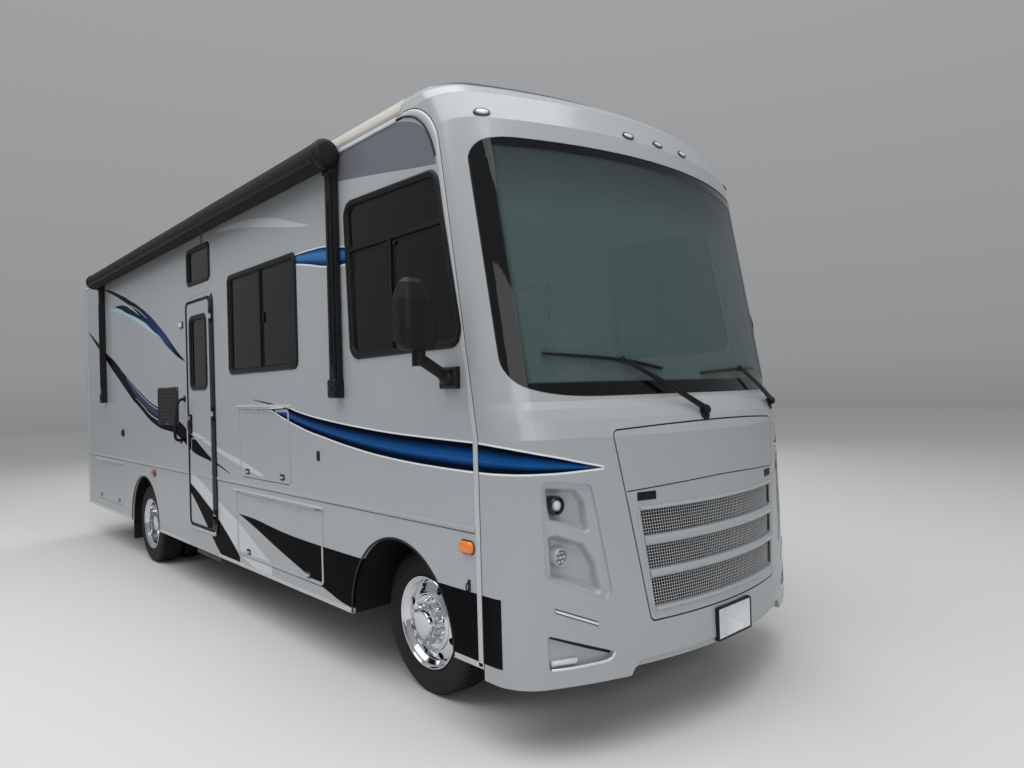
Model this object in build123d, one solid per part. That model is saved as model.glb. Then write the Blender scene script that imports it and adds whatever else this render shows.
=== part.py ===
from build123d import *
import os
from functools import cache
from math import cos, radians, sin, sqrt

# Motorhome on a stripped gas chassis, in millimetres.
# +X is forward, +Y is the driver's left, +Z is up.
# The origin is on the ground below the middle of the vehicle.

# Overall sizes
LENGTH = 8800
WIDTH = 2470
WHEELBASE = 4826
FRONT_OVERHANG = 1312
EAVES_Z = 3210
ROOF_RISE = 120
ROOF_CROWN = 22
BELT_Z = 1040
SKIRT_Z = 390
CAP_Z = 340
FLOOR_Z = 995

# Panels
WALL = 45
SKIRT = 20
SHELL = 30
GLASS = 5
GLASS_SET = 10
DOOR_GAP = 5
SEAT = 0.3

# Wheels and steering
TYRE_R = 405
TYRE_W = 225
BEAD_R = 248
FRONT_TRACK = 1880
REAR_TRACK = 1885
TWIN_PITCH = 255
KINGPIN_Y = 770
ARCH_R = 500

# Frame rails
RAIL_Y = 430
RAIL_TOP = 840
RAIL_DEEP = 220
RAIL_FLANGE = 75
RAIL_WALL = 8
JOIST = 50

# Places derived from the sizes above
HALF = WIDTH / 2
NOSE_X = LENGTH / 2
REAR_X = -LENGTH / 2
AXLE_X = NOSE_X - FRONT_OVERHANG
REAR_AXLE_X = AXLE_X - WHEELBASE
ROOF_X = AXLE_X + 163
SEAM_X = AXLE_X + 739
REAR_CAP_X = REAR_X + 150
REAR_FACE_X = REAR_X + 30
SHOULDER_Z = EAVES_Z + ROOF_RISE
RIGHT, LEFT = -1, 1


def box(x0, x1, y0, y1, z0, z1):
    """Block between pairs of planes."""
    size = (x1 - x0, y1 - y0, z1 - z0)
    return Pos((x0 + x1) / 2, (y0 + y1) / 2, (z0 + z1) / 2) * Box(*size)


def side_box(side, x0, x1, y0, y1, z0, z1):
    """Block on one side, its Y limits counted from the middle."""
    return box(x0, x1, *sorted((side * y0, side * y1)), z0, z1)


def rod(start, end, radius):
    """Round bar between two points."""
    line = Line(start, end)
    return sweep(Plane(origin=start, z_dir=line % 0) * Circle(radius), path=line)


def cylinder_y(x, z, radius, y0, y1):
    """Round bar along Y."""
    return side_slab(Pos(x, z) * Circle(radius), y0, y1)


def side_slab(outline, y0, y1):
    """Slab of an outline drawn in X and Z, between two Y planes."""
    return Pos(0, min(y0, y1), 0) * extrude(Plane.XZ * outline, amount=abs(y1 - y0), dir=(0, 1, 0))


def front_slab(outline, x0, x1):
    """Slab of an outline drawn in Y and Z, between two X planes."""
    return Pos(x0, 0, 0) * extrude(Plane.YZ * outline, amount=x1 - x0, dir=(1, 0, 0))


def outline(points, radius=0):
    """Closed outline with its corners rounded."""
    face = Polygon(*points, align=None)
    return fillet(face.vertices(), radius) if radius else face


def frame_rect(x0, x1, z0, z1, radius):
    """Rounded rectangle between limits."""
    return Pos((x0 + x1) / 2, (z0 + z1) / 2) * RectangleRounded(x1 - x0, z1 - z0, radius)


def grow(face, distance):
    """Outline grown, or shrunk when the distance is negative."""
    return offset(face, amount=distance, kind=Kind.INTERSECTION)


def mirrored(solid):
    """The same piece on the left side."""
    return mirror(solid, about=Plane.XZ)


def both(solid):
    return [solid, mirrored(solid)]


def write(node, *solids):
    """One STEP file for each named piece."""
    parts = []
    for item in solids:
        parts += item.solids()
    shape = parts[0] if len(parts) == 1 else Compound(children=parts)
    shape.label = node
    export_step(shape, f"parts/{node}.step")


os.makedirs("parts", exist_ok=True)

# House section, a row for each height of the rounded roof edge: rise over the eaves, inset from the side
EAVES_ROWS = [(rise, ROOF_RISE - sqrt(ROOF_RISE**2 - rise**2)) for rise in (0, 50, 85, 108)]
EAVES_ROWS += [(ROOF_RISE, 90), (ROOF_RISE + ROOF_CROWN, 520)]


def house_outline(inset=0, bottom=EAVES_Z):
    """House section in Y and Z down to a level."""
    side = [(HALF - inset, bottom)]
    side += [(HALF - row - inset, EAVES_Z + rise - inset) for rise, row in EAVES_ROWS]
    return Polygon(*side, *[(-y, z) for y, z in reversed(side)], align=None)


# Front cap, a row for each level: height, nose from the front axle, front radius, side inset
CAP_ROWS = [
    (CAP_Z, FRONT_OVERHANG, 2300, 0),
    (1475, FRONT_OVERHANG - 28, 2300, 0),
    (1560, FRONT_OVERHANG - 56, 2380, 0),
    (1612, FRONT_OVERHANG - 84, 2460, 0),
    (1650, FRONT_OVERHANG - 119, 2590, 0),
]
SCREEN_ROOT_Z, SCREEN_ROOT_X = CAP_ROWS[-1][:2]
SCREEN_R = 2650
SCREEN_LEAN = 0.183
CROWN_Z = 3060
CROWN_R = 250
CAP_CORNER = 250


def crown_row(level, side_inset):
    """Cap row on the rounded top of the screen header."""
    climb = min(level - CROWN_Z, CROWN_R)
    lean = SCREEN_LEAN * (level - SCREEN_ROOT_Z)
    inset = CROWN_R - sqrt(CROWN_R**2 - max(climb, 0) ** 2)
    return (level, SCREEN_ROOT_X - lean - inset, SCREEN_R, side_inset)


CAP_ROWS += [crown_row(CROWN_Z, 0)]
CAP_ROWS += [crown_row(EAVES_Z + rise, inset) for rise, inset in EAVES_ROWS[:4]]
CAP_ROWS += [
    (SHOULDER_Z - 2, FRONT_OVERHANG - 640, SCREEN_R, 84),
    (SHOULDER_Z + ROOF_CROWN, FRONT_OVERHANG - 850, SCREEN_R, 520),
]


def cap_section(level, nose, radius, side_inset, back, inset):
    """Cap plan at one level."""
    nose_x = AXLE_X + nose - inset
    half = HALF - side_inset - inset
    plan = Pos((nose_x + back) / 2, 0) * Rectangle(nose_x - back, 2 * half)
    plan &= Pos(nose_x - radius + inset, 0) * Circle(radius - inset)
    front = plan.vertices().sort_by(Axis.X)[-2:]
    corner = min(CAP_CORNER, half / 2) - inset
    top = EAVES_Z + 0.5
    drop = inset if level > top else 0
    return Pos(0, 0, level - drop) * fillet(front, corner)


@cache
def cap_body(inset=0, back=ROOF_X, open_by=0):
    """Filled cap, its surface set in by a distance."""
    below = [(CAP_Z - open_by, *CAP_ROWS[0][1:])] if open_by else []
    rows = below + CAP_ROWS
    sections = [cap_section(*row, back - open_by, inset) for row in rows]
    return loft([section.face() for section in sections], ruled=True)


def cap_skin(outer, inner):
    """Layer of the cap between two depths below its surface."""
    return cap_body(outer, open_by=20 if outer else 0) - cap_body(inner, open_by=60)


# Side seam between the wall and the cap, in X from the front axle and Z
SEAM_KNEE_Z = 1480
SEAM_TOP_X = AXLE_X + 460
SEAM_TOP_R = 300


def wall_outline(rear, bottom):
    """Wall panel with its front edge at the cap seam."""
    front = [(SEAM_X, bottom), (SEAM_X, SEAM_KNEE_Z), (SEAM_TOP_X, EAVES_Z)]
    face = Polygon((rear, bottom), *front, (rear, EAVES_Z), align=None)
    top = face.vertices().sort_by(Axis.Y)[-2:].sort_by(Axis.X)[-1]
    return fillet(top, SEAM_TOP_R)


# Windows, a row each: name, side, corner points from the front axle, bars
CAB_WINDOW = [(-479, 2862), (469, 2840), (655, 1930), (-433, 1918)]
MID_WINDOW = [(-2366, 2680), (-1142, 2680), (-1142, 1895), (-2366, 1895)]
SMALL_WINDOW = [(-3330, 3035), (-2755, 3035), (-2755, 2710), (-3330, 2710)]
BED_WINDOW = [(-6300, 2680), (-5300, 2680), (-5300, 2080), (-6300, 2080)]
WINDOWS = [
    ("cab", RIGHT, CAB_WINDOW, 90),
    ("cab", LEFT, CAB_WINDOW, 90),
    ("mid", RIGHT, MID_WINDOW, 60),
    ("mid", LEFT, MID_WINDOW, 60),
    ("small", RIGHT, SMALL_WINDOW, 60),
    ("bed", LEFT, BED_WINDOW, 60),
]
WINDOW_FRAME = 32
WINDOW_LIP = 8
WINDOW_REBATE = 12
BAR = 26
BAR_Y = (HALF - 24, HALF + 4)
CAB_BAR_Z = 2570
CAB_DIVIDER_X = AXLE_X + 18
MID_DIVIDER_X = AXLE_X - 1754


def window_face(corners, radius, shrink=0):
    face = outline([(AXLE_X + x, z) for x, z in corners], radius)
    return grow(face, -shrink) if shrink else face


# Doors in the sides, a row each: name, side, x from the front axle to x, z to z, corner, panel thickness
ENTRY_X0, ENTRY_X1, ENTRY_Z0, ENTRY_Z1 = AXLE_X - 3419, AXLE_X - 2700, 550, 2610
ENTRY_FRAME = 34
ENTRY_CORNER = 95
BAY_DOORS = [
    ("right_upper_bay_door", RIGHT, -2190, -1300, 1095, 1630, 45, 40),
    ("right_lower_bay_door", RIGHT, -2290, -850, 478, 975, 45, 28),
    ("right_rear_bay_door", RIGHT, -6900, -5690, 505, 987, 45, 28),
    ("left_lower_bay_door", LEFT, -2290, -850, 478, 975, 45, 28),
    ("left_rear_bay_door", LEFT, -6900, -5690, 505, 987, 45, 28),
]
LATCH_HINGE_R = 7
HINGE_OUT = 8
HINGE_LEAF = 6
HINGE_DROP = 2
HINGE_END = 80
LEAF_DEEP = 34
GUTTER = 18
KNUCKLE_PARTS = 5
BAY_CLEAR = 97
BAY_WALL = 15


def bay_face(x0, x1, z0, z1, radius, shrink=0):
    return frame_rect(AXLE_X + x0 + shrink, AXLE_X + x1 - shrink, z0 + shrink, z1 - shrink, radius - shrink)


def bay_hinge(side, x0, x1, z1, on_door):
    """Knuckles on the door's axis, with the gutter strip on the wall above or the leaf on the door."""
    span = (x1 - x0 - 2 * HINGE_END) / KNUCKLE_PARTS
    axis_z = z1 - HINGE_DROP
    low, high = (z1 - LEAF_DEEP, axis_z) if on_door else (axis_z, z1 + HINGE_OUT)
    pieces = None
    for i in range(int(on_door), KNUCKLE_PARTS, 2):
        start = AXLE_X + x0 + HINGE_END + i * span + SEAT / 2
        end = start + span - SEAT
        knuckle = front_slab(Pos(side * (HALF + HINGE_OUT), axis_z) * Circle(LATCH_HINGE_R), start, end)
        knuckle += side_box(side, start, end, HALF, HALF + HINGE_LEAF, low, high)
        pieces = knuckle if pieces is None else pieces + knuckle
    if not on_door:
        gutter_z = (z1 + HINGE_LEAF, z1 + GUTTER)
        pieces += side_box(side, AXLE_X + x0, AXLE_X + x1, HALF, HALF + HINGE_LEAF, *gutter_z)
    return pieces


def entry_face(shrink=0):
    limits = (ENTRY_X0 + shrink, ENTRY_X1 - shrink, ENTRY_Z0 + shrink, ENTRY_Z1 - shrink)
    return frame_rect(*limits, ENTRY_CORNER - shrink)


# Front cap openings, in Y and Z
SCREEN_BOTTOM, SCREEN_TOP = 1668, 2967
SCREEN_SET, SCREEN_THICK = 4, 8
SCREEN_EDGE_X = AXLE_X + 875
SCREEN_EDGE_LEAN = 0.1835
SCREEN_LOW_R, SCREEN_HIGH_R = 250, 110
HOOD_TOP_Z, HOOD_ARCH_Z, HOOD_BOTTOM_Z = 1506, 1530, 571
HOOD_TOP_Y, HOOD_BOTTOM_Y = HALF - 480, HALF - 645
HOOD_CORNER = 35
HOOD_THICK = 6
HOOD_GAP = 8
HOOD_BACK_X = AXLE_X + 900
MESH_Z = [(1109, 985), (938, 820), (779, 640)]
MESH_TOP_Y, MESH_BOTTOM_Y = HALF - 609, HALF - 670
MESH_FRAME = 16
MESH_DEEP = 30
MESH_CORNER = 12
MESH_SET, MESH_THICK = 18, 4


def screen_cut():
    """Wedge that cuts the windshield opening, drawn in X and Z."""
    top_x = SCREEN_EDGE_X - SCREEN_EDGE_LEAN * (SCREEN_TOP - SCREEN_BOTTOM)
    ahead = NOSE_X + 100
    low_edge = [(SCREEN_EDGE_X, SCREEN_BOTTOM), (ahead, SCREEN_BOTTOM)]
    face = Polygon(*low_edge, (ahead, SCREEN_TOP), (top_x, SCREEN_TOP), align=None)
    low, high = face.vertices().sort_by(Axis.X)[:2].sort_by(Axis.Y)
    face = fillet(low, SCREEN_LOW_R)
    high = face.vertices().group_by(Axis.Y)[-1].sort_by(Axis.X)[0]
    return side_slab(fillet(high, SCREEN_HIGH_R), -HALF - 50, HALF + 50)


def hood_face(shrink=0):
    """Front access panel seen from the front."""
    arch = ThreePointArc((-HOOD_TOP_Y, HOOD_TOP_Z), (0, HOOD_ARCH_Z), (HOOD_TOP_Y, HOOD_TOP_Z))
    low = [(HOOD_BOTTOM_Y, HOOD_BOTTOM_Z), (-HOOD_BOTTOM_Y, HOOD_BOTTOM_Z)]
    rest = Polyline((HOOD_TOP_Y, HOOD_TOP_Z), *low, (-HOOD_TOP_Y, HOOD_TOP_Z))
    face = make_face(arch + rest)
    face = fillet(face.vertices(), HOOD_CORNER)
    return grow(face, -shrink) if shrink else face


def mesh_width(z):
    """Half width of the mesh surround at a height."""
    top, bottom = MESH_Z[0][0], MESH_Z[-1][1]
    return MESH_BOTTOM_Y + (MESH_TOP_Y - MESH_BOTTOM_Y) * (z - bottom) / (top - bottom)


def mesh_face(z_top, z_bottom, radius):
    top, low = mesh_width(z_top), mesh_width(z_bottom)
    return outline([(-top, z_top), (top, z_top), (low, z_bottom), (-low, z_bottom)], radius)


# Headlight pocket, slit and lower scoop on the right, in distance from the side and Z
POCKET = [(137, 1290), (367, 1258), (457, 688), (141, 838)]
POCKET_DEEP = 75
LAMPS = [(250, 1172, 58), (250, 930, 52)]
LAMP_DEEP = 26
SLIT = [(173, 697), (367, 613), (367, 600), (173, 684)]
SCOOP = [(137, 584), (447, 468), (419, 428), (141, 420)]
POCKETS = [(POCKET, POCKET_DEEP, 40), (SCOOP, 45, 14), (SLIT, 6, 4)]
POCKET_WALL = 14
# Step in the cap's lower edge under the plate, and the set-back lip above it
CHIN_Y, CHIN_Z, CHIN_LIP, CHIN_SET = HALF - 545, 376, 30, 12

# Front cap
front_cap = cap_skin(0, SHELL)
front_cap -= side_slab(wall_outline(ROOF_X - 400, CAP_Z - 400), -HALF - 20, HALF + 20)
front_cap -= screen_cut()
front_cap -= front_slab(hood_face(), HOOD_BACK_X, NOSE_X + 50)
for points, depth, radius in POCKETS:
    face = outline([(inward - HALF, z) for inward, z in points], radius)
    pocket = front_slab(face, AXLE_X + 700, NOSE_X + 50)
    bucket = front_slab(grow(face, POCKET_WALL), AXLE_X + 700, NOSE_X + 50)
    outer_layer = cap_skin(0, depth + POCKET_WALL) & bucket if depth + POCKET_WALL > SHELL else None
    inner = cap_body(depth, open_by=40) & pocket
    cut = pocket - inner
    for side in (RIGHT, LEFT):
        if outer_layer:
            front_cap += outer_layer if side == RIGHT else mirrored(outer_layer)
        front_cap -= cut if side == RIGHT else mirrored(cut)
for top_y, top_z, keep in ((CHIN_Y, CHIN_Z, None), (CHIN_Y - CHIN_LIP, CHIN_Z + CHIN_LIP, CHIN_SET)):
    foot_y, foot_z = CHIN_Y + 40, CAP_Z - 30
    step_face = outline([(-foot_y, foot_z), (-top_y, top_z), (top_y, top_z), (foot_y, foot_z)])
    step_cut = front_slab(step_face, HOOD_BACK_X, NOSE_X + 50)
    front_cap -= step_cut - cap_body(keep, open_by=40) if keep else step_cut
# Hood hinge: a bracket behind the skin with a pin on each side, and the hood's curved arm on that pin
HINGE_X, HINGE_Z, HINGE_Y = AXLE_X + 1140, 1648, 150
HINGE_R, HINGE_PIN_R, ARM_W = 12, 5, 16
for side in (RIGHT, LEFT):
    y0, y1 = side * (HINGE_Y + ARM_W / 2 + SEAT), side * (HINGE_Y + ARM_W / 2 + 14)
    front_cap += cylinder_y(HINGE_X, HINGE_Z, HINGE_R, y0, y1)
    ear = box(HINGE_X, HINGE_X + 30, *sorted((y0, y1)), HINGE_Z - HINGE_R, HINGE_Z)
    front_cap += ear & cap_body(SHELL / 3, open_by=40)
    front_cap += cylinder_y(HINGE_X, HINGE_Z, HINGE_PIN_R, side * (HINGE_Y - ARM_W / 2), y1)
write("front_cap", front_cap)

# Windshield in its opening
windshield = (cap_body(SCREEN_SET) & screen_cut()) - cap_body(SCREEN_SET + SCREEN_THICK, open_by=60)
write("windshield", windshield)

# Hood with a deep mesh surround
hood_prism = front_slab(hood_face(HOOD_GAP), HOOD_BACK_X, NOSE_X + 50)
hood = cap_skin(0, HOOD_THICK) & hood_prism
surround_face = mesh_face(MESH_Z[0][0] + MESH_FRAME, MESH_Z[-1][1] - MESH_FRAME, MESH_CORNER)
hood += cap_skin(0, MESH_DEEP) & front_slab(surround_face, HOOD_BACK_X, NOSE_X + 50)
mesh_prisms = [front_slab(mesh_face(top, low, MESH_CORNER), HOOD_BACK_X, NOSE_X + 50) for top, low in MESH_Z]
for prism in mesh_prisms:
    hood -= prism
hood_arm = [(HINGE_X + x, HINGE_Z + z) for x, z in ((0, 0), (-100, -112), (-70, -218), (135, -208))]
arm_line = Polyline(*hood_arm)
arm_face = trace(arm_line, 2 * HINGE_R - 6) + Pos(*hood_arm[0]) * Circle(HINGE_R)
arm_face -= Pos(*hood_arm[0]) * Circle(HINGE_PIN_R + SEAT)
for side in (RIGHT, LEFT):
    arm = side_slab(arm_face, side * (HINGE_Y - ARM_W / 2), side * (HINGE_Y + ARM_W / 2))
    hood += arm & cap_body(HOOD_THICK / 2, open_by=40)
write("hood", hood)
mesh_layer = cap_skin(MESH_SET, MESH_SET + MESH_THICK)
write("grille_mesh", *[mesh_layer & prism for prism in mesh_prisms])

# Lamps in the pockets
lamps = []
for inward, z, radius in LAMPS:
    bowl = front_slab(Pos(inward - HALF, z) * Circle(radius), AXLE_X + 800, NOSE_X)
    lamps += (cap_skin(POCKET_DEEP - LAMP_DEEP, POCKET_DEEP) & bowl).solids()
lamps += [mirrored(lamp) for lamp in lamps]
write("headlights", *lamps)

# Side walls
def through_wall(face, side):
    """Cutter through the side wall and the skirt."""
    return side_slab(face, side * (HALF + 20), side * (HALF - WALL - 20))


def wall_panel(side):
    slab = side_slab(wall_outline(REAR_CAP_X, BELT_Z), side * HALF, side * (HALF - WALL))
    for name, where, corners, radius in WINDOWS:
        if where == side:
            slab -= through_wall(window_face(corners, radius, WINDOW_REBATE), side)
    for name, where, x0, x1, z0, z1, radius, thick in BAY_DOORS:
        if where == side and z0 > BELT_Z:
            slab -= through_wall(bay_face(x0, x1, z0, z1, radius), side)
            slab += bay_hinge(side, x0, x1, z1, False)
    if side == RIGHT:
        slab -= through_wall(entry_face(WINDOW_REBATE), side)
    return slab


write("right_wall", wall_panel(RIGHT))
write("left_wall", wall_panel(LEFT))

# Lower skirts with wheel arches and bay doors
def skirt_panel(side):
    slab = side_box(side, REAR_CAP_X, SEAM_X, HALF, HALF - SKIRT, SKIRT_Z, BELT_Z)
    for x in (AXLE_X, REAR_AXLE_X - 14):
        slab -= through_wall(Pos(x, TYRE_R) * Circle(ARCH_R), side)
    for name, where, x0, x1, z0, z1, radius, thick in BAY_DOORS:
        if where == side and z0 < BELT_Z:
            slab -= through_wall(bay_face(x0, x1, z0, z1, radius), side)
            slab += bay_hinge(side, x0, x1, z1, False)
    if side == RIGHT:
        slab -= through_wall(entry_face(WINDOW_REBATE), side)
    return slab


write("skirts", skirt_panel(RIGHT), skirt_panel(LEFT))

# Bay doors
for name, side, x0, x1, z0, z1, radius, thick in BAY_DOORS:
    leaf = side_slab(bay_face(x0, x1, z0, z1, radius, DOOR_GAP), side * HALF, side * (HALF - thick))
    write(name, leaf + bay_hinge(side, x0, x1, z1, True))

# Roof and rear cap
roof = front_slab(house_outline(), REAR_CAP_X, ROOF_X)
roof -= front_slab(house_outline(60, EAVES_Z - 80), REAR_CAP_X - 10, ROOF_X + 10)
write("roof", roof)
REAR_ROUND = 60
REAR_TURNS = [radians(degrees) for degrees in (0, 30, 60, 90)]
REAR_ROWS = [(REAR_ROUND * (1 - cos(turn)), REAR_ROUND * (1 - sin(turn))) for turn in REAR_TURNS]


def rear_body(inset):
    """Filled rear cap, its surface set in by a distance."""
    sections = []
    for back, round_in in REAR_ROWS:
        section = Plane.YZ * house_outline(inset + round_in, SKIRT_Z - inset)
        sections.append(Pos(REAR_FACE_X + inset + back, 0, 0) * section)
    sections.append(Pos(REAR_CAP_X + inset, 0, 0) * (Plane.YZ * house_outline(inset, SKIRT_Z - inset)))
    return loft([section.face() for section in sections], ruled=True)


rear_cap = rear_body(0) - rear_body(WALL)
BUMPER_TOP, BUMPER_LOW = 800, 470
bumper = frame_rect(-HALF + 40, HALF - 40, BUMPER_LOW, BUMPER_TOP, 60)
rear_cap += front_slab(bumper, REAR_X, REAR_FACE_X + 10)
write("rear_cap", rear_cap)

# Window and door frames with bars, glass behind them
frames, panes = [], []
for name, side, corners, radius in WINDOWS:
    outer = window_face(corners, radius)
    sleeve = window_face(corners, radius, WINDOW_REBATE)
    inner = window_face(corners, radius, WINDOW_FRAME)
    flange = side_slab(outer - inner, side * (HALF + WINDOW_LIP), side * HALF)
    tube = side_slab(sleeve - inner, side * HALF, side * (HALF - WALL))
    frame = flange + tube
    bars = None
    if name == "cab":
        bars = side_box(side, AXLE_X - 600, AXLE_X + 800, *BAR_Y, CAB_BAR_Z - BAR / 2, CAB_BAR_Z + BAR / 2)
        bars += side_box(side, CAB_DIVIDER_X - BAR / 2, CAB_DIVIDER_X + BAR / 2, *BAR_Y, BELT_Z, CAB_BAR_Z)
    if name == "mid":
        bars = side_box(side, MID_DIVIDER_X - BAR / 2, MID_DIVIDER_X + BAR / 2, *BAR_Y, BELT_Z, EAVES_Z)
    pane = side_slab(inner, side * (HALF - GLASS_SET), side * (HALF - GLASS_SET - GLASS))
    if bars:
        bars &= side_slab(inner, -HALF - 60, HALF + 60)
        frame += bars
        pane -= bars
    frames.append(frame)
    panes.append(pane)
entry_frame = side_slab(entry_face() - entry_face(ENTRY_FRAME), -HALF - WINDOW_LIP, -HALF)
entry_frame += side_slab(entry_face(WINDOW_REBATE) - entry_face(ENTRY_FRAME), -HALF, -HALF + WALL)
# Entry door hinges: three knuckles each on one vertical axis, the middle one on the door
DOOR_AXIS_X, DOOR_AXIS_Y = ENTRY_X1 - ENTRY_FRAME - 2, -HALF - WINDOW_LIP - 10
DOOR_HINGE_R = 9
DOOR_HINGES = [720, 1580, 2400]
KNUCKLE_H = 40
for z in DOOR_HINGES:
    for low in (z - 1.5 * KNUCKLE_H, z + 0.5 * KNUCKLE_H + SEAT):
        entry_frame += Pos(DOOR_AXIS_X, DOOR_AXIS_Y, low + KNUCKLE_H / 2) * Cylinder(DOOR_HINGE_R, KNUCKLE_H)
        entry_frame += box(DOOR_AXIS_X, DOOR_AXIS_X + 24, DOOR_AXIS_Y - 4, -HALF - 4, low, low + KNUCKLE_H)
write("window_and_door_frames", *frames, entry_frame)
write("window_glass", *panes)

# Entry door with its window
DOOR_GLASS = (AXLE_X - 3290, AXLE_X - 2885, 1800, 2430)
DOOR_GASKET = 24
entry_door = side_slab(entry_face(ENTRY_FRAME + DOOR_GAP), -HALF, -HALF + WALL)
door_window = frame_rect(*DOOR_GLASS, 60)
entry_door -= side_slab(door_window, -HALF - 10, -HALF + 60)
entry_door += side_slab(door_window - grow(door_window, -DOOR_GASKET), -HALF - 5, -HALF + WALL)
for z in DOOR_HINGES:
    low, high = z - 0.5 * KNUCKLE_H + SEAT, z + 0.5 * KNUCKLE_H
    entry_door += Pos(DOOR_AXIS_X, DOOR_AXIS_Y, (low + high) / 2) * Cylinder(DOOR_HINGE_R, high - low)
    entry_door += box(DOOR_AXIS_X - 50, DOOR_AXIS_X, DOOR_AXIS_Y - 4, -HALF, low, high)
write("entry_door", entry_door)
door_pane = grow(door_window, -DOOR_GASKET)
write("entry_door_glass", side_slab(door_pane, GLASS_SET - HALF, GLASS_SET + GLASS - HALF))

# Floor with trays for the storage bays and the step well
FLOOR_FRONT = AXLE_X + 700
BAYS = [(RIGHT, -2290, -850), (LEFT, -2290, -850), (RIGHT, -6900, -5690), (LEFT, -6900, -5690)]
BAY_FLOOR = 440
WELL_DEEP = 450
WELL_STEP = 225
WELL_WALL = 14
WELL_TREAD_Z = 780
floor = box(REAR_CAP_X, FLOOR_FRONT, -HALF + SKIRT, HALF - SKIRT, FLOOR_Z, BELT_Z)
tail_half = HALF - WALL - REAR_ROUND
floor += box(REAR_FACE_X + WALL, REAR_CAP_X, -tail_half, tail_half, FLOOR_Z, BELT_Z)


def tray(side, x0, x1, y0, y1, z0, wall):
    """Open box below the floor, its mouth towards the side of the vehicle."""
    solid = side_box(side, x0, x1, y0, y1, z0, FLOOR_Z)
    solid -= side_box(side, x0 + wall, x1 - wall, y0 + wall, y1 + 10, z0 + wall, FLOOR_Z)
    return solid


bay_y = (RAIL_Y + RAIL_WALL + BAY_CLEAR, HALF - SKIRT - 12)
trays = [tray(side, AXLE_X + x0 - 20, AXLE_X + x1 + 20, *bay_y, BAY_FLOOR, BAY_WALL) for side, x0, x1 in BAYS]
well_y = HALF - WALL
well_x = (ENTRY_X0 + 20 + WELL_WALL, ENTRY_X1 - 20 - WELL_WALL)
through_floor = (FLOOR_Z - 10, BELT_Z + 10)
floor -= box(*well_x, -well_y, -well_y + WELL_DEEP - WELL_WALL, *through_floor)
floor -= box(ENTRY_X0 + WINDOW_REBATE, ENTRY_X1 - WINDOW_REBATE, -HALF, -well_y, *through_floor)
well = tray(RIGHT, ENTRY_X0 + 20, ENTRY_X1 - 20, well_y - WELL_DEEP, well_y, ENTRY_Z0 + 10, WELL_WALL)
well += box(ENTRY_X0 + 20, ENTRY_X1 - 20, -well_y + WELL_STEP, -well_y + WELL_DEEP, ENTRY_Z0 + 10, WELL_TREAD_Z)
# Hangers under the step well that carry the sliding entry step
STEP_TOP = SKIRT_Z - 8
HANGER_W, HANGER_WALL = 30, 8
HANGER_X = [ENTRY_X0 + 90, ENTRY_X1 - 120]
HANGER_Y0, HANGER_Y1 = -HALF + 60, -HALF + 440
for x in HANGER_X:
    well += box(x, x + HANGER_WALL, HANGER_Y0, HANGER_Y1, STEP_TOP, ENTRY_Z0 + 10)
    well += box(x, x + HANGER_W, HANGER_Y0, HANGER_Y1, STEP_TOP, STEP_TOP + HANGER_WALL)
write("floor", floor, *trays, well)

# Chassis frame
RAIL_FRONT, RAIL_REAR = AXLE_X + 850, REAR_FACE_X + WALL + 10
RAIL_OUT, RAIL_LOW = RAIL_Y + RAIL_WALL, RAIL_TOP - RAIL_DEEP
rail = box(RAIL_REAR, RAIL_FRONT, RAIL_OUT - RAIL_FLANGE, RAIL_OUT, RAIL_LOW, RAIL_TOP)
channel_z = (RAIL_LOW + RAIL_WALL, RAIL_TOP - RAIL_WALL)
rail -= box(RAIL_REAR - 1, RAIL_FRONT + 1, RAIL_Y - RAIL_FLANGE, RAIL_Y, *channel_z)
frame = both(rail)
CROSS_MEMBERS = [780, -640, -1550, -2600, -4050, -5500, -6600, -7350]
for x in CROSS_MEMBERS:
    frame.append(box(AXLE_X + x, AXLE_X + x + 80, -RAIL_Y, RAIL_Y, RAIL_TOP - 150, RAIL_TOP - 30))
JOISTS = [620, -600, -2400, -2640, -3500, -4240, -5500, -7000, -7300]
for x in JOISTS:
    frame.append(box(AXLE_X + x, AXLE_X + x + JOIST, -HALF + SKIRT, HALF - SKIRT, RAIL_TOP, FLOOR_Z))
# Hitch receiver: a square tube on a cross tube, hung from the rails by a drop plate outside each
RECEIVER_OUT, RECEIVER_IN, DROP_PLATE = 70, 51, 12
RECEIVER_Z = SKIRT_Z - 10 - RECEIVER_OUT / 2
HITCH_PIN_R = 8
half_out, half_in = RECEIVER_OUT / 2, RECEIVER_IN / 2
tube_z = (RECEIVER_Z - half_out, RECEIVER_Z + half_out)
receiver = box(REAR_X + 4, REAR_X + 260, -half_out, half_out, *tube_z)
receiver += box(REAR_X + 130, REAR_X + 200, -RAIL_OUT, RAIL_OUT, *tube_z)
for side in (RIGHT, LEFT):
    plate_y = (RAIL_OUT, RAIL_OUT + DROP_PLATE)
    receiver += side_box(side, REAR_X + 110, REAR_X + 260, *plate_y, tube_z[0], RAIL_LOW + 60)
receiver -= box(REAR_X, REAR_X + 230, -half_in, half_in, RECEIVER_Z - half_in, RECEIVER_Z + half_in)
receiver -= cylinder_y(REAR_X + 80, RECEIVER_Z, HITCH_PIN_R, -RECEIVER_OUT, RECEIVER_OUT)
frame.append(receiver)
# Spring hangers below the rails
SPRING_HALF = 640
SPRING_W = 76
HANGER_DROP = 80
for axle in (AXLE_X, REAR_AXLE_X):
    for x in (axle - SPRING_HALF - 40, axle + SPRING_HALF - 20):
        for side in (RIGHT, LEFT):
            frame.append(side_box(side, x, x + 60, RAIL_Y - 60, RAIL_OUT, RAIL_LOW - HANGER_DROP, RAIL_LOW))
write("chassis_frame", *frame)

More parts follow.
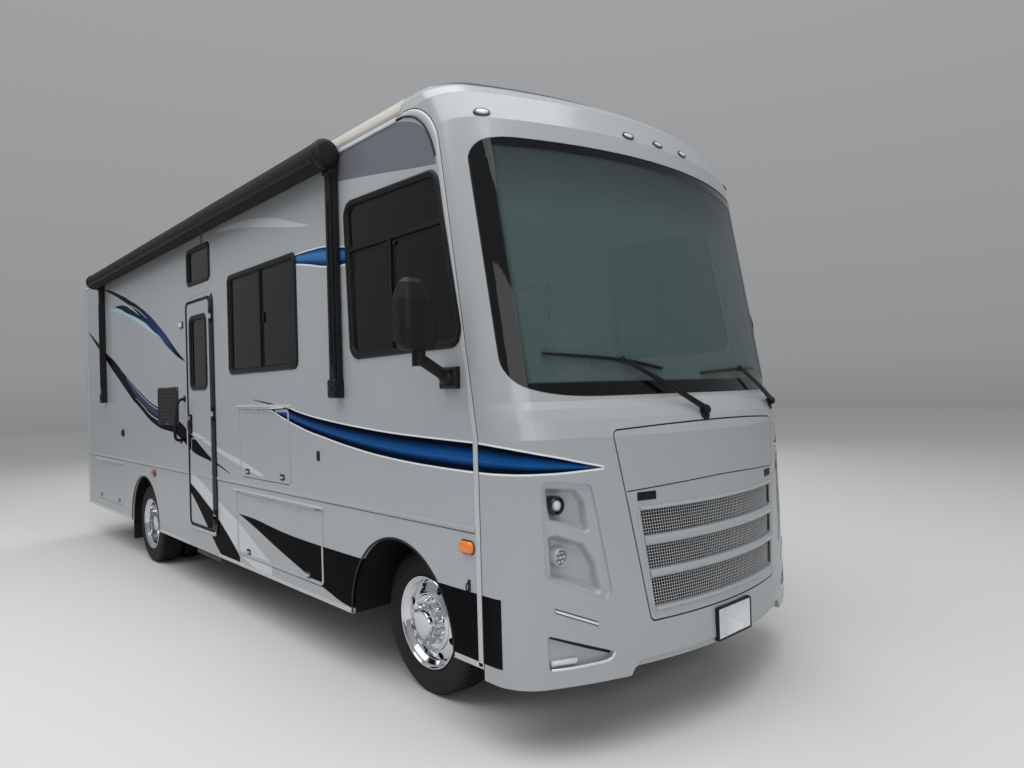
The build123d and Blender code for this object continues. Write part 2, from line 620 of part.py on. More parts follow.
# Engine block between the rails, with its feet
ENGINE_REAR = AXLE_X - 420
engine = box(ENGINE_REAR, AXLE_X + 480, -270, 270, 520, 945)
for x in (AXLE_X - 300, AXLE_X + 300):
    engine += box(x, x + 60, -RAIL_Y + RAIL_FLANGE - RAIL_WALL, RAIL_Y - RAIL_FLANGE + RAIL_WALL, 700, 760)
write("engine_block", engine)


def leaf_spring(axle_x, side, seat_z):
    """Arched spring pack whose ends rise to the hangers."""
    end_z = RAIL_LOW - HANGER_DROP
    thick = 42
    half = SPRING_HALF - 20
    sag = end_z - seat_z - thick
    low = ThreePointArc((axle_x - half, seat_z + sag), (axle_x, seat_z), (axle_x + half, seat_z + sag))
    high = ThreePointArc((axle_x + half, end_z), (axle_x, seat_z + thick), (axle_x - half, end_z))
    ends = Line(low @ 1, high @ 0) + Line(high @ 1, low @ 0)
    face = make_face(low + ends + high)
    y = side * (RAIL_Y - 26)
    return side_slab(face, y - SPRING_W / 2, y + SPRING_W / 2)


# Front axle beam with springs and the bosses that carry the kingpins
BOSS_R, PIN_R = 44, 24
BOSS_LOW, BOSS_HIGH = 345, 465
BEAM_Z = BOSS_LOW + 35
front_axle = box(AXLE_X - 45, AXLE_X + 45, -KINGPIN_Y + 20, KINGPIN_Y - 20, BEAM_Z - 35, BEAM_Z + 35)
for side in (RIGHT, LEFT):
    front_axle += side_box(side, AXLE_X - 60, AXLE_X + 60, RAIL_Y - 66, RAIL_Y + 14, BEAM_Z + 20, BEAM_Z + 60)
    front_axle += leaf_spring(AXLE_X, side, BEAM_Z + 58)
    boss = Pos(AXLE_X, side * KINGPIN_Y, (BOSS_LOW + BOSS_HIGH) / 2)
    front_axle += boss * Cylinder(BOSS_R, BOSS_HIGH - BOSS_LOW)
    front_axle -= boss * Cylinder(PIN_R + SEAT, 300)
write("front_axle", front_axle)

# Steering knuckles: a fork over the boss, the kingpin and the wheel spindle
SPINDLE_R = 36
FRONT_WHEEL_Y = FRONT_TRACK / 2
FORK = 26
fork_low, fork_high = BOSS_LOW - SEAT - FORK, BOSS_HIGH + SEAT + FORK
knuckle = Pos(AXLE_X, KINGPIN_Y, (fork_low + fork_high) / 2) * Cylinder(PIN_R, fork_high - fork_low)
for z in (fork_low, BOSS_HIGH + SEAT):
    knuckle += Pos(AXLE_X, KINGPIN_Y, z + FORK / 2) * Cylinder(BOSS_R, FORK)
    knuckle += box(AXLE_X - 40, AXLE_X + 40, KINGPIN_Y, KINGPIN_Y + 85, z, z + FORK)
knuckle += box(AXLE_X - 40, AXLE_X + 40, KINGPIN_Y + 55, KINGPIN_Y + 85, fork_low, fork_high)
knuckle += cylinder_y(AXLE_X, TYRE_R, SPINDLE_R, KINGPIN_Y + 80, FRONT_WHEEL_Y + 90)
write("left_knuckle", knuckle)
write("right_knuckle", mirrored(knuckle))

# Wheel profiles, in distance out from the tyre's middle and radius
TYRE_PROFILE = [
    (-88, BEAD_R), (-104, BEAD_R + 22), (-TYRE_W / 2, 330), (-106, 376), (-92, 396), (-50, TYRE_R),
    (50, TYRE_R), (92, 396), (106, 376), (TYRE_W / 2, 330), (104, BEAD_R + 22), (88, BEAD_R),
]
RIM_WALL = 8
HAND_HOLES = 8
HAND_HOLE_R, HAND_RING_R = 21, 197


def turned(profile):
    """Solid of revolution about the wheel's axis, its outer face towards +Y."""
    face = make_face(Plane.YZ * Polyline(*profile, close=True))
    return revolve(face, axis=Axis.Y)


def tyre(y):
    return Pos(0, y, 0) * turned(TYRE_PROFILE)


def rim(disc_out, hub_out, y):
    """Barrel, dished disc with hand holes and a round hub; y is the tyre's middle."""
    barrel = [
        (-100, BEAD_R + 12), (-88, BEAD_R - 0.5), (88, BEAD_R - 0.5), (100, BEAD_R + 12), (104, BEAD_R + 10),
        (92, BEAD_R - RIM_WALL - 2), (70, BEAD_R - RIM_WALL - 20), (-70, BEAD_R - RIM_WALL - 20),
        (-92, BEAD_R - RIM_WALL - 2), (-104, BEAD_R + 10),
    ]
    disc = [
        (disc_out - 20, BEAD_R - RIM_WALL - 14), (disc_out - 8, BEAD_R - RIM_WALL - 14), (disc_out + 8, 170),
        (disc_out + 8, 82), (hub_out - 14, 74), (hub_out, 58), (hub_out, 0), (disc_out - 40, 0),
        (disc_out - 40, 100), (disc_out - 4, 100), (disc_out - 4, 170),
    ]
    solid = turned(barrel) + turned(disc)
    for i in range(HAND_HOLES):
        turn = Rot(0, (i + 0.5) * 360 / HAND_HOLES, 0)
        solid -= turn * Pos(HAND_RING_R, 0, 0) * Rot(90, 0, 0) * Cylinder(HAND_HOLE_R, 400)
    bore = disc_out - 40
    solid -= cylinder_y(0, 0, SPINDLE_R + SEAT, bore - 1, hub_out - 12)
    return Pos(0, y, 0) * solid


FRONT_DISC, FRONT_HUB = 66, 142
front_tyre = Pos(AXLE_X, 0, TYRE_R) * tyre(FRONT_WHEEL_Y)
front_rim = Pos(AXLE_X, 0, TYRE_R) * rim(FRONT_DISC, FRONT_HUB, FRONT_WHEEL_Y)
write("left_front_tyre", front_tyre)
write("right_front_tyre", mirrored(front_tyre))
write("left_front_rim", front_rim)
write("right_front_rim", mirrored(front_rim))

# Rear twins
OUTER_Y = REAR_TRACK / 2 + TWIN_PITCH / 2
INNER_Y = REAR_TRACK / 2 - TWIN_PITCH / 2
REAR_DISC, REAR_HUB = -40, 70
twins = [Pos(REAR_AXLE_X, 0, TYRE_R) * tyre(y) for y in (OUTER_Y, INNER_Y)]
outer_rim = Pos(REAR_AXLE_X, 0, TYRE_R) * rim(REAR_DISC, REAR_HUB, OUTER_Y)
flange_y = TWIN_PITCH + REAR_DISC - 4
bead_in = BEAD_R - RIM_WALL
inner_barrel = [
    (-100, BEAD_R + 12), (-88, BEAD_R - 0.5), (88, BEAD_R - 0.5), (100, BEAD_R + 12), (104, BEAD_R + 10),
    (92, bead_in - 2), (92, 170), (flange_y, 170), (flange_y, 104), (78, 104), (78, bead_in - 20),
    (-70, bead_in - 20), (-92, bead_in - 2), (-104, BEAD_R + 10),
]
inner_rim = Pos(REAR_AXLE_X, INNER_Y, TYRE_R) * turned(inner_barrel)
write("left_rear_tyres", *twins)
write("right_rear_tyres", *[mirrored(t) for t in twins])
rear_rims = outer_rim + inner_rim
write("left_rear_rims", rear_rims)
write("right_rear_rims", mirrored(rear_rims))

# Rear axle with its differential, springs and propeller shaft
rear_axle = cylinder_y(REAR_AXLE_X, TYRE_R, 62, -INNER_Y + 20, INNER_Y - 20)
rear_axle += Pos(REAR_AXLE_X, 0, TYRE_R) * Sphere(185)
for side in (RIGHT, LEFT):
    shaft_y = (side * (INNER_Y - 30), side * (OUTER_Y + REAR_HUB - 40))
    rear_axle += cylinder_y(REAR_AXLE_X, TYRE_R, SPINDLE_R, *shaft_y)
    pad_y = (RAIL_Y - 66, RAIL_Y + 14)
    rear_axle += side_box(side, REAR_AXLE_X - 60, REAR_AXLE_X + 60, *pad_y, TYRE_R, TYRE_R + 82)
    rear_axle += leaf_spring(REAR_AXLE_X, side, TYRE_R + 80)
shaft_start = (REAR_AXLE_X + 150, 0, TYRE_R + 20)
shaft_end = (ENGINE_REAR - 40, 0, 600)
rear_axle += rod(shaft_start, shaft_end, 46)
rear_axle += rod((ENGINE_REAR - 60, 0, 600), (ENGINE_REAR - SEAT, 0, 600), 70)
write("rear_axle", rear_axle)

# Tanks and exhaust
fuel_tank = box(AXLE_X - 6980, AXLE_X - 5760, -335, 335, 400, RAIL_TOP - 150)
waste_tank = box(AXLE_X - 4050, AXLE_X - 2720, RAIL_Y + 40, HALF - 55, 440, RAIL_TOP)
fuel_tank = fillet(fuel_tank.edges().filter_by(Axis.X), 40)
waste_tank = fillet(waste_tank.edges().filter_by(Axis.Z), 40)
write("underfloor_tanks", fuel_tank, waste_tank)
PIPE_Y, PIPE_Z, PIPE_R = 235, 560, 32
OUTLET_X, OUTLET_Z = AXLE_X - 2520, 330
pipe_points = [(ENGINE_REAR, PIPE_Y, PIPE_Z), (OUTLET_X, PIPE_Y, PIPE_Z)]
pipe_points += [(OUTLET_X, HALF - 105, PIPE_Z), (OUTLET_X, HALF - 45, OUTLET_Z)]
pipe_path = FilletPolyline(*pipe_points, radius=110)
exhaust = sweep(Plane(origin=pipe_path @ 0, z_dir=pipe_path % 0) * Circle(PIPE_R), path=pipe_path)
exhaust += rod((AXLE_X - 1500, PIPE_Y, PIPE_Z - 40), (AXLE_X - 2200, PIPE_Y, PIPE_Z - 40), 95)
write("exhaust", exhaust)

# Entry step: a tread with a turned-down edge on two bars that slide under the hangers
STEP_BAR, STEP_TREAD, STEP_LIP = 22, 14, 34
STEP_Y, STEP_WIDE = -HALF + 40, 260
bar_top = STEP_TOP - SEAT
tread_top = bar_top - STEP_BAR
step = box(ENTRY_X0 + 70, ENTRY_X1 - 70, STEP_Y, STEP_Y + STEP_WIDE, tread_top - STEP_TREAD, tread_top)
step += box(ENTRY_X0 + 70, ENTRY_X1 - 70, STEP_Y, STEP_Y + STEP_TREAD, tread_top - STEP_LIP, tread_top)
for x in HANGER_X:
    step += box(x, x + HANGER_W, STEP_Y + 20, STEP_Y + 400, tread_top, bar_top)
write("entry_step", step)

# Steering wheel and column end
WHEEL_X, WHEEL_Y, WHEEL_Z = AXLE_X + 330, 480, 1660
COLUMN_TILT = 35
steering = Torus(205, 16)
steering += Pos(0, 0, -20) * Cylinder(48, 50)
for angle in (90, 210, 330):
    steering += Rot(0, 0, angle) * Pos(105, 0, -8) * Box(210, 34, 14)
steering = Pos(WHEEL_X, WHEEL_Y, WHEEL_Z) * Rot(0, -COLUMN_TILT, 0) * steering
write("steering_wheel", steering)

# Dashboard: a shelf profile across the cab, with the column stub
DASH_X = AXLE_X + 420
dash_points = [
    (DASH_X, BELT_Z), (DASH_X + 40, BELT_Z + 260), (DASH_X - 20, BELT_Z + 420), (DASH_X + 40, BELT_Z + 560),
    (DASH_X + 250, BELT_Z + 590), (DASH_X + 480, BELT_Z + 560),
    (DASH_X + 440, BELT_Z + 200), (DASH_X + 250, BELT_Z),
]
dashboard = side_slab(outline(dash_points, 30), -HALF + 120, HALF - 120)
dashboard &= cap_body(SHELL + 5, back=ROOF_X - 500, open_by=100)
column_dir = Vector(sin(radians(COLUMN_TILT)), 0, -cos(radians(COLUMN_TILT)))
column_top = Vector(WHEEL_X, WHEEL_Y, WHEEL_Z) + column_dir * (45 + SEAT)
column_end = column_top + column_dir * 240
dashboard += rod(tuple(column_top), tuple(column_end), 34)
write("dashboard", dashboard)

# Two captain's seats on pedestals
ARMREST_OUT = 285


def captain_seat(y):
    x = AXLE_X - 120
    cushion = fillet(box(x - 260, x + 260, y - 260, y + 260, BELT_Z + 330, BELT_Z + 460).edges(), 40)
    low, high = BELT_Z + 430, BELT_Z + 1130
    back_profile = outline([(x - 250, low), (x - 120, low), (x - 190, high), (x - 300, high)], 40)
    back = side_slab(back_profile, y - 240, y + 240)
    pedestal = box(x - 180, x + 180, y - 180, y + 180, BELT_Z, BELT_Z + 335)
    for side in (RIGHT, LEFT):
        rest_y = y + side * ARMREST_OUT
        arm = fillet(box(x - 230, x + 190, rest_y - 30, rest_y + 30, BELT_Z + 560, BELT_Z + 620).edges(), 14)
        post = box(x - 230, x - 150, rest_y - 28, rest_y + 28, BELT_Z + 340, BELT_Z + 590)
        cushion += arm + post
    return cushion + back + pedestal


write("seats", captain_seat(-560), captain_seat(560))

# Awning: roller, two folded arms and the wall rail
AWNING_X0, AWNING_X1 = AXLE_X - 6450, AXLE_X - 490
AWNING_Y, AWNING_Z, AWNING_R = -HALF - 92, 3155, 88
awning = front_slab(Pos(AWNING_Y, AWNING_Z) * Circle(AWNING_R), AWNING_X0, AWNING_X1)
for x in (AXLE_X - 620, AWNING_X0 + 40):
    arm = box(x, x + 88, -HALF - 74, -HALF, 1690, AWNING_Z)
    awning += fillet(arm.edges().filter_by(Axis.Z), 16)
write("awning", awning)

# Mirrors: wall bracket, arm, knuckle and tapered head on each side
BRACKET_X, BRACKET_Z = AXLE_X + 548, 1778
HEAD_X, HEAD_Y, HEAD_Z = AXLE_X + 575, -HALF - 222, 2078
# Head, a row for each level: height from its middle, outer and inner edge in Y, depth, corner
HEAD_ROWS = [
    (-168, -84, 84, 62, 30),
    (-146, -102, 104, 104, 44),
    (-60, -108, 98, 124, 48),
    (70, -106, 68, 116, 46),
    (146, -92, 40, 82, 38),
    (168, -70, 18, 44, 20),
]
head_sections = []
for z, y0, y1, depth, radius in HEAD_ROWS:
    plan = RectangleRounded(depth, y1 - y0, radius)
    head_sections.append(Pos(HEAD_X, HEAD_Y + (y0 + y1) / 2, HEAD_Z + z) * plan)
mirror_right = loft([section.face() for section in head_sections], ruled=True)
foot = box(BRACKET_X - 66, BRACKET_X + 66, -HALF - 38, -HALF, BRACKET_Z - 54, BRACKET_Z + 54)
mirror_right += fillet(foot.faces().sort_by(Axis.Y)[0].edges(), 16)
elbow = (BRACKET_X + 8, -HALF - 200, BRACKET_Z + 96)
mirror_right += rod((BRACKET_X, -HALF - 24, BRACKET_Z), elbow, 28)
mirror_right += Pos(elbow[0], elbow[1], elbow[2] + 12) * Cylinder(33, 100)
write("mirrors", *both(mirror_right))

# Wipers: pivot on the cowl, arm and blade along the screen
def on_screen(y, z, lift=11):
    """Point just above the windshield."""
    nose = SCREEN_ROOT_X - SCREEN_LEAN * (z - SCREEN_ROOT_Z)
    return Vector(AXLE_X + nose - SCREEN_R + sqrt(SCREEN_R**2 - y * y) + lift, y, z)


def wiper(pivot, inner, middle, outer):
    """Spindle, arm and blade; the points are Y and Z on the screen."""
    blade = ThreePointArc(on_screen(*inner), on_screen(*middle), on_screen(*outer))
    solid = sweep(Plane(origin=blade @ 0, z_dir=blade % 0) * Circle(8), path=blade)
    elbow = pivot + Vector(30, 0, 24)
    grip = on_screen(*middle, 26)
    solid += rod(pivot, elbow, 20)
    solid += rod(elbow - Vector(6, 0, 0), grip, 10)
    solid += rod(grip + Vector(6, 0, 0), blade @ 0.5, 9)
    return solid - cap_body(0)


# A row each: pivot, then inner end, middle and outer end of the blade in Y and Z
WIPERS = [
    (Vector(AXLE_X + 1240, -115, 1558), (-338, 1800), (-600, 1845), (226 - HALF, 1880)),
    (Vector(AXLE_X + 1075, HALF - 355, 1575), (690, 1800), (420, 1798), (-15, 1775)),
]
write("wipers", *[wiper(*row) for row in WIPERS])

# Running lights: roof markers front and rear, side markers and tail lamps
lights = []
MARKER_Z = EAVES_Z - 124
for y in (130 - HALF, -253, 0, 253, HALF - 130):
    lens = front_slab(Pos(y, MARKER_Z) * Ellipse(40, 22), AXLE_X + 600, AXLE_X + 1100)
    lights += (lens & (cap_body(-12, open_by=1) - cap_body(0))).solids()
for x, z in ((634, 956), (-4477, 967)):
    for side in (RIGHT, LEFT):
        lens = side_slab(Pos(AXLE_X + x, z) * RectangleRounded(80, 46, 16), side * HALF, side * (HALF + 16))
        lights.append(lens)
for y in (185 - HALF, -200, 0, 200, HALF - 185):
    lens = RectangleRounded(110, 34, 14)
    lights.append(front_slab(Pos(y, EAVES_Z - 60) * lens, REAR_FACE_X - 14, REAR_FACE_X))
for side in (RIGHT, LEFT):
    tail = RectangleRounded(110, 300, 40)
    lights.append(front_slab(Pos(side * (HALF - 155), 1000) * tail, REAR_FACE_X - 18, REAR_FACE_X))
write("running_lights", *lights)

# Roof units: air conditioner, two fans and a plumbing vent
roof_z = SHOULDER_Z + ROOF_CROWN
cooler = box(AXLE_X - 4900, AXLE_X - 3900, -350, 350, roof_z, roof_z + 300)
cooler = fillet(cooler.edges().filter_by(Axis.Z) + cooler.faces().sort_by(Axis.Z)[-1].edges(), 90)
units = [cooler]
for x in (-1900, -6300):
    lid = box(AXLE_X + x - 190, AXLE_X + x + 190, -190, 190, roof_z, roof_z + 110)
    units.append(fillet(lid.edges().filter_by(Axis.Z), 40))
write("roof_units", *units)
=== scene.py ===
import bmesh
import bpy
from math import cos, hypot, pi, radians, sin, sqrt, tan, tau
from mathutils import Matrix, Vector
from mathutils.bvhtree import BVHTree


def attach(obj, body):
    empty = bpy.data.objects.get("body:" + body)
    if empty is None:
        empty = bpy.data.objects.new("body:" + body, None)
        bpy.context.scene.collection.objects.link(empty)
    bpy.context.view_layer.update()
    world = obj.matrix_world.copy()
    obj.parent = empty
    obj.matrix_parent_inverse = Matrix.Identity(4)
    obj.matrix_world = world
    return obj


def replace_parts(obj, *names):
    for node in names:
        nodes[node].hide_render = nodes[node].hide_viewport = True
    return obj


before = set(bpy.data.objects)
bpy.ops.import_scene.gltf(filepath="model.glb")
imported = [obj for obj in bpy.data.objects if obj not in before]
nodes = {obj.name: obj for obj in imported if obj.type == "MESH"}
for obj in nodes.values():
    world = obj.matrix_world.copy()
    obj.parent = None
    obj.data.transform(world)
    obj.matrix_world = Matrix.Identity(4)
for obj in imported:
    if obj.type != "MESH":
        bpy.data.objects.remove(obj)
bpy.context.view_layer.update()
print("frame loaded,", len(nodes), "nodes")

# Places that the CAD model sets, in metres
axleX = 3.088
rearAxleX = -1.738
halfWidth = 1.235
seamX = axleX + 0.739
wheelZ = 0.405
screenFoot = (axleX + 0.875, 1.668)
screenLean = 0.1835


def intoScene(item):
    bpy.context.scene.collection.objects.link(item)
    return item


# Helpers for shader trees
def makeNode(tree, kind, inputs=None, **settings):
    node = tree.nodes.new(kind)
    for key, value in settings.items():
        setattr(node, key, value)
    for key, value in (inputs or {}).items():
        if isinstance(value, bpy.types.NodeSocket):
            tree.links.new(value, node.inputs[key])
        else:
            node.inputs[key].default_value = value
    return node


def calc(tree, operation, a, b=None, c=None, clamp=False):
    node = tree.nodes.new("ShaderNodeMath")
    node.operation = operation
    node.use_clamp = clamp
    for i, value in enumerate((a, b, c)):
        if isinstance(value, bpy.types.NodeSocket):
            tree.links.new(value, node.inputs[i])
        elif value is not None:
            node.inputs[i].default_value = value
    return node.outputs[0]


def mixColor(tree, factor, a, b, mode="MIX"):
    node = tree.nodes.new("ShaderNodeMix")
    node.data_type = "RGBA"
    node.blend_type = mode
    for key, value in ((0, factor), (6, a), (7, b)):
        if isinstance(value, bpy.types.NodeSocket):
            tree.links.new(value, node.inputs[key])
        else:
            node.inputs[key].default_value = value
    return node.outputs[2]


def rgb(r, g, b):
    # display colour, 0 to 255, made linear
    def linear(v):
        v /= 255
        return v / 12.92 if v <= 0.04045 else ((v + 0.055) / 1.055) ** 2.4
    return (linear(r), linear(g), linear(b), 1)


vec, num, col = "NodeSocketVector", "NodeSocketFloat", "NodeSocketColor"


def newGroup(name, inputs, outputs):
    group = bpy.data.node_groups.new(name, "ShaderNodeTree")
    for label, kind, value in inputs:
        group.interface.new_socket(name=label, in_out="INPUT", socket_type=kind).default_value = value
    for label, kind in outputs:
        group.interface.new_socket(name=label, in_out="OUTPUT", socket_type=kind)
    return group, group.nodes.new("NodeGroupInput"), group.nodes.new("NodeGroupOutput")


def makeWeather():
    # road dust on low places, streaks, faint tone changes and a fine ripple for bump
    group, start, end = newGroup("weather", [
        ("Position", vec, (0, 0, 0)), ("Color", col, (0.5, 0.5, 0.5, 1)), ("Dust Color", col, rgb(122, 116, 106)),
        ("Dust", num, 0.2), ("Dust Height", num, 0.9), ("Tone", num, 0.08), ("Roughness", num, 0.3),
        ("Grain Scale", num, 60)],
        [("Color", col), ("Roughness", num), ("Height", num)])
    pos = start.outputs["Position"]
    big = makeNode(group, "ShaderNodeTexNoise", {"Vector": pos, "Scale": 1.7, "Detail": 5.0, "Roughness": 0.6})
    fine = makeNode(group, "ShaderNodeTexNoise", {"Vector": pos, "Scale": start.outputs["Grain Scale"], "Detail": 3.0})
    height = makeNode(group, "ShaderNodeSeparateXYZ", {0: pos}).outputs["Z"]
    low = calc(group, "POWER", calc(group, "SUBTRACT", 1.0, calc(group, "DIVIDE", height, start.outputs["Dust Height"]),
                                    clamp=True), 1.6)
    stretched = makeNode(group, "ShaderNodeMapping", {"Vector": pos, "Scale": (9.0, 9.0, 0.6)})
    streak = makeNode(group, "ShaderNodeTexNoise", {"Vector": stretched.outputs[0], "Scale": 1.0, "Detail": 4.0})
    speckle = makeNode(group, "ShaderNodeTexNoise", {"Vector": pos, "Scale": 22.0, "Detail": 8.0, "Roughness": 0.75})
    amount = calc(group, "MULTIPLY", low, calc(group, "ADD", 0.35, speckle.outputs[0]))
    runs = calc(group, "MULTIPLY", calc(group, "SUBTRACT", streak.outputs[0], 0.52, clamp=True), 0.9)
    amount = calc(group, "MULTIPLY", calc(group, "ADD", amount, runs), start.outputs["Dust"], clamp=True)
    tone = calc(group, "MULTIPLY", calc(group, "SUBTRACT", big.outputs[0], 0.5), start.outputs["Tone"])
    scaled = makeNode(group, "ShaderNodeVectorMath", {0: start.outputs["Color"]}, operation="SCALE")
    group.links.new(calc(group, "ADD", 1.0, tone), scaled.inputs["Scale"])
    mixed = mixColor(group, amount, scaled.outputs[0], start.outputs["Dust Color"])
    rough = calc(group, "ADD", start.outputs["Roughness"], calc(group, "MULTIPLY", amount, 0.45))
    wobble = calc(group, "MULTIPLY", calc(group, "SUBTRACT", fine.outputs[0], 0.5), 0.08)
    group.links.new(mixed, end.inputs["Color"])
    group.links.new(calc(group, "ADD", rough, wobble, clamp=True), end.inputs["Roughness"])
    group.links.new(fine.outputs[0], end.inputs["Height"])
    return group


weather = makeWeather()


def newMaterial(name, color, roughness, metallic=0.0, dust=0.15, tone=0.08, grain=60.0, bump=0.02, dustHeight=0.9,
                shade=None, **sockets):
    # shade(tree, position, color) may change the colour before the dust goes on; sockets set constants on the shader
    material = bpy.data.materials.new(name)
    material.use_nodes = True
    tree = material.node_tree
    shader = next(n for n in tree.nodes if n.type == "BSDF_PRINCIPLED")
    position = makeNode(tree, "ShaderNodeTexCoord").outputs["Object"]
    base = shade(tree, position, color) if shade else color
    group = makeNode(tree, "ShaderNodeGroup", node_tree=weather)
    tree.links.new(position, group.inputs["Position"])
    if isinstance(base, bpy.types.NodeSocket):
        tree.links.new(base, group.inputs["Color"])
    else:
        group.inputs["Color"].default_value = base
    for key, value in (("Dust", dust), ("Tone", tone), ("Roughness", roughness), ("Grain Scale", grain),
                       ("Dust Height", dustHeight)):
        group.inputs[key].default_value = value
    tree.links.new(group.outputs["Color"], shader.inputs["Base Color"])
    tree.links.new(group.outputs["Roughness"], shader.inputs["Roughness"])
    if bump:
        raised = makeNode(tree, "ShaderNodeBump", {"Height": group.outputs["Height"], "Strength": bump,
                                                   "Distance": 0.002})
        tree.links.new(raised.outputs[0], shader.inputs["Normal"])
    shader.inputs["Metallic"].default_value = metallic
    if isinstance(base, bpy.types.NodeSocket) and metallic:
        # dark stripes mirror less than the silver round them
        dark = calc(tree, "MULTIPLY_ADD", makeNode(tree, "ShaderNodeRGBToBW", {0: base}).outputs[0], -8.0, 1.45,
                    clamp=True)
        tree.links.new(calc(tree, "MULTIPLY_ADD", dark, 0.72, metallic), shader.inputs["Metallic"])
        tree.links.new(calc(tree, "MULTIPLY_ADD", dark, -0.15, 0.15), shader.inputs["Coat Weight"])
        shader.inputs["Specular Tint"].default_value = (0.35, 0.35, 0.37, 1)
    for key, value in sockets.items():
        shader.inputs[key.replace("_", " ")].default_value = value
    return material


# Painted graphics of the body. Each is a band between an upper and a lower line, drawn over the ones before it.
# Lines are (distance from the front axle along the body, height) in metres; past the front corner the distance runs on
# across the cap. The colours run along the band (start to end) or across it (lower to upper line).

paint = {
    "body": rgb(170, 174, 177),
    "field": rgb(112, 115, 122),
    "pale": rgb(204, 207, 211),
    "white": rgb(236, 239, 243),
    "black": rgb(15, 16, 20),
    "edge": 0.0025,
}
brightBlue, navy = rgb(22, 96, 168), rgb(9, 20, 44)
stripeTop = [(-1.6, 1.622), (-1.33, 1.625), (-1.2, 1.605), (-1.0, 1.575), (-0.8, 1.552), (-0.6, 1.532), (-0.4, 1.515),
             (-0.2, 1.5), (0.0, 1.487), (0.2, 1.478), (0.4, 1.47), (0.6, 1.463), (0.739, 1.457), (0.89, 1.443),
             (1.02, 1.426), (1.15, 1.406), (1.28, 1.385), (1.41, 1.361), (1.575, 1.332)]
stripeLow = [(-1.6, 1.618), (-1.33, 1.545), (-1.2, 1.515), (-1.0, 1.475), (-0.8, 1.445), (-0.6, 1.415), (-0.4, 1.39),
             (-0.2, 1.368), (0.0, 1.352), (0.2, 1.34), (0.4, 1.332), (0.6, 1.327), (0.739, 1.325), (0.89, 1.324),
             (1.02, 1.322), (1.15, 1.321), (1.28, 1.321), (1.41, 1.325), (1.575, 1.331)]
upperTop = [(-6.3, 3.06), (-6.0, 3.005), (-5.6, 2.91), (-5.4, 2.86), (-5.2, 2.8), (-5.0, 2.745), (-4.8, 2.68),
            (-4.6, 2.61), (-4.4, 2.53), (-4.2, 2.44), (-4.0, 2.345), (-3.8, 2.235), (-3.6, 2.13), (-3.44, 2.058)]
upperLow = [(-6.3, 3.05), (-6.0, 2.97), (-5.6, 2.86), (-5.4, 2.8), (-5.2, 2.74), (-5.0, 2.665), (-4.8, 2.575),
            (-4.6, 2.49), (-4.4, 2.405), (-4.2, 2.34), (-4.0, 2.24), (-3.8, 2.16), (-3.6, 2.09), (-3.44, 2.052)]
lowerTop = [(-7.2, 2.62), (-6.8, 2.47), (-6.5, 2.36), (-6.2, 2.25), (-6.0, 2.195), (-5.8, 2.12), (-5.6, 2.04),
            (-5.4, 1.965), (-5.2, 1.895), (-5.0, 1.825), (-4.8, 1.76), (-4.6, 1.7), (-4.4, 1.655), (-4.2, 1.62),
            (-3.9, 1.56), (-3.65, 1.505), (-3.4, 1.42), (-3.2, 1.345), (-3.0, 1.265), (-2.8, 1.195), (-2.6, 1.15),
            (-2.42, 1.105)]
lowerLow = [(-7.2, 2.6), (-6.8, 2.41), (-6.5, 2.28), (-6.2, 2.145), (-6.0, 2.055), (-5.8, 1.97), (-5.6, 1.885),
            (-5.4, 1.8), (-5.2, 1.715), (-5.0, 1.65), (-4.8, 1.58), (-4.6, 1.51), (-4.4, 1.46), (-4.2, 1.425),
            (-4.0, 1.41), (-3.8, 1.39), (-3.6, 1.34), (-3.4, 1.27), (-3.2, 1.22), (-3.0, 1.195), (-2.8, 1.17),
            (-2.6, 1.135), (-2.42, 1.1)]
diagonalTop = [(-3.42, 1.075), (-3.2, 1.015), (-3.0, 0.96), (-2.75, 0.875), (-2.5, 0.8), (-2.3, 0.742), (-2.0, 0.63),
               (-1.66, 0.5)]
diagonalLow = [(-3.42, 0.975), (-3.2, 0.905), (-3.0, 0.83), (-2.75, 0.735), (-2.6, 0.665), (-2.4, 0.56), (-2.2, 0.47),
               (-1.66, 0.39)]
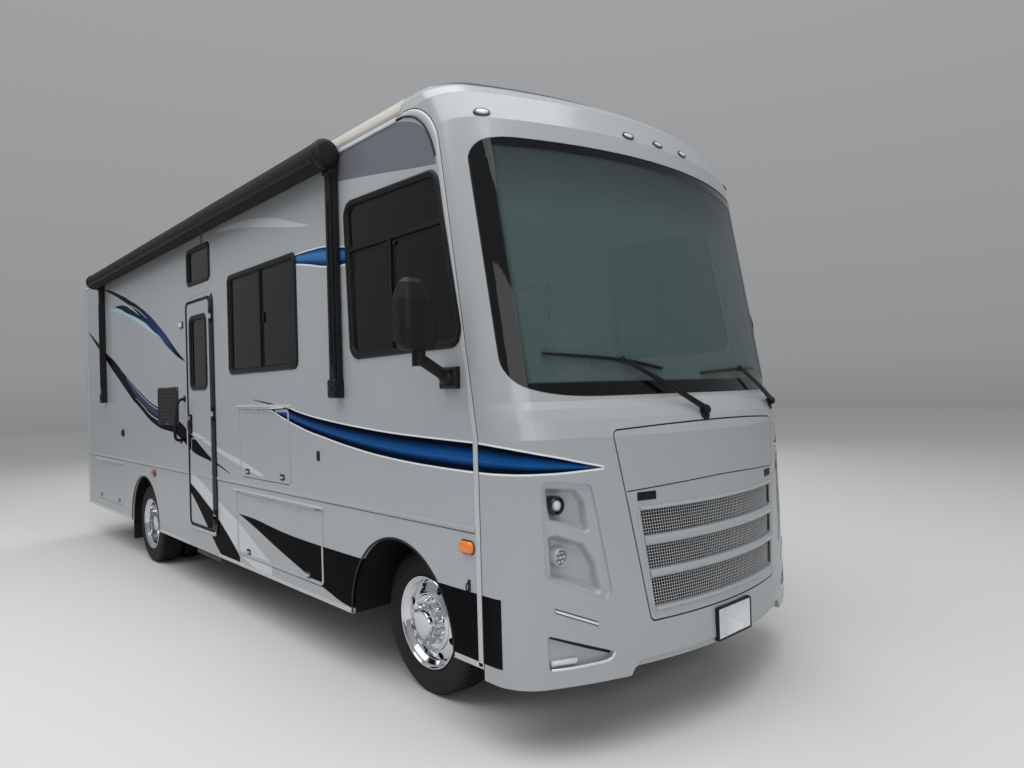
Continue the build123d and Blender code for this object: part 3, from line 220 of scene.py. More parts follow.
graphics = [
    {"name": "fieldOverCabWindow", "color": paint["field"],
     "top": [(-0.62, 3.175), (0.03, 3.18), (0.15, 3.165), (0.27, 3.13), (0.36, 3.075), (0.42, 3.0), (0.455, 2.92),
             (0.465, 2.86)],
     "low": [(-0.62, 3.02), (-0.3, 2.975), (0.0, 2.93), (0.25, 2.89), (0.42, 2.865), (0.465, 2.858)]},
    {"name": "paleWedge", "color": paint["pale"],
     "top": [(-2.6, 3.085), (-2.2, 3.07), (-1.9, 3.045), (-1.5, 2.975), (-1.2, 2.895), (-0.95, 2.82)],
     "low": [(-2.6, 3.075), (-2.2, 3.03), (-1.9, 2.985), (-1.5, 2.91), (-1.2, 2.855), (-0.95, 2.815)]},
    {"name": "paleLine", "color": paint["pale"],
     "top": [(-3.35, 1.43), (-3.0, 1.375), (-2.6, 1.29), (-2.2, 1.225), (-1.9, 1.165), (-1.65, 1.107)],
     "low": [(-3.35, 1.405), (-3.0, 1.335), (-2.6, 1.25), (-2.2, 1.18), (-1.9, 1.13), (-1.65, 1.1)]},
    {"name": "paleDiagonal", "color": paint["pale"], "top": diagonalTop, "low": diagonalLow},
    {"name": "blackDiagonal", "color": paint["black"],
     "top": [(x, z - 0.01) for x, z in diagonalLow[:6]] + [(-2.25, 0.46)],
     "low": [(-3.42, 0.9), (-3.2, 0.77), (-3.0, 0.635), (-2.85, 0.535), (-2.72, 0.45), (-2.6, 0.4), (-2.25, 0.38)]},
    {"name": "lowBand", "color": paint["black"],
     "top": [(-2.25, 0.8), (-2.0, 0.795), (-1.7, 0.775), (-1.4, 0.755), (-1.1, 0.745), (-0.85, 0.742), (0.87, 0.742)],
     "low": [(-2.25, 0.797), (-2.0, 0.742), (-1.5, 0.617), (-1.0, 0.505), (-0.8, 0.465), (-0.6, 0.43), (-0.4, 0.42),
             (0.87, 0.42)]},
    {"name": "paleStrand", "color": rgb(176, 205, 222),
     "top": [(-6.1, 2.79), (-5.8, 2.775), (-5.6, 2.745), (-5.4, 2.7), (-5.2, 2.65), (-5.0, 2.6), (-4.8, 2.54),
             (-4.5, 2.445), (-4.25, 2.36)],
     "low": [(-6.1, 2.78), (-5.8, 2.74), (-5.6, 2.7), (-5.4, 2.66), (-5.2, 2.61), (-5.0, 2.555), (-4.8, 2.5),
             (-4.5, 2.41), (-4.25, 2.345)]},
    {"name": "tealStrand", "color": rgb(26, 62, 84),
     "top": [(-5.85, 2.805), (-5.6, 2.795), (-5.4, 2.765), (-5.2, 2.71), (-5.0, 2.65), (-4.8, 2.58), (-4.6, 2.51)],
     "low": [(-5.85, 2.795), (-5.6, 2.745), (-5.4, 2.69), (-5.2, 2.645), (-5.0, 2.6), (-4.8, 2.55), (-4.6, 2.495)]},
    {"name": "upperSwoosh", "top": upperTop, "low": upperLow,
     "along": [(0.0, rgb(30, 33, 40)), (0.4, rgb(34, 38, 48)), (0.56, rgb(16, 70, 118)), (0.68, rgb(20, 78, 132)),
               (0.8, rgb(48, 84, 144)), (0.88, rgb(26, 74, 112)), (1.0, rgb(24, 26, 34))]},
    {"name": "upperLine", "color": rgb(172, 184, 200),
     "top": [(-5.35, 2.775), (-5.0, 2.7), (-4.8, 2.632), (-4.6, 2.55)],
     "low": [(-5.35, 2.768), (-5.0, 2.69), (-4.8, 2.622), (-4.6, 2.545)]},
    {"name": "lowerSwoosh", "top": lowerTop, "low": lowerLow,
     "along": [(0.0, rgb(30, 33, 38)), (0.45, rgb(27, 31, 38)), (0.62, rgb(40, 42, 56)), (0.8, rgb(28, 30, 60)),
               (0.93, rgb(26, 28, 66)), (1.0, rgb(24, 26, 34))]},
    {"name": "innerViolet", "color": rgb(78, 82, 124),
     "top": [(-5.5, 1.985), (-5.3, 1.905), (-5.0, 1.79), (-4.8, 1.722), (-4.6, 1.665), (-4.25, 1.6)],
     "low": [(-5.5, 1.98), (-5.3, 1.865), (-5.0, 1.73), (-4.8, 1.665), (-4.6, 1.6), (-4.25, 1.53)]},
    {"name": "innerLineUpper", "color": rgb(176, 184, 198),
     "top": [(-5.42, 1.965), (-5.2, 1.882), (-5.0, 1.808), (-4.8, 1.741), (-4.6, 1.682), (-4.3, 1.62)],
     "low": [(-5.42, 1.958), (-5.2, 1.872), (-5.0, 1.797), (-4.8, 1.73), (-4.6, 1.671), (-4.3, 1.61)]},
    {"name": "innerLineLower", "color": rgb(150, 156, 174),
     "top": [(-5.1, 1.745), (-4.8, 1.65), (-4.6, 1.58), (-4.25, 1.51)],
     "low": [(-5.1, 1.74), (-4.8, 1.635), (-4.6, 1.563), (-4.25, 1.492)]},
    {"name": "shortBlueEdge", "color": paint["white"],
     "top": [(-1.16, 2.662), (-0.95, 2.659), (-0.75, 2.649), (-0.55, 2.617), (-0.41, 2.587)],
     "low": [(-1.16, 2.59), (-0.95, 2.555), (-0.75, 2.515), (-0.55, 2.49), (-0.41, 2.49)]},
    {"name": "shortBlue",
     "top": [(-1.16, 2.655), (-0.95, 2.652), (-0.75, 2.642), (-0.55, 2.61), (-0.41, 2.58)],
     "low": [(-1.16, 2.6), (-0.95, 2.565), (-0.75, 2.525), (-0.55, 2.5), (-0.41, 2.5)],
     "across": [(0.0, rgb(16, 50, 96)), (0.4, rgb(44, 116, 180)), (0.7, rgb(52, 122, 184)), (1.0, rgb(20, 60, 110))]},
    {"name": "stripeEdge", "color": paint["white"],
     "top": [(x, z + 0.009) for x, z in stripeTop], "low": [(x, z - 0.009) for x, z in stripeLow]},
    {"name": "stripe", "top": stripeTop, "low": stripeLow,
     "across": [(0.0, rgb(8, 14, 32)), (0.16, navy), (0.38, brightBlue), (0.6, rgb(18, 84, 150)), (0.85, navy),
                (1.0, rgb(6, 10, 22))]},
    {"name": "stripeTail", "color": paint["black"],
     "top": [(-1.92, 1.692), (-1.7, 1.672), (-1.45, 1.648)], "low": [(-1.92, 1.689), (-1.7, 1.663), (-1.45, 1.64)]},
]


def lineHeight(tree, distance, points):
    # height of a line at a distance, from a curve node
    x0, x1 = points[0][0], points[-1][0]
    low = min(z for x, z in points)
    span = max(max(z for x, z in points) - low, 0.001)
    curve = tree.nodes.new("ShaderNodeFloatCurve")
    line = curve.mapping.curves[0]
    spots = [((x - x0) / (x1 - x0), (z - low) / span) for x, z in points]
    line.points[0].location = spots[0]
    line.points[1].location = spots[-1]
    for spot in spots[1:-1]:
        line.points.new(*spot)
    curve.mapping.update()
    place = calc(tree, "DIVIDE", calc(tree, "SUBTRACT", distance, x0), x1 - x0, clamp=True)
    tree.links.new(place, curve.inputs["Value"])
    return calc(tree, "MULTIPLY_ADD", curve.outputs[0], span, low), place


def ramp(tree, factor, stops):
    node = makeNode(tree, "ShaderNodeValToRGB", {0: factor})
    while len(node.color_ramp.elements) < len(stops):
        node.color_ramp.elements.new(0.5)
    for element, (place, color) in zip(node.color_ramp.elements, stops):
        element.position = place
        element.color = color
    return node.outputs[0]


def pastLine(tree, value, limit, width):
    # rises from 0 to 1 over a width as the value passes the limit; a negative width falls
    return calc(tree, "MULTIPLY_ADD", calc(tree, "SUBTRACT", value, limit), 1 / width, 0.5, clamp=True)


def makeGraphics():
    group, start, end = newGroup("bodyGraphics", [("Position", vec, (0, 0, 0)), ("Color", col, paint["body"])],
                                 [("Color", col)])
    split = makeNode(group, "ShaderNodeSeparateXYZ", {0: start.outputs["Position"]})
    across = calc(group, "ABSOLUTE", split.outputs["Y"])
    distance = calc(group, "ADD", calc(group, "SUBTRACT", split.outputs["X"], axleX),
                    calc(group, "SUBTRACT", halfWidth, across))
    height = split.outputs["Z"]
    # not on the middle of the vehicle or the rear cap's end
    outside = calc(group, "MULTIPLY", calc(group, "GREATER_THAN", across, 0.55),
                   calc(group, "GREATER_THAN", split.outputs["X"], -4.25))
    color = start.outputs["Color"]
    for band in graphics:
        top, place = lineHeight(group, distance, band["top"])
        low, place = lineHeight(group, distance, band["low"])
        over, under = pastLine(group, height, low, paint["edge"]), pastLine(group, top, height, paint["edge"])
        within = calc(group, "MULTIPLY", calc(group, "GREATER_THAN", distance, band["top"][0][0]),
                      calc(group, "LESS_THAN", distance, band["top"][-1][0]))
        mask = calc(group, "MULTIPLY", calc(group, "MULTIPLY", over, under), calc(group, "MULTIPLY", within, outside))
        if "along" in band:
            shade = ramp(group, place, band["along"])
        elif "across" in band:
            level = calc(group, "DIVIDE", calc(group, "SUBTRACT", height, low),
                         calc(group, "MAXIMUM", calc(group, "SUBTRACT", top, low), 0.001), clamp=True)
            shade = ramp(group, level, band["across"])
        else:
            shade = band["color"]
        color = mixColor(group, mask, color, shade)
    group.links.new(color, end.inputs["Color"])
    return group


graphicsGroup = makeGraphics()


def paintedBody(tree, position, color):
    group = makeNode(tree, "ShaderNodeGroup", {"Position": position, "Color": color}, node_tree=graphicsGroup)
    # faces that look into the room carry the plain lining
    spot = makeNode(tree, "ShaderNodeSeparateXYZ", {0: position}).outputs
    facing = makeNode(tree, "ShaderNodeSeparateXYZ",
                      {0: makeNode(tree, "ShaderNodeTexCoord").outputs["Normal"]}).outputs
    side = calc(tree, "LESS_THAN", calc(tree, "MULTIPLY", facing["Y"], calc(tree, "SIGN", spot["Y"])), -0.3)
    front = calc(tree, "MULTIPLY", calc(tree, "LESS_THAN", facing["X"], -0.3),
                 calc(tree, "GREATER_THAN", spot["X"], axleX + 0.5))
    rear = calc(tree, "MULTIPLY", calc(tree, "GREATER_THAN", facing["X"], 0.3),
                calc(tree, "LESS_THAN", spot["X"], -axleX))
    inside = calc(tree, "MAXIMUM", side, calc(tree, "MAXIMUM", front, rear))
    inside = calc(tree, "MULTIPLY", inside, calc(tree, "GREATER_THAN", spot["Z"], 1.02))
    return mixColor(tree, inside, group.outputs[0], rgb(188, 180, 168))


# Finishes
screenTint = {"low": 1.742, "high": 2.915, "soft": 0.012, "sideBorder": 0.075, "shadeFrom": 2.6}


def windshieldTint(tree, position, color):
    # dark printed border round the clear glass
    split = makeNode(tree, "ShaderNodeSeparateXYZ", {0: position})
    height = split.outputs["Z"]
    soft = screenTint["soft"]
    low, high = pastLine(tree, height, screenTint["low"], -soft), pastLine(tree, height, screenTint["high"], soft)
    # the opening's side edge leans back from its foot
    edge = calc(tree, "MULTIPLY_ADD", calc(tree, "SUBTRACT", height, screenFoot[1]), -screenLean,
                screenFoot[0] + screenTint["sideBorder"])
    side = pastLine(tree, split.outputs["X"], edge, -soft)
    border = calc(tree, "MAXIMUM", calc(tree, "MAXIMUM", low, high), side)
    # shade band that fades down from the top edge
    shade = calc(tree, "MULTIPLY_ADD", calc(tree, "SUBTRACT", height, screenTint["shadeFrom"]), 2.6, 0.0, clamp=True)
    shaded = mixColor(tree, calc(tree, "MULTIPLY", shade, 0.8), color, rgb(46, 48, 56))
    return mixColor(tree, border, shaded, rgb(12, 13, 14)), border


def glassMaterial(name, color, alpha, shade=None, dust=0.05):
    material = newMaterial(name, color, 0.03, dust=dust, tone=0.02, bump=0,
                           shade=(lambda *a: shade(*a)[0]) if shade else None)
    tree = material.node_tree
    shader = next(n for n in tree.nodes if n.type == "BSDF_PRINCIPLED")
    shader.inputs["IOR"].default_value = 1.38
    shader.inputs["Specular IOR Level"].default_value = 0.42
    shader.inputs["Coat Weight"].default_value = 0.1
    shader.inputs["Coat Roughness"].default_value = 0.02
    shader.inputs["Alpha"].default_value = alpha
    if shade:
        # the printed border hides what is behind it
        position = makeNode(tree, "ShaderNodeTexCoord").outputs["Object"]
        border = shade(tree, position, color)[1]
        tree.links.new(calc(tree, "MULTIPLY_ADD", border, 0.995 - alpha, alpha), shader.inputs["Alpha"])
    return material


mat = {
    "body": newMaterial("bodySilver", paint["body"], 0.24, metallic=0.12, dust=0.07, bump=0.015, grain=26.0,
                        shade=paintedBody, Coat_Weight=0.15, Coat_Roughness=0.06, Specular_IOR_Level=0.35),
    "roof": newMaterial("roofWhite", rgb(205, 203, 196), 0.5, dust=0.35, dustHeight=20.0, tone=0.14, bump=0.05),
    "blackPlastic": newMaterial("blackPlastic", rgb(17, 18, 20), 0.46, dust=0.08, grain=420.0, bump=0.12,
                                Specular_IOR_Level=0.25),
    "blackMetal": newMaterial("blackMetal", rgb(15, 16, 18), 0.4, dust=0.06, grain=160.0, bump=0.05,
                              Specular_IOR_Level=0.25),
    "chassis": newMaterial("chassisBlack", rgb(26, 26, 27), 0.55, dust=0.6, dustHeight=1.6, grain=120.0, bump=0.15),
    "castIron": newMaterial("castIron", rgb(92, 90, 86), 0.6, metallic=0.5, dust=0.5, dustHeight=1.6, grain=180.0,
                            bump=0.3),
    "exhaust": newMaterial("exhaustSteel", rgb(140, 132, 120), 0.42, metallic=0.9, dust=0.6, dustHeight=1.4, grain=90.0,
                           bump=0.1),
    "floor": newMaterial("floorGrey", rgb(96, 95, 93), 0.7, dust=0.4, grain=220.0, bump=0.2),
    "chrome": newMaterial("wheelChrome", rgb(222, 224, 228), 0.08, metallic=1.0, dust=0.08, dustHeight=1.2, bump=0.01),
    "aluminium": newMaterial("brightAluminium", rgb(196, 198, 201), 0.28, metallic=0.85, dust=0.15, grain=300.0,
                             bump=0.03),
    "rubber": newMaterial("tyreRubber", rgb(17, 17, 18), 0.7, dust=0.09, dustHeight=1.3, grain=260.0, bump=0.2,
                          Specular_IOR_Level=0.25),
    "gasket": newMaterial("gasketRubber", rgb(13, 14, 15), 0.5, dust=0.06, grain=200.0, bump=0.08,
                          Specular_IOR_Level=0.25),
    "mesh": newMaterial("meshSteel", rgb(210, 212, 214), 0.3, metallic=0.3, dust=0.05, dustHeight=2.0),
    # near-black radiator behind the grille: painted shade for the voids between the wires
    "darkVoid": newMaterial("radiatorPaintedShade", rgb(8, 8, 9), 0.9, dust=0.02, dustHeight=1.6, grain=60.0, bump=0.2,
                            Specular_IOR_Level=0.1),
    "dash": newMaterial("dashGrey", rgb(86, 84, 82), 0.6, dust=0.1, grain=500.0, bump=0.25),
    "leather": newMaterial("seatLeather", rgb(150, 143, 134), 0.48, dust=0.05, grain=380.0, bump=0.3,
                           Sheen_Weight=0.15),
    "amber": newMaterial("amberLens", rgb(238, 122, 12), 0.12, dust=0.1, bump=0, Coat_Weight=0.8),
    "red": newMaterial("redLens", rgb(150, 12, 14), 0.14, dust=0.1, bump=0, Coat_Weight=0.8),
    "trim": newMaterial("paleTrim", rgb(205, 207, 212), 0.34, dust=0.2, bump=0.03),
    "edge": newMaterial("roofEdge", rgb(186, 182, 174), 0.42, dust=0.3, dustHeight=8.0, grain=140.0, bump=0.04),
    "plate": newMaterial("blankPlate", rgb(226, 231, 236), 0.35, dust=0.2, bump=0.02),
    "fabric": newMaterial("awningFabric", rgb(20, 21, 23), 0.85, dust=0.12, dustHeight=8.0, grain=700.0, bump=0.35,
                          Specular_IOR_Level=0.25),
    "windshield": glassMaterial("windshieldGlass", rgb(94, 114, 115), 0.4, shade=windshieldTint),
    "smoked": glassMaterial("smokedGlass", rgb(9, 10, 12), 0.9),
    "clear": glassMaterial("lampClear", rgb(210, 216, 220), 0.25),
    "bar": newMaterial("moulding", paint["body"], 0.24, metallic=0.12, dust=0.07, bump=0.015, grain=26.0,
                       Coat_Weight=0.25, Coat_Roughness=0.06, Specular_IOR_Level=0.3),
    "gloss": newMaterial("glossBlack", rgb(9, 10, 12), 0.14, dust=0.05, bump=0.01, Coat_Weight=0.5,
                         Coat_Roughness=0.05),
    "lens": newMaterial("lampLens", rgb(206, 212, 218), 0.06, dust=0.06, bump=0, Coat_Weight=1.0, Coat_Roughness=0.02),
    "mirror": newMaterial("mirrorSilver", rgb(214, 217, 221), 0.03, metallic=1.0, dust=0.05, bump=0),
    "stripBright": newMaterial("seamStripPale", rgb(188, 191, 194), 0.3, metallic=0.15, dust=0.12, bump=0.02,
                               Coat_Weight=0.4, Coat_Roughness=0.08),
    "liner": newMaterial("wheelLiner", rgb(12, 12, 13), 0.9, dust=0.12, dustHeight=1.2, grain=90.0, bump=0.3,
                         Specular_IOR_Level=0.15),
    "shroud": newMaterial("shroudWhite", rgb(214, 213, 208), 0.45, dust=0.4, dustHeight=20.0, tone=0.12, grain=240.0,
                          bump=0.06),
    "smokeLid": newMaterial("ventLidSmoke", rgb(52, 51, 50), 0.25, dust=0.4, dustHeight=20.0, bump=0.03,
                            Coat_Weight=0.4),
    "sealant": newMaterial("lapSealant", rgb(190, 188, 180), 0.6, dust=0.5, dustHeight=20.0, grain=90.0, bump=0.25),
    "bright": newMaterial("brightTrim", rgb(224, 226, 229), 0.16, metallic=0.6, dust=0.08, bump=0.01),
}
print("finishes made,", len(mat))

nodeFinish = {
    "body": ["right_wall", "left_wall", "skirts", "rear_cap", "front_cap", "hood", "entry_door", "right_upper_bay_door",
             "right_lower_bay_door", "right_rear_bay_door", "left_lower_bay_door", "left_rear_bay_door"],
    "roof": ["roof", "roof_units"],
    "chassis": ["chassis_frame", "front_axle", "rear_axle", "right_knuckle", "left_knuckle", "underfloor_tanks",
                "entry_step"],
    "castIron": ["engine_block"],
    "exhaust": ["exhaust"],
    "floor": ["floor"],
    "chrome": ["right_front_rim", "left_front_rim", "right_rear_rims", "left_rear_rims"],
    "rubber": ["right_front_tyre", "left_front_tyre", "right_rear_tyres", "left_rear_tyres"],
    "blackMetal": ["window_and_door_frames", "wipers"],
    "blackPlastic": ["mirrors", "awning", "steering_wheel"],
    "windshield": ["windshield"],
    "smoked": ["window_glass", "entry_door_glass"],
    "mesh": ["grille_mesh"],
    "clear": ["headlights"],
    "amber": ["running_lights"],
    "dash": ["dashboard"],
    "leather": ["seats"],
}
for finish, names in nodeFinish.items():
    for name in names:
        data = nodes[name].data
        data.materials.clear()
        data.materials.append(mat[finish])


# Camera, light and floor
view = {"place": (6.4436, -3.3721, 1.7122), "yaw": 137.914, "pitch": 0.441, "roll": -1.641, "focal": 711.507,
        "width": 1024}


def placeCamera():
    yaw, pitch, roll = (radians(view[k]) for k in ("yaw", "pitch", "roll"))
    ahead = Vector((cos(pitch) * cos(yaw), cos(pitch) * sin(yaw), sin(pitch)))
    right = Vector((sin(yaw), -cos(yaw), 0))
    up = right.cross(ahead)
    sideways = cos(roll) * right + sin(roll) * up
    upwards = -sin(roll) * right + cos(roll) * up
    data = bpy.data.cameras.new("photoCamera")
    data.sensor_width = 36
    data.lens = view["focal"] / view["width"] * 36
    data.clip_end = 200
    camera = intoScene(bpy.data.objects.new("photoCamera", data))
    turn = Matrix((sideways, upwards, -ahead)).transposed()
    camera.matrix_world = Matrix.Translation(view["place"]) @ turn.to_4x4()
    bpy.context.scene.camera = camera


studio = {"sky": 0.46, "key": 950, "fill": 150, "back": 420, "floor": rgb(214, 214, 212)}


def addLamp(name, place, aim, size, power):
    data = bpy.data.lights.new(name, "AREA")
    data.shape = "RECTANGLE"
    data.size, data.size_y = size
    data.energy = power
    lamp = intoScene(bpy.data.objects.new(name, data))
    lamp.location = place
    lamp.rotation_euler = (Vector(aim) - Vector(place)).to_track_quat("-Z", "Y").to_euler()


def makeStudio():
    scene = bpy.context.scene
    scene.view_settings.view_transform = "Standard"
    world = bpy.data.worlds.new("softSky")
    scene.world = world
    world.use_nodes = True
    tree = world.node_tree
    background = next(n for n in tree.nodes if n.type == "BACKGROUND")
    direction = makeNode(tree, "ShaderNodeTexCoord").outputs["Generated"]
    rise = makeNode(tree, "ShaderNodeSeparateXYZ", {0: direction}).outputs["Z"]
    level = calc(tree, "MULTIPLY_ADD", rise, 0.5, 0.5)
    sky = ramp(tree, level, [(0.4, rgb(150, 150, 149)), (0.52, rgb(206, 208, 211)), (0.75, rgb(228, 230, 233)),
                             (1.0, rgb(240, 241, 243))])
    tree.links.new(sky, background.inputs["Color"])
    background.inputs["Strength"].default_value = studio["sky"]
    addLamp("overheadLamp", (2.5, -3.0, 9.0), (0.5, 0, 1.5), (14, 9), studio["key"])
    addLamp("rearLamp", (-9.0, 8.0, 6.5), (-0.5, 0, 1.5), (9, 5), studio["back"])
    addLamp("frontLamp", (12.0, -5.0, 4.5), (3.5, 0, 1.5), (6, 4), studio["fill"])
    mesh = bpy.data.meshes.new("studioFloor")
    mesh.from_pydata([(-40, -40, 0), (40, -40, 0), (40, 40, 0), (-40, 40, 0)], [], [(0, 1, 2, 3)])
    floor = intoScene(bpy.data.objects.new("studioFloor", mesh))
    ground = bpy.data.materials.new("studioFloor")
    ground.use_nodes = True
    shader = next(n for n in ground.node_tree.nodes if n.type == "BSDF_PRINCIPLED")
    shader.inputs["Base Color"].default_value = studio["floor"]
    shader.inputs["Roughness"].default_value = 0.8
    mesh.materials.append(ground)


placeCamera()
makeStudio()
print("camera and studio placed")


# Helpers for meshes
def mm(*rows):
    # rows of sizes in millimetres, made metres
    return [tuple(n / 1000 for n in row) for row in rows]


def evaluated(item):
    # the mesh that an object's modifiers give
    return bpy.data.meshes.new_from_object(item.evaluated_get(bpy.context.evaluated_depsgraph_get()))


def addPiece(name, bm, finish, body="vehicle", smooth=32, turnOut=True, replaces=()):
    if turnOut:
        bmesh.ops.recalc_face_normals(bm, faces=bm.faces)
    mesh = bpy.data.meshes.new(name)
    bm.to_mesh(mesh)
    bm.free()
    for key in ([finish] if isinstance(finish, str) else finish):
        mesh.materials.append(mat[key])
    if smooth:
        mesh.polygons.foreach_set("use_smooth", [True] * len(mesh.polygons))
        mesh.set_sharp_from_angle(angle=radians(smooth))
    piece = intoScene(bpy.data.objects.new(name, mesh))
    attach(piece, body)
    if replaces:
        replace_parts(piece, *replaces)
    return piece


def skin(bm, rings, finish=0, closed=False):
    # faces between rings of as many points; both ends are capped, or the last ring joins the first
    made = [[bm.verts.new(p) for p in ring] for ring in rings]
    for a, b in zip(made, made[1:] + (made[:1] if closed else [])):
        for i in range(len(a)):
            j = (i + 1) % len(a)
            bm.faces.new((a[i], a[j], b[j], b[i])).material_index = finish
    if not closed:
        bm.faces.new(made[0][::-1]).material_index = finish
        bm.faces.new(made[-1]).material_index = finish


def roundedRect(x0, x1, z0, z1, radius, steps=6):
    points = []
    middleX, middleZ, halfX, halfZ = (x0 + x1) / 2, (z0 + z1) / 2, (x1 - x0) / 2 - radius, (z1 - z0) / 2 - radius
    for i, (sx, sz) in enumerate(((1, 1), (-1, 1), (-1, -1), (1, -1))):
        for k in range(steps + 1):
            angle = radians(90 * i + 90 * k / steps)
            points.append((middleX + sx * halfX + radius * cos(angle), middleZ + sz * halfZ + radius * sin(angle)))
    return points


def padAbout(x, z, halfX, halfZ, radius, steps=6):
    return roundedRect(x - halfX, x + halfX, z - halfZ, z + halfZ, radius, steps)


def ring(radius, steps, other=None):
    # points of a circle, or of an oval with another radius
    return [(radius * cos(tau * i / steps), (other or radius) * sin(tau * i / steps)) for i in range(steps)]


def roundCorners(corners, radius, steps=6):
    # a polygon with each corner rounded
    points = []
    count = len(corners)
    for i in range(count):
        before, here, after = (Vector(corners[(i + k) % count]) for k in (-1, 0, 1))
        inward, outward = (before - here).normalized(), (after - here).normalized()
        half = inward.angle(outward) / 2
        cut = radius / tan(half)
        middle = here + (inward + outward).normalized() * (radius / sin(half))
        first, last = here + inward * cut - middle, here + outward * cut - middle
        for k in range(steps + 1):
            share = k / steps
            spoke = first.slerp(last, share, first) if first.length > 1e-9 else first
            points.append(tuple(middle + spoke.normalized() * radius))
    return points


def inset(outline, distance):
    # outline moved inwards, for an outline that runs either way
    count = len(outline)
    area = sum(outline[i][0] * outline[(i + 1) % count][1] - outline[(i + 1) % count][0] * outline[i][1]
               for i in range(count))
    sign = 1 if area > 0 else -1
    moved = []
    for i in range(count):
        before, here, after = (Vector(outline[(i + k) % count]) for k in (-1, 0, 1))
        a, b = (here - before).normalized(), (after - here).normalized()
        normal = Vector((-a.y - b.y, a.x + b.x)) * sign
        if normal.length < 1e-9:
            normal = Vector((-a.y, a.x)) * sign
        normal.normalize()
        lean = max(0.4, normal.dot(Vector((-a.y, a.x)) * sign))
        moved.append(tuple(here + normal * (distance / lean)))
    return moved


def onSide(side):
    # u along the vehicle, v up, w out from the side wall
    return lambda u, v, w: (u, side * (halfWidth + w), v)


def shell(bm, outline, rows, place, finish=0):
    # solid through an outline's insets: each row is a distance inwards and a height
    skin(bm, [[place(u, v, w) for u, v in inset(outline, d)] for d, w in rows], finish=finish)


def plate(bm, outline, place, depth, bevel=0.002, start=0.0, finish=0):
    # raised plate with a bevelled edge
    skin(bm, [[place(u, v, start) for u, v in outline], [place(u, v, start + depth - bevel) for u, v in outline],
              [place(u, v, start + depth) for u, v in inset(outline, bevel)]], finish=finish)


def trimRing(bm, outline, profile, place, finish=0):
    # closed frame: each profile point is a distance inwards and a height
    skin(bm, [[place(u, v, height) for u, v in inset(outline, inwards)] for inwards, height in profile], finish, True)


def sweep(bm, path, profile, up=(0, 0, 1), scales=None):
    # profile points are (across, up) from the path
    path = [Vector(p) for p in path]
    up = Vector(up)
    rings = []
    for i, here in enumerate(path):
        along = (path[min(i + 1, len(path) - 1)] - path[max(i - 1, 0)]).normalized()
        across = along.cross(up).normalized()
        rise = across.cross(along)
        scale = scales[i] if scales else 1.0
        rings.append([here + across * a * scale + rise * b * scale for a, b in profile])
    skin(bm, rings)


def tube(bm, path, radius, steps, up):
    sweep(bm, path, ring(radius, steps), up)


def turned(bm, profile, center, axis, steps=48, finish=0):
    # profile points are (radius, along the axis); a radius of 0 closes a pole, and without one the profile is a ring
    axis = Vector(axis).normalized()
    side = axis.orthogonal().normalized()
    other = axis.cross(side)
    center = Vector(center)
    columns = []
    for k in range(steps):
        angle = tau * k / steps
        spoke = side * cos(angle) + other * sin(angle)
        columns.append([None if r < 1e-6 else bm.verts.new(center + spoke * r + axis * w) for r, w in profile])
    poles = {i: bm.verts.new(center + axis * w) for i, (r, w) in enumerate(profile) if r < 1e-6}
    count = len(profile)
    for k in range(steps):
        a, b = columns[k], columns[(k + 1) % steps]
        for i in range(count - 1 if poles else count):
            j = (i + 1) % count
            corners = [a[i] or poles[i], b[i] or poles[i], b[j] or poles[j], a[j] or poles[j]]
            corners = [v for n, v in enumerate(corners) if v not in corners[:n]]
            if len(corners) > 2:
                bm.faces.new(corners).material_index = finish


def screwHead(bm, place, radius=0.005, height=0.0025, finish=0):
    # low round head, place maps (u, v, w)
    rings = [ring(radius, 10), ring(radius * 0.85, 10), ring(radius * 0.35, 10)]
    skin(bm, [[place(u, v, w) for u, v in points] for points, w in zip(rings, (0, height * 0.7, height))],
         finish=finish)


sides = ((-1, "Right"), (1, "Left"))


def bothSides(build):
    for side, end in sides:
        build(side, end)


def frontSurface():
    spots, faces = [], []
    for name in ("front_cap", "hood", "windshield"):
        data, base = nodes[name].data, len(spots)
        spots += [v.co.copy() for v in data.vertices]
        faces += [[base + i for i in p.vertices] for p in data.polygons]
    return BVHTree.FromPolygons(spots, faces)


frontTree = frontSurface()


def frontSpot(y, z):
    # point on the front of the cap, seen from ahead, and its normal
    hit, normal, index, distance = frontTree.ray_cast(Vector((6, y, z)), Vector((-1, 0, 0)))
    return hit, -normal if normal.x < 0 else normal


def onFront(y, z):
    # u to the driver's left, v up and w out from the cap about a point on it
    spot, normal = frontSpot(y, z)
    across = Vector((0, 0, 1)).cross(normal).normalized()
    rise = normal.cross(across)
    return lambda u, v, w: spot + across * u + rise * v + normal * w


# Repeats by geometry nodes
def carryNodes(name, mesh, finish, values, build):
    # an object with a tree of its own: values gives each input's name, kind and value, build makes the geometry
    carrier = intoScene(bpy.data.objects.new(name, mesh))
    group = bpy.data.node_groups.new(name, "GeometryNodeTree")
    rows = [("Geometry", "INPUT", "Geometry")] + [(v[0], "INPUT", v[1]) for v in values]
    for label, way, kind in rows + [("Geometry", "OUTPUT", "Geometry")]:
        group.interface.new_socket(name=label, in_out=way, socket_type="NodeSocket" + kind)
    start, end = group.nodes.new("NodeGroupInput"), group.nodes.new("NodeGroupOutput")
    real = makeNode(group, "GeometryNodeRealizeInstances", {"Geometry": build(group, start.outputs)})
    painted = makeNode(group, "GeometryNodeSetMaterial", {"Geometry": real.outputs[0], "Material": mat[finish]})
    group.links.new(painted.outputs[0], end.inputs[0])
    modifier = carrier.modifiers.new(name, "NODES")
    modifier.node_group = group
    sockets = {item.name: item.identifier for item in group.interface.items_tree if item.in_out == "INPUT"}
    for label, kind, value in values:
        modifier[sockets[label]] = value
    return carrier


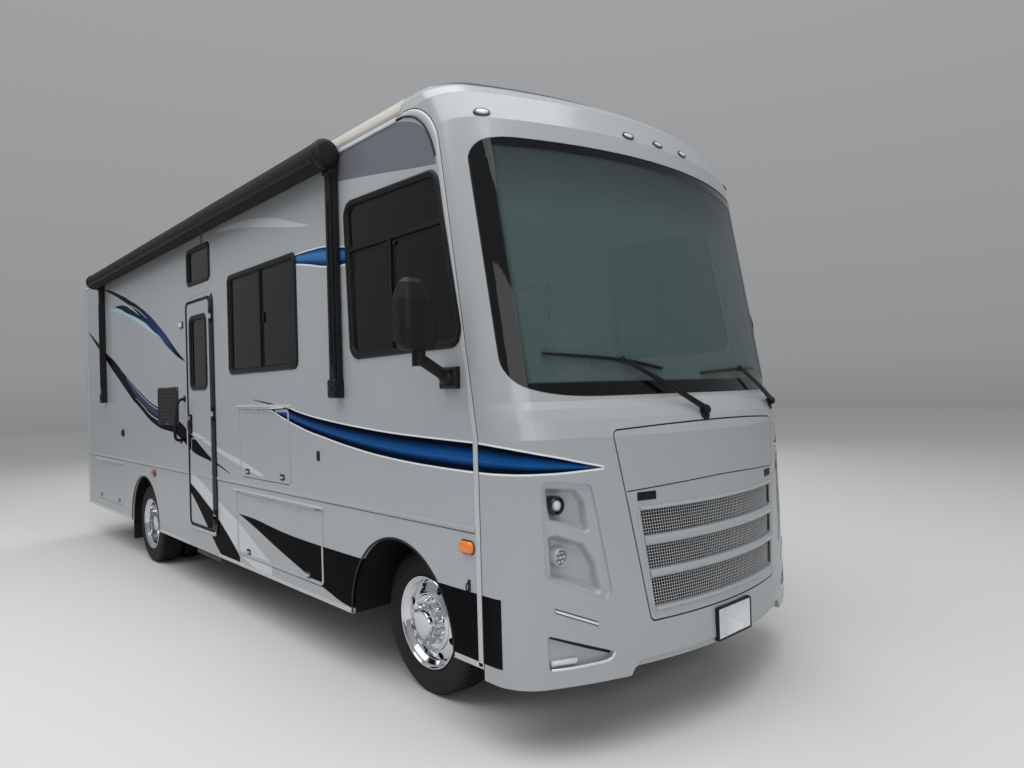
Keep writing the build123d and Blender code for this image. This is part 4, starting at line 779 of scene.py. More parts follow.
def scatter(name, seeds, unit, finish, body="vehicle", scale=1.0, smooth=32):
    # copies of a small mesh about the origin, Z out; seeds: (place, out direction, up direction) for each copy
    cloud = bpy.data.meshes.new(name + "Seeds")
    cloud.from_pydata([s[0] for s in seeds], [], [])
    turn = cloud.attributes.new("turn", "FLOAT_VECTOR", "POINT")
    for i, (place, out, up) in enumerate(seeds):
        out = Vector(out).normalized()
        side = Vector(up).cross(out).normalized()
        turn.data[i].vector = Matrix((side, out.cross(side), out)).transposed().to_euler()
    unitObject = intoScene(bpy.data.objects.new(name + "Unit", unit))

    def placeUnits(group, inputs):
        stored = makeNode(group, "GeometryNodeInputNamedAttribute", {"Name": "turn"}, data_type="FLOAT_VECTOR")
        info = makeNode(group, "GeometryNodeObjectInfo", {"Object": inputs["Unit"]})
        return makeNode(group, "GeometryNodeInstanceOnPoints", {
            "Points": inputs["Geometry"], "Instance": info.outputs["Geometry"],
            "Rotation": stored.outputs["Attribute"], "Scale": inputs["Size"]}).outputs[0]

    values = [("Unit", "Object", unitObject), ("Size", "Float", scale)]
    return bakeNodes(carryNodes(name, cloud, finish, values, placeUnits), finish, body, smooth, [unitObject])


def bakeNodes(carrier, finish, body, smooth, spent=()):
    # the evaluated result becomes a plain mesh, and the modifier goes
    bpy.context.view_layer.update()
    result = evaluated(carrier)
    carrier.modifiers.clear()
    carrier.data = result
    result.materials.clear()
    result.materials.append(mat[finish])
    for name in [a.name for a in result.attributes if a.name == "turn"]:
        result.attributes.remove(result.attributes[name])
    result.polygons.foreach_set("material_index", [0] * len(result.polygons))
    if smooth:
        result.polygons.foreach_set("use_smooth", [True] * len(result.polygons))
        result.set_sharp_from_angle(angle=radians(smooth))
    for item in spent:
        bpy.data.objects.remove(item)
    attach(carrier, body)
    return carrier


def unitMesh(name, build):
    # small mesh for scatter
    bm = bmesh.new()
    build(bm)
    bmesh.ops.recalc_face_normals(bm, faces=bm.faces)
    mesh = bpy.data.meshes.new(name)
    bm.to_mesh(mesh)
    bm.free()
    return mesh


def wires(name, lines, radius, sideCount, finish, body="vehicle"):
    # lines become round wires by geometry nodes
    spots, edges = [], []
    for points in lines:
        base = len(spots)
        spots += [tuple(p) for p in points]
        edges += [(base + i, base + i + 1) for i in range(len(points) - 1)]
    mesh = bpy.data.meshes.new(name)
    mesh.from_pydata(spots, edges, [])

    def drawWires(group, inputs):
        curve = makeNode(group, "GeometryNodeMeshToCurve", {"Mesh": inputs["Geometry"]})
        section = makeNode(group, "GeometryNodeCurvePrimitiveCircle",
                           {"Resolution": inputs["Sides"], "Radius": inputs["Wire Radius"]})
        return makeNode(group, "GeometryNodeCurveToMesh", {
            "Curve": curve.outputs[0], "Profile Curve": section.outputs[0], "Fill Caps": True}).outputs[0]

    values = [("Wire Radius", "Float", radius), ("Sides", "Int", sideCount)]
    return bakeNodes(carryNodes(name, mesh, finish, values, drawWires), finish, body, 40)


# Front cap: its surface, so that pieces can follow it
capRows = [(0.34, 1.312, 2.3), (1.475, 1.284, 2.3), (1.56, 1.256, 2.38), (1.612, 1.228, 2.46), (1.65, 1.193, 2.59),
           (3.06, 0.935, 2.65)]
capCorner = 0.25


def capRowX(y, nose, radius):
    # plan of the cap at one level: a wide arc with rounded corners
    y = abs(y)
    cornerY = halfWidth - capCorner
    cornerX = nose - radius + sqrt((radius - capCorner) ** 2 - cornerY ** 2)
    if y <= cornerY * radius / (radius - capCorner):
        return nose - radius + sqrt(radius ** 2 - y ** 2)
    return cornerX + sqrt(max(capCorner ** 2 - (y - cornerY) ** 2, 0))


def capX(y, z):
    for low, high in zip(capRows, capRows[1:]):
        if z <= high[0] or high is capRows[-1]:
            share = (z - low[0]) / (high[0] - low[0])
            return axleX + capRowX(y, *low[1:]) * (1 - share) + capRowX(y, *high[1:]) * share


def onCap(u, v, w):
    # u across, v up, w out from the cap
    step = 0.004
    slopeY = (capX(u + step, v) - capX(u - step, v)) / (2 * step)
    slopeZ = (capX(u, v + step) - capX(u, v - step)) / (2 * step)
    normal = Vector((1, -slopeY, -slopeZ)).normalized()
    return Vector((capX(u, v), u, v)) + normal * w


def bead(bm, path, half, out, place, closed=False, steps=6, finish=0, flat=False, sink=0.001):
    # raised strip along a line drawn on a panel
    section = [(cos(pi * k / steps), sin(pi * k / steps)) for k in range(steps + 1)]
    if flat:
        section = [(1, 0), (1, 0.6), (0.86, 1), (-0.86, 1), (-1, 0.6), (-1, 0)]
    rings = []
    count = len(path)
    for i, here in enumerate(path):
        before = Vector(path[i - 1]) if i or closed else Vector(here)
        after = Vector(path[(i + 1) % count]) if i < count - 1 or closed else Vector(here)
        along = (after - before).normalized()
        across = Vector((-along.y, along.x)) * half
        rings.append([place(here[0] + across.x * a, here[1] + across.y * a, out * b - sink) for a, b in section])
    skin(bm, rings, finish, closed)


def arcLine(points, steps):
    # smooth line through points, by Catmull-Rom
    spots = [Vector(p) for p in points]
    spots = [spots[0] * 2 - spots[1]] + spots + [spots[-1] * 2 - spots[-2]]
    path = []
    for i in range(1, len(spots) - 2):
        p0, p1, p2, p3 = spots[i - 1:i + 3]
        for k in range(steps):
            t = k / steps
            path.append(0.5 * ((2 * p1) + (p2 - p0) * t + (2 * p0 - 5 * p1 + 4 * p2 - p3) * t ** 2
                               + (3 * p1 - p0 - 3 * p2 + p3) * t ** 3))
    return [tuple(p) for p in path] + [tuple(spots[-2])]


# Grille: wire mesh in three bands, rounded bars between them and the radiator behind, near black as painted shade
grille = {
    "bands": [(1.109, 0.985), (0.938, 0.82), (0.779, 0.64)],
    "pitch": 0.0155, "wire": 0.0014, "depth": 0.016, "back": 0.04,
    "barOut": 0.011, "lipHalf": 0.01, "lowHalf": 0.565, "highHalf": 0.626,
}


def grilleWidth(z):
    low, high = grille["bands"][-1][1], grille["bands"][0][0]
    return grille["lowHalf"] + (grille["highHalf"] - grille["lowHalf"]) * (z - low) / (high - low)


def makeGrille():
    lines = []
    for high, low in grille["bands"]:
        rows = round((high - low) / grille["pitch"])
        for i in range(1, rows):
            z = low + (high - low) * i / rows
            half = grilleWidth(z) + 0.004
            lines.append([onCap(-half + 2 * half * k / 26, z, -grille["depth"]) for k in range(27)])
        columns = round(2 * grilleWidth((high + low) / 2) / grille["pitch"])
        for i in range(1, columns):
            share = -1 + 2 * i / columns
            lines.append([onCap(share * grilleWidth(z), z, -grille["depth"] - 0.0022)
                          for z in (low - 0.004, (low + high) / 2, high + 0.004)])
    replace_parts(wires("grilleWires", lines, grille["wire"], 5, "mesh", "front_hood"), "grille_mesh")
    bm = bmesh.new()
    # radiator panel with shallow fins, inside the deep surround; near black, as painted shade in the grille's voids
    for high, low in grille["bands"]:
        rings = []
        count = 46
        for k in range(count + 1):
            share = -1 + 2 * k / count
            depth = grille["back"] - (0.006 if k % 2 else 0.0)
            z0, z1 = low - 0.012, high + 0.012
            halfLow, halfHigh = grilleWidth(low) + 0.012, grilleWidth(high) + 0.012
            rings.append([onCap(share * halfLow, z0, -depth), onCap(share * halfHigh, z1, -depth),
                          onCap(share * halfHigh, z1, -depth - 0.012), onCap(share * halfLow, z0, -depth - 0.012)])
        skin(bm, rings)
    addPiece("grilleRadiator", bm, "darkVoid", "front_hood", smooth=0)
    bm = bmesh.new()
    bars = [((0.985 + 0.938) / 2, 0.0235 * 0.9), ((0.82 + 0.779) / 2, 0.0205 * 0.9), (1.119, 0.01),
            (0.629, grille["lipHalf"])]
    for z, half in bars:
        reach = grilleWidth(z) - 0.002
        bead(bm, [(-reach + 2 * reach * k / 40, z) for k in range(41)], half, grille["barOut"], onCap, steps=10)
    for side in (-1, 1):
        path = [(side * (grilleWidth(z) + 0.008), z) for z in (0.622, 0.7, 0.8, 0.9, 1.0, 1.124)]
        bead(bm, path, 0.008, 0.008, onCap, steps=8)
    addPiece("grilleBars", bm, "bar", "front_hood", smooth=50)


makeGrille()


# Hood: seam of the access panel, dark pads and the rubber edge
def makeHoodTrim():
    bm = bmesh.new()
    seam = [(y, 1.234 - 0.026 * (abs(y) / 0.68) ** 1.6) for y in [-0.69 + 1.38 * k / 40 for k in range(41)]]
    bead(bm, seam, 0.003, 0.0012, onCap, flat=True)
    addPiece("hoodSeam", bm, "gasket", "front_hood", smooth=0)
    bm = bmesh.new()
    for side in (-1, 1):
        outline = roundedRect(side * 0.58 - 0.055, side * 0.58 + 0.055, 1.158, 1.199, 0.006)
        plate(bm, outline, onCap, 0.005, 0.002, start=-0.001)
        for k in range(5):
            z = 1.164 + 0.0072 * k
            bead(bm, [(side * 0.58 - 0.047, z), (side * 0.58, z), (side * 0.58 + 0.047, z)], 0.0016, 0.0022,
                 lambda u, v, w: onCap(u, v, w + 0.004), steps=4)
    addPiece("hoodPads", bm, "blackPlastic", "front_hood", smooth=40)
    # rubber edge round the opening, on the cap
    arch = [(-0.755 + 1.51 * k / 30, 1.53 - 0.024 * ((-0.755 + 1.51 * k / 30) / 0.755) ** 2) for k in range(31)]
    low = [(0.59 - 1.18 * k / 24, 0.571) for k in range(25)]
    sideLine = lambda a, b, n: [(a[0] + (b[0] - a[0]) * k / n, a[1] + (b[1] - a[1]) * k / n) for k in range(1, n)]
    path = arch + sideLine(arch[-1], low[0], 16) + low + sideLine(low[-1], arch[0], 16)
    bm = bmesh.new()
    rings = [[onCap(*p, w) for p in inset(path, d)] for d, w in mm((1.5, -2), (5, -3.5), (6.5, -12), (1.5, -12))]
    skin(bm, rings, closed=True)
    addPiece("hoodSeal", bm, "gasket", "vehicle", smooth=40)


makeHoodTrim()


# Headlight pockets: a moulded insert with two bowls, a lamp in each, and the pieces below
lampPockets = {
    "outer": [(0.137, 1.29), (0.367, 1.258), (0.457, 0.688), (0.141, 0.838)],
    "upper": [(0.152, 1.258), (0.3, 1.244), (0.346, 1.18), (0.358, 1.042), (0.335, 1.028), (0.168, 1.1)],
    "lower": mm((158, 1030), (200, 1036), (330, 985), (384, 885), (402, 752), (378, 738), (164, 830)),
    "rim": 0.017, "floor": 0.066, "soft": 0.03, "grid": 0.0065, "origin": (0.12, 0.67), "size": (0.36, 0.64),
}
lamps = [("Upper", 0.226, 1.166, 0.045), ("Lower", 0.232, 0.925, 0.045)]


def signedDistance(p, polygon):
    # distance to an outline, positive inside
    best, inside = 9.0, False
    for i in range(len(polygon)):
        a, b = polygon[i], polygon[(i + 1) % len(polygon)]
        abx, aby = b[0] - a[0], b[1] - a[1]
        t = max(0.0, min(1.0, ((p[0] - a[0]) * abx + (p[1] - a[1]) * aby) / (abx * abx + aby * aby)))
        best = min(best, hypot(p[0] - a[0] - abx * t, p[1] - a[1] - aby * t))
        if (a[1] > p[1]) != (b[1] > p[1]) and p[0] < a[0] + (p[1] - a[1]) / (b[1] - a[1]) * abx:
            inside = not inside
    return best if inside else -best


def makePocket(side, end):
    place = lambda u, v, w: onCap(side * (halfWidth - u), v, w)
    outer = roundCorners(lampPockets["outer"], 0.04)
    holes = [roundCorners(lampPockets[k], 0.012, 3) for k in ("upper", "lower")]
    step = lampPockets["grid"]
    bm = bmesh.new()
    spots = {}
    u0, v0 = lampPockets["origin"]
    columns, rows = (int(size / step) for size in lampPockets["size"])

    def spot(i, j):
        if (i, j) not in spots:
            u, v = u0 + i * step, v0 + j * step
            best = max(signedDistance((u, v), hole) for hole in holes)
            share = max(0.0, min(1.0, best / lampPockets["soft"]))
            share = share * share * (3 - 2 * share)
            edge = max(0.0, min(1.0, 1 - signedDistance((u, v), outer) / 0.012))
            depth = lampPockets["rim"] + (lampPockets["floor"] - lampPockets["rim"]) * share - 0.006 * edge
            spots[(i, j)] = bm.verts.new(place(u, v, -depth))
        return spots[(i, j)]

    for i in range(columns):
        for j in range(rows):
            if signedDistance((u0 + (i + 0.5) * step, v0 + (j + 0.5) * step), outer) > -0.007:
                bm.faces.new((spot(i, j), spot(i + 1, j), spot(i + 1, j + 1), spot(i, j + 1)))
    bm.normal_update()
    if sum(face.normal.x for face in bm.faces) < 0:
        bmesh.ops.reverse_faces(bm, faces=bm.faces)
    addPiece("headlightInsert" + end, bm, "bar", smooth=60, turnOut=False)


def makeLamp(side, end, name, inward, z, radius):
    # bezel, bowl and lens facing forward, set in the pocket floor
    y = side * (halfWidth - inward)
    floorX = min(onCap(y + dy, z + dz, -lampPockets["floor"]).x for dy in (-radius, 0, radius)
                 for dz in (-radius, 0, radius))
    frontX = onCap(y - side * radius * 0.4, z, -lampPockets["floor"]).x + 0.018
    axis = Vector((1, side * 0.04, 0.0)).normalized()
    center = Vector((frontX, y, z))
    back = floorX - frontX - 0.006
    bm = bmesh.new()
    turned(bm, [(radius, back), (radius, 0.0), (radius * 0.985, 0.005), (radius * 0.93, 0.008), (radius * 0.8, 0.008),
                (radius * 0.77, 0.003),
                (radius * 0.76, -0.006), (radius * 0.45, -0.03), (0, -0.034), (0, back)], center, axis, 48)
    addPiece("headlight" + name + "Bezel" + end, bm, "gloss" if name == "Upper" else "bar", smooth=35)
    bm = bmesh.new()
    if name == "Upper":
        turned(bm, [(radius * 0.7, -0.01), (radius * 0.7, -0.004), (radius * 0.63, 0.0), (radius * 0.61, -0.004),
                    (radius * 0.6, -0.01)], center, axis, 48)
        turned(bm, [(radius * 0.58, -0.016), (radius * 0.57, -0.006), (radius * 0.46, 0.004), (radius * 0.26, 0.011),
                    (0, 0.014), (0, -0.016)], center, axis, 40, finish=1)
        addPiece("headlightUpperLens" + end, bm, ["chrome", "lens"], smooth=40,
                 replaces=["headlights"] if side < 0 else ())
    else:
        spots = [(0, 0)] + ring(radius * 0.52, 6)
        for a, b in spots:
            middle = center + Vector((0, a, b))
            r = radius * 0.21
            turned(bm, [(r * 1.12, -0.012), (r * 1.12, -0.002), (r, 0.0), (r * 0.92, -0.004), (r * 0.4, -0.01),
                        (0, -0.012)], middle, axis, 20)
            turned(bm, [(r * 0.6, -0.012), (r * 0.6, -0.002), (r * 0.4, 0.002), (0, 0.004), (0, -0.012)], middle, axis,
                   16, finish=1)
        addPiece("headlightLowerLamps" + end, bm, ["chrome", "lens"], smooth=40)


def makeLampSides(side, end):
    place = lambda u, v, w: onCap(side * (halfWidth - u), v, w)
    makePocket(side, end)
    for row in lamps:
        makeLamp(side, end, *row)
    # bright blade in the slit, and the panel with its lamp in the scoop
    bm = bmesh.new()
    for half, base, top, finish in ((0.0115, -0.0006, 0.0012, 1), (0.0075, -0.004, 0.0045, 0)):
        skin(bm, [[place(0.176 + 0.19 * k / 12, 0.6922 - 0.0835 * k / 12 + a, w)
                   for a, w in ((-half, base), (half, base), (half - 0.002, top), (0.002 - half, top))]
                  for k in range(13)], finish=finish)
    addPiece("slitBlade" + end, bm, ["bright", "gasket"], smooth=40)
    bm = bmesh.new()
    scoopPanel = roundCorners([(0.13, 0.59), (0.455, 0.47), (0.424, 0.422), (0.134, 0.414)], 0.012, 3)
    skin(bm, [[place(u, v, w) for u, v in scoopPanel] for w in (-0.048, -0.03)])
    # dark strip under the scoop panel's upper edge: painted shade below the scoop's overhang
    bead(bm, arcLine([(0.15, 0.572), (0.3, 0.512), (0.436, 0.462)], 6), 0.01, 0.006,
         lambda u, v, w: place(u, v, w - 0.03), steps=4, finish=1)
    addPiece("scoopPanel" + end, bm, ["bar", "gasket"], smooth=35)
    bm = bmesh.new()
    lampOutline = roundCorners([(0.15, 0.46), (0.275, 0.462), (0.268, 0.436), (0.152, 0.434)], 0.008, 4)
    shell(bm, lampOutline, ((0, -0.032), (0, -0.018), (0.003, -0.013), (0.008, -0.011)), place)
    addPiece("scoopLamp" + end, bm, "lens", smooth=40)
    bm = bmesh.new()
    # lip along the scoop's lower edge: a moulded edge whose near-white colour is a painted highlight
    lip = [(0.15, 0.424), (0.2, 0.4225), (0.3, 0.424), (0.41, 0.432), (0.436, 0.452), (0.446, 0.466)]
    bead(bm, arcLine(lip, 5), 0.0065, 0.004, place, steps=6)
    addPiece("scoopLip" + end, bm, "bright", smooth=40)


bothSides(makeLampSides)
print("lamps and grille made")


# Blank plate in a black frame
plateSize = {"y": 0.012, "z": 0.468, "width": 0.305, "height": 0.152, "frame": 0.011}


def makePlate():
    y, z = plateSize["y"], plateSize["z"]
    halfY, halfZ = plateSize["width"] / 2, plateSize["height"] / 2
    face = capX(y, z) + 0.006
    place = lambda u, v, w: Vector((face + w, u, v))
    rim = plateSize["frame"]
    outer = roundedRect(y - halfY - rim, y + halfY + rim, z - halfZ - rim, z + halfZ + rim, 0.014)
    bm = bmesh.new()
    shell(bm, outer, ((0, -0.016), (0, 0.004), (0.003, 0.0075), (rim - 0.002, 0.0075), (rim, 0.002)), place)
    addPiece("plateFrame", bm, "blackPlastic", smooth=30)
    bm = bmesh.new()
    inner = padAbout(y, z, halfY, halfZ, 0.009)
    shell(bm, inner, mm((0, 1.5), (0, 3.5), (4, 5.2), (7, 5.2), (10, 3.6)), place)
    addPiece("blankPlate", bm, "plate", smooth=30)
    bm = bmesh.new()
    for u in (-0.09, 0.09):
        for v in (halfZ - 0.013, -halfZ + 0.013):
            screwHead(bm, lambda a, b, w: Vector((face + 0.0038 + w, y + u + a, z + v + b)), 0.006, 0.003)
    addPiece("plateScrews", bm, "aluminium", smooth=40)


makePlate()


# Clearance lamps on the brow: black bezel and a clear lens
browLamps = [(-1.105, 3.086), (-0.253, 3.086), (0.0, 3.088), (0.253, 3.086), (1.105, 3.086)]


def makeBrowLamps():
    bezels, lenses = bmesh.new(), bmesh.new()
    for y, z in browLamps:
        place = onFront(y, z)
        skin(bezels, [[place(u, v, w) for u, v in ring(a, 28, b)] for a, b, w in
                      mm((44, 24, -20), (44, 24, 4), (41, 21.5, 8), (34, 16, 8), (32, 14.5, 4))])
        skin(lenses, [[place(u, v, w) for u, v in ring(a, 28, b)] for a, b, w in
                      mm((32, 14.5, 3), (31, 14, 9), (24, 10.5, 11.5), (10, 4, 12.5))])
    addPiece("browLampBezels", bezels, "gloss", smooth=40)
    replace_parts(addPiece("browLampLenses", lenses, "lens", smooth=40), "running_lights")


makeBrowLamps()


# Windshield: rubber edge along the opening. Its sides lean back from the foot, its corners are soft.
screen = {"top": 2.967, "flat": 0.93, "corner": 0.205}


def edgeY(x, z):
    # where the opening's outline, drawn from the side, meets the cap
    y0, y1 = 0.0, halfWidth - 0.002
    for step in range(40):
        y = (y0 + y1) / 2
        y0, y1 = (y, y1) if capX(y, z) > x else (y0, y)
    return y0


def makeScreenSeal():
    (footX, footZ), topZ = screenFoot, screen["top"]
    sideX = lambda z: footX - screenLean * (z - footZ)
    path = [(screen["flat"] * k / 24, footZ) for k in range(25)]

    def corner(a, b, c, steps):
        a, b, c = Vector(a), Vector(b), Vector(c)
        for k in range(1, steps):
            t = k / steps
            p = a * (1 - t) ** 2 + b * 2 * t * (1 - t) + c * t * t
            path.append((edgeY(p.x, p.y), p.y))

    lowZ, highZ = footZ + screen["corner"], topZ - 0.1
    corner((footX + 0.2075, footZ), (footX, footZ), (sideX(lowZ), lowZ), 12)
    for k in range(13):
        z = lowZ + (topZ - 0.1 - lowZ) * k / 12
        path.append((edgeY(sideX(z), z), z))
    corner((sideX(highZ), highZ), (sideX(topZ), topZ), (sideX(topZ) + 0.11, topZ), 8)
    last = path[-1][0]
    path += [(last * (1 - k / 24), topZ) for k in range(1, 25)]
    # points too close together are left out, and the other half is mirrored
    clean = path[:1]
    for p in path[1:]:
        if hypot(p[0] - clean[-1][0], p[1] - clean[-1][1]) > 0.008:
            clean.append(p)
    whole = clean + [(-u, v) for u, v in clean[-2:0:-1]]
    bm = bmesh.new()
    bead(bm, whole, 0.0055, 0.003, onCap, closed=True, steps=6, sink=0.004)
    addPiece("screenSeal", bm, "gasket", smooth=50)


makeScreenSeal()


def onScreen(y, z, lift=0.011):
    # point above the windshield, as the CAD wipers use
    nose = 1.193 - 0.183 * (z - 1.65)
    return Vector((axleX + nose - 2.65 + sqrt(2.65 ** 2 - y * y) + lift, y, z))


wipers = [
    {"pivot": (axleX + 1.24, -0.115, 1.558), "blade": [(-0.338, 1.8), (-0.6, 1.845), (-1.009, 1.88)]},
    {"pivot": (axleX + 1.075, 0.88, 1.575), "blade": [(0.69, 1.8), (0.42, 1.798), (-0.015, 1.775)]},
]


def makeWipers():
    for row, end in zip(wipers, ("Right", "Left")):
        (y0, z0), (y1, z1), (y2, z2) = row["blade"]
        points = arcLine([(y0, z0), (y1, z1), (y2, z2)], 14)
        bm = bmesh.new()
        # blade: rubber lip on the glass and a stepped spoiler above it
        sweep(bm, [onScreen(y, z, 0.0) for y, z in points], mm((-2, -2), (2, -2), (2, 8), (-2, 8)), up=(1, 0, 0))
        sweep(bm, [onScreen(y, z, 0.008) for y, z in points], mm((-9, 0), (9, 0), (9, 4), (4, 10), (-4, 10), (-9, 4)),
              up=(1, 0, 0), scales=[0.75 + 0.25 * sin(pi * k / (len(points) - 1)) for k in range(len(points))])
        # arm: tapered channel from the pivot to the blade's clip
        pivot = Vector(row["pivot"]) + Vector((0.03, 0, 0.024))
        grip = onScreen(y1, z1, 0.03)
        path = [pivot.lerp(grip, k / 8) + Vector((0.01 * sin(pi * k / 8), 0, 0)) for k in range(9)]
        sweep(bm, path, mm((-11, -6), (11, -6), (11, 4), (7, 8), (-7, 8), (-11, 4)), up=(1, 0, 0),
              scales=[1.35 - 0.6 * k / 8 for k in range(9)])
        turned(bm, mm((0, -30), (24, -30), (26, -4), (24, 6), (17, 12), (0, 14)), pivot, (1, 0, 0.4), 24)
        clip = onScreen(y1, z1, 0.02)
        turned(bm, mm((0, -16), (10, -16), (10, 16), (0, 16)), clip, (0, 0.25, 1), 14)
        addPiece("wiper" + end, bm, "blackMetal", smooth=35)
    bm = bmesh.new()
    for row in wipers:
        spot, normal = frontSpot(row["pivot"][1], row["pivot"][2])
        turned(bm, mm((0, -4), (36, -4), (36, 4), (28, 10), (20, 12), (0, 12)), spot, normal, 28)
    addPiece("wiperGrommets", bm, "gasket", smooth=40)
    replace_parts(bpy.data.objects["wiperRight"], "wipers")


makeWipers()
print("front made")


# Sides: mouldings, seam strip, gutters and roof edge
sideTrim = {"beltZ": 1.045, "beltHalf": 0.014, "beltOut": 0.007, "stripHalf": 0.017, "stripOut": 0.0035, "railZ": 3.19,
            "rockerZ": 0.405}
rearX, roofX = -4.25, axleX + 0.163
entryX0, entryX1 = axleX - 3.419, axleX - 2.7
arches = {"xs": (axleX, rearAxleX - 0.014), "lip": 0.503, "skirt": 0.512, "liners": (0.6, 0.62)}
bayDoors = [
    ("right_upper_bay_door", -1, -2.19, -1.3, 1.095, 1.63),
    ("right_lower_bay_door", -1, -2.29, -0.85, 0.478, 0.975),
    ("right_rear_bay_door", -1, -6.9, -5.69, 0.505, 0.987),
    ("left_lower_bay_door", 1, -2.29, -0.85, 0.478, 0.975),
    ("left_rear_bay_door", 1, -6.9, -5.69, 0.505, 0.987),
]


def even(a, b, pitch):
    # points along a straight run
    steps = max(1, round(hypot(b[0] - a[0], b[1] - a[1]) / pitch))
    return [(a[0] + (b[0] - a[0]) * k / steps, a[1] + (b[1] - a[1]) * k / steps) for k in range(steps + 1)]


def seamPath(shift, low):
    # the wall's front edge, moved back by a distance, with its rounded top
    corner, knee, foot = Vector((axleX + 0.46, 3.21)), Vector((seamX, 1.48)), Vector((seamX, low))
    rise = (corner - knee).normalized()
    run = Vector((-1, 0))
    half = run.angle(-rise) / 2
    cut = 0.3 / tan(half)
    a, b = corner - rise * cut, corner + run * cut
    middle = corner + (run - rise).normalized() * (0.3 / sin(half))
    arc = []
    for k in range(13):
        spoke = (a - middle).lerp(b - middle, k / 12).normalized() * 0.3
        arc.append(tuple(middle + spoke))
    path = even(tuple(foot), tuple(knee), 0.3) + even(tuple(knee), tuple(a), 0.3)[1:] + arc[1:] + [(roofX + 0.02, 3.21)]
    moved = []
    for i, p in enumerate(path):
        before, after = Vector(path[max(i - 1, 0)]), Vector(path[min(i + 1, len(path) - 1)])
        along = (after - before).normalized()
        moved.append((p[0] - along.y * shift, p[1] + along.x * shift))
    return moved


def makeSideTrim(side, end):
    place = onSide(side)
    belt = sideTrim["beltZ"]
    runs = [(rearX, entryX0 - 0.004), (entryX1 + 0.004, seamX - 0.04)] if side < 0 else [(rearX, seamX - 0.04)]
    bm = bmesh.new()
    for x0, x1 in runs:
        bead(bm, even((x0, belt), (x1, belt), 0.8), sideTrim["beltHalf"], sideTrim["beltOut"], place, steps=8)
    addPiece("beltMoulding" + end, bm, "bar", smooth=50)
    bm = bmesh.new()
    for x0, x1 in runs:
        bead(bm, even((x0, belt - 0.0185), (x1, belt - 0.0185), 0.8), 0.0022, 0.0012, place, flat=True)
    # dark joint beside the seam strip
    bead(bm, seamPath(0.0025, 0.392), 0.0025, 0.0012, place, flat=True)
    addPiece("beltShadow" + end, bm, "gasket", smooth=0)
    bm = bmesh.new()
    bead(bm, seamPath(0.024, 0.4), sideTrim["stripHalf"], sideTrim["stripOut"], place, flat=True)
    addPiece("seamStrip" + end, bm, "stripBright", smooth=35)
    # drip arch over the cab window
    bm = bmesh.new()
    arch = arcLine([(axleX + 0.12, 3.183), (axleX + 0.2, 3.178), (axleX + 0.285, 3.15), (axleX + 0.37, 3.085),
                    (axleX + 0.425, 3.0), (axleX + 0.462, 2.905)], 6)
    bead(bm, arch, 0.006, 0.01, place, steps=6)
    addPiece("dripArch" + end, bm, "gasket", smooth=50)
    # gutter: a small channel along the eaves
    bm = bmesh.new()
    rail = sideTrim["railZ"]
    profile = mm((-14, 0), (-14, 7), (-10, 8.5), (4, 8.5), (4, 6.5), (-9, 6), (-9.5, 3), (12, 2.2), (12, 0))
    skin(bm, [[place(x, rail + v, w) for v, w in profile] for x in (rearX + 0.02, -2.0, 0.0, 2.0, axleX + 0.12)])
    addPiece("gutter" + end, bm, "trim", smooth=30)
    # roof edge over the rounded corner, with the vinyl insert that covers its screws
    bm = bmesh.new()
    rows = mm((0, 0), (0, 20), (10.9, 50), (35.3, 85), (67.7, 108))
    rings = []
    for x in (rearX, -2.0, 0.0, 2.0, roofX - 0.004):
        out = [place(x, 3.21 + rise + 0.0006 + 0.003 * k / 4, -inward + 0.0035 - 0.0025 * k / 4)
               for k, (inward, rise) in enumerate(rows)]
        back = [place(x, 3.21 + rise - 0.002, -inward - 0.001) for inward, rise in rows[::-1]]
        rings.append(out + back)
    skin(bm, rings)
    bead(bm, even((rearX, 3.222), (roofX - 0.006, 3.222), 2.0), 0.0055, 0.0065, place, steps=6)
    addPiece("roofEdge" + end, bm, "edge", smooth=30)
    # rocker: bright strip along the skirt's foot, broken at the wheels
    bm = bmesh.new()
    rocker = sideTrim["rockerZ"]
    front, rear = arches["xs"]
    gap = arches["skirt"]
    for x0, x1 in ((rearX, rear - gap), (rear + gap, entryX0 - 0.01), (entryX1 + 0.01, front - gap),
                   (front + gap, seamX - 0.004)):
        bead(bm, even((x0, rocker), (x1, rocker), 0.8), 0.014, 0.0035, place, flat=True)
    addPiece("rockerStrip" + end, bm, "stripBright", smooth=35)
    # wheel arch lips
    bm = bmesh.new()
    for x in arches["xs"]:
        path = [(x + arches["lip"] * cos(a), wheelZ + arches["lip"] * sin(a))
                for a in [radians(-1 + 182 * k / 48) for k in range(49)]]
        bead(bm, path, 0.007, 0.005, place, steps=6)
    addPiece("archLips" + end, bm, "blackPlastic", smooth=50)
    # liners inside the arches
    bm = bmesh.new()
    for x, inner in zip(arches["xs"], arches["liners"]):
        rings = []
        for k in range(33):
            a = radians(-2 + 184 * k / 32)
            c, s = cos(a), sin(a)
            spot = lambda r, w: (x + r * c, side * w, wheelZ + r * s)
            r, outer = arches["skirt"], halfWidth - 0.022
            rings.append([spot(r, outer), spot(r + 0.006, inner), spot(r + 0.012, inner), spot(r + 0.006, outer)])
        skin(bm, rings)
    addPiece("wheelLiners" + end, bm, "liner", smooth=40)


bothSides(makeSideTrim)


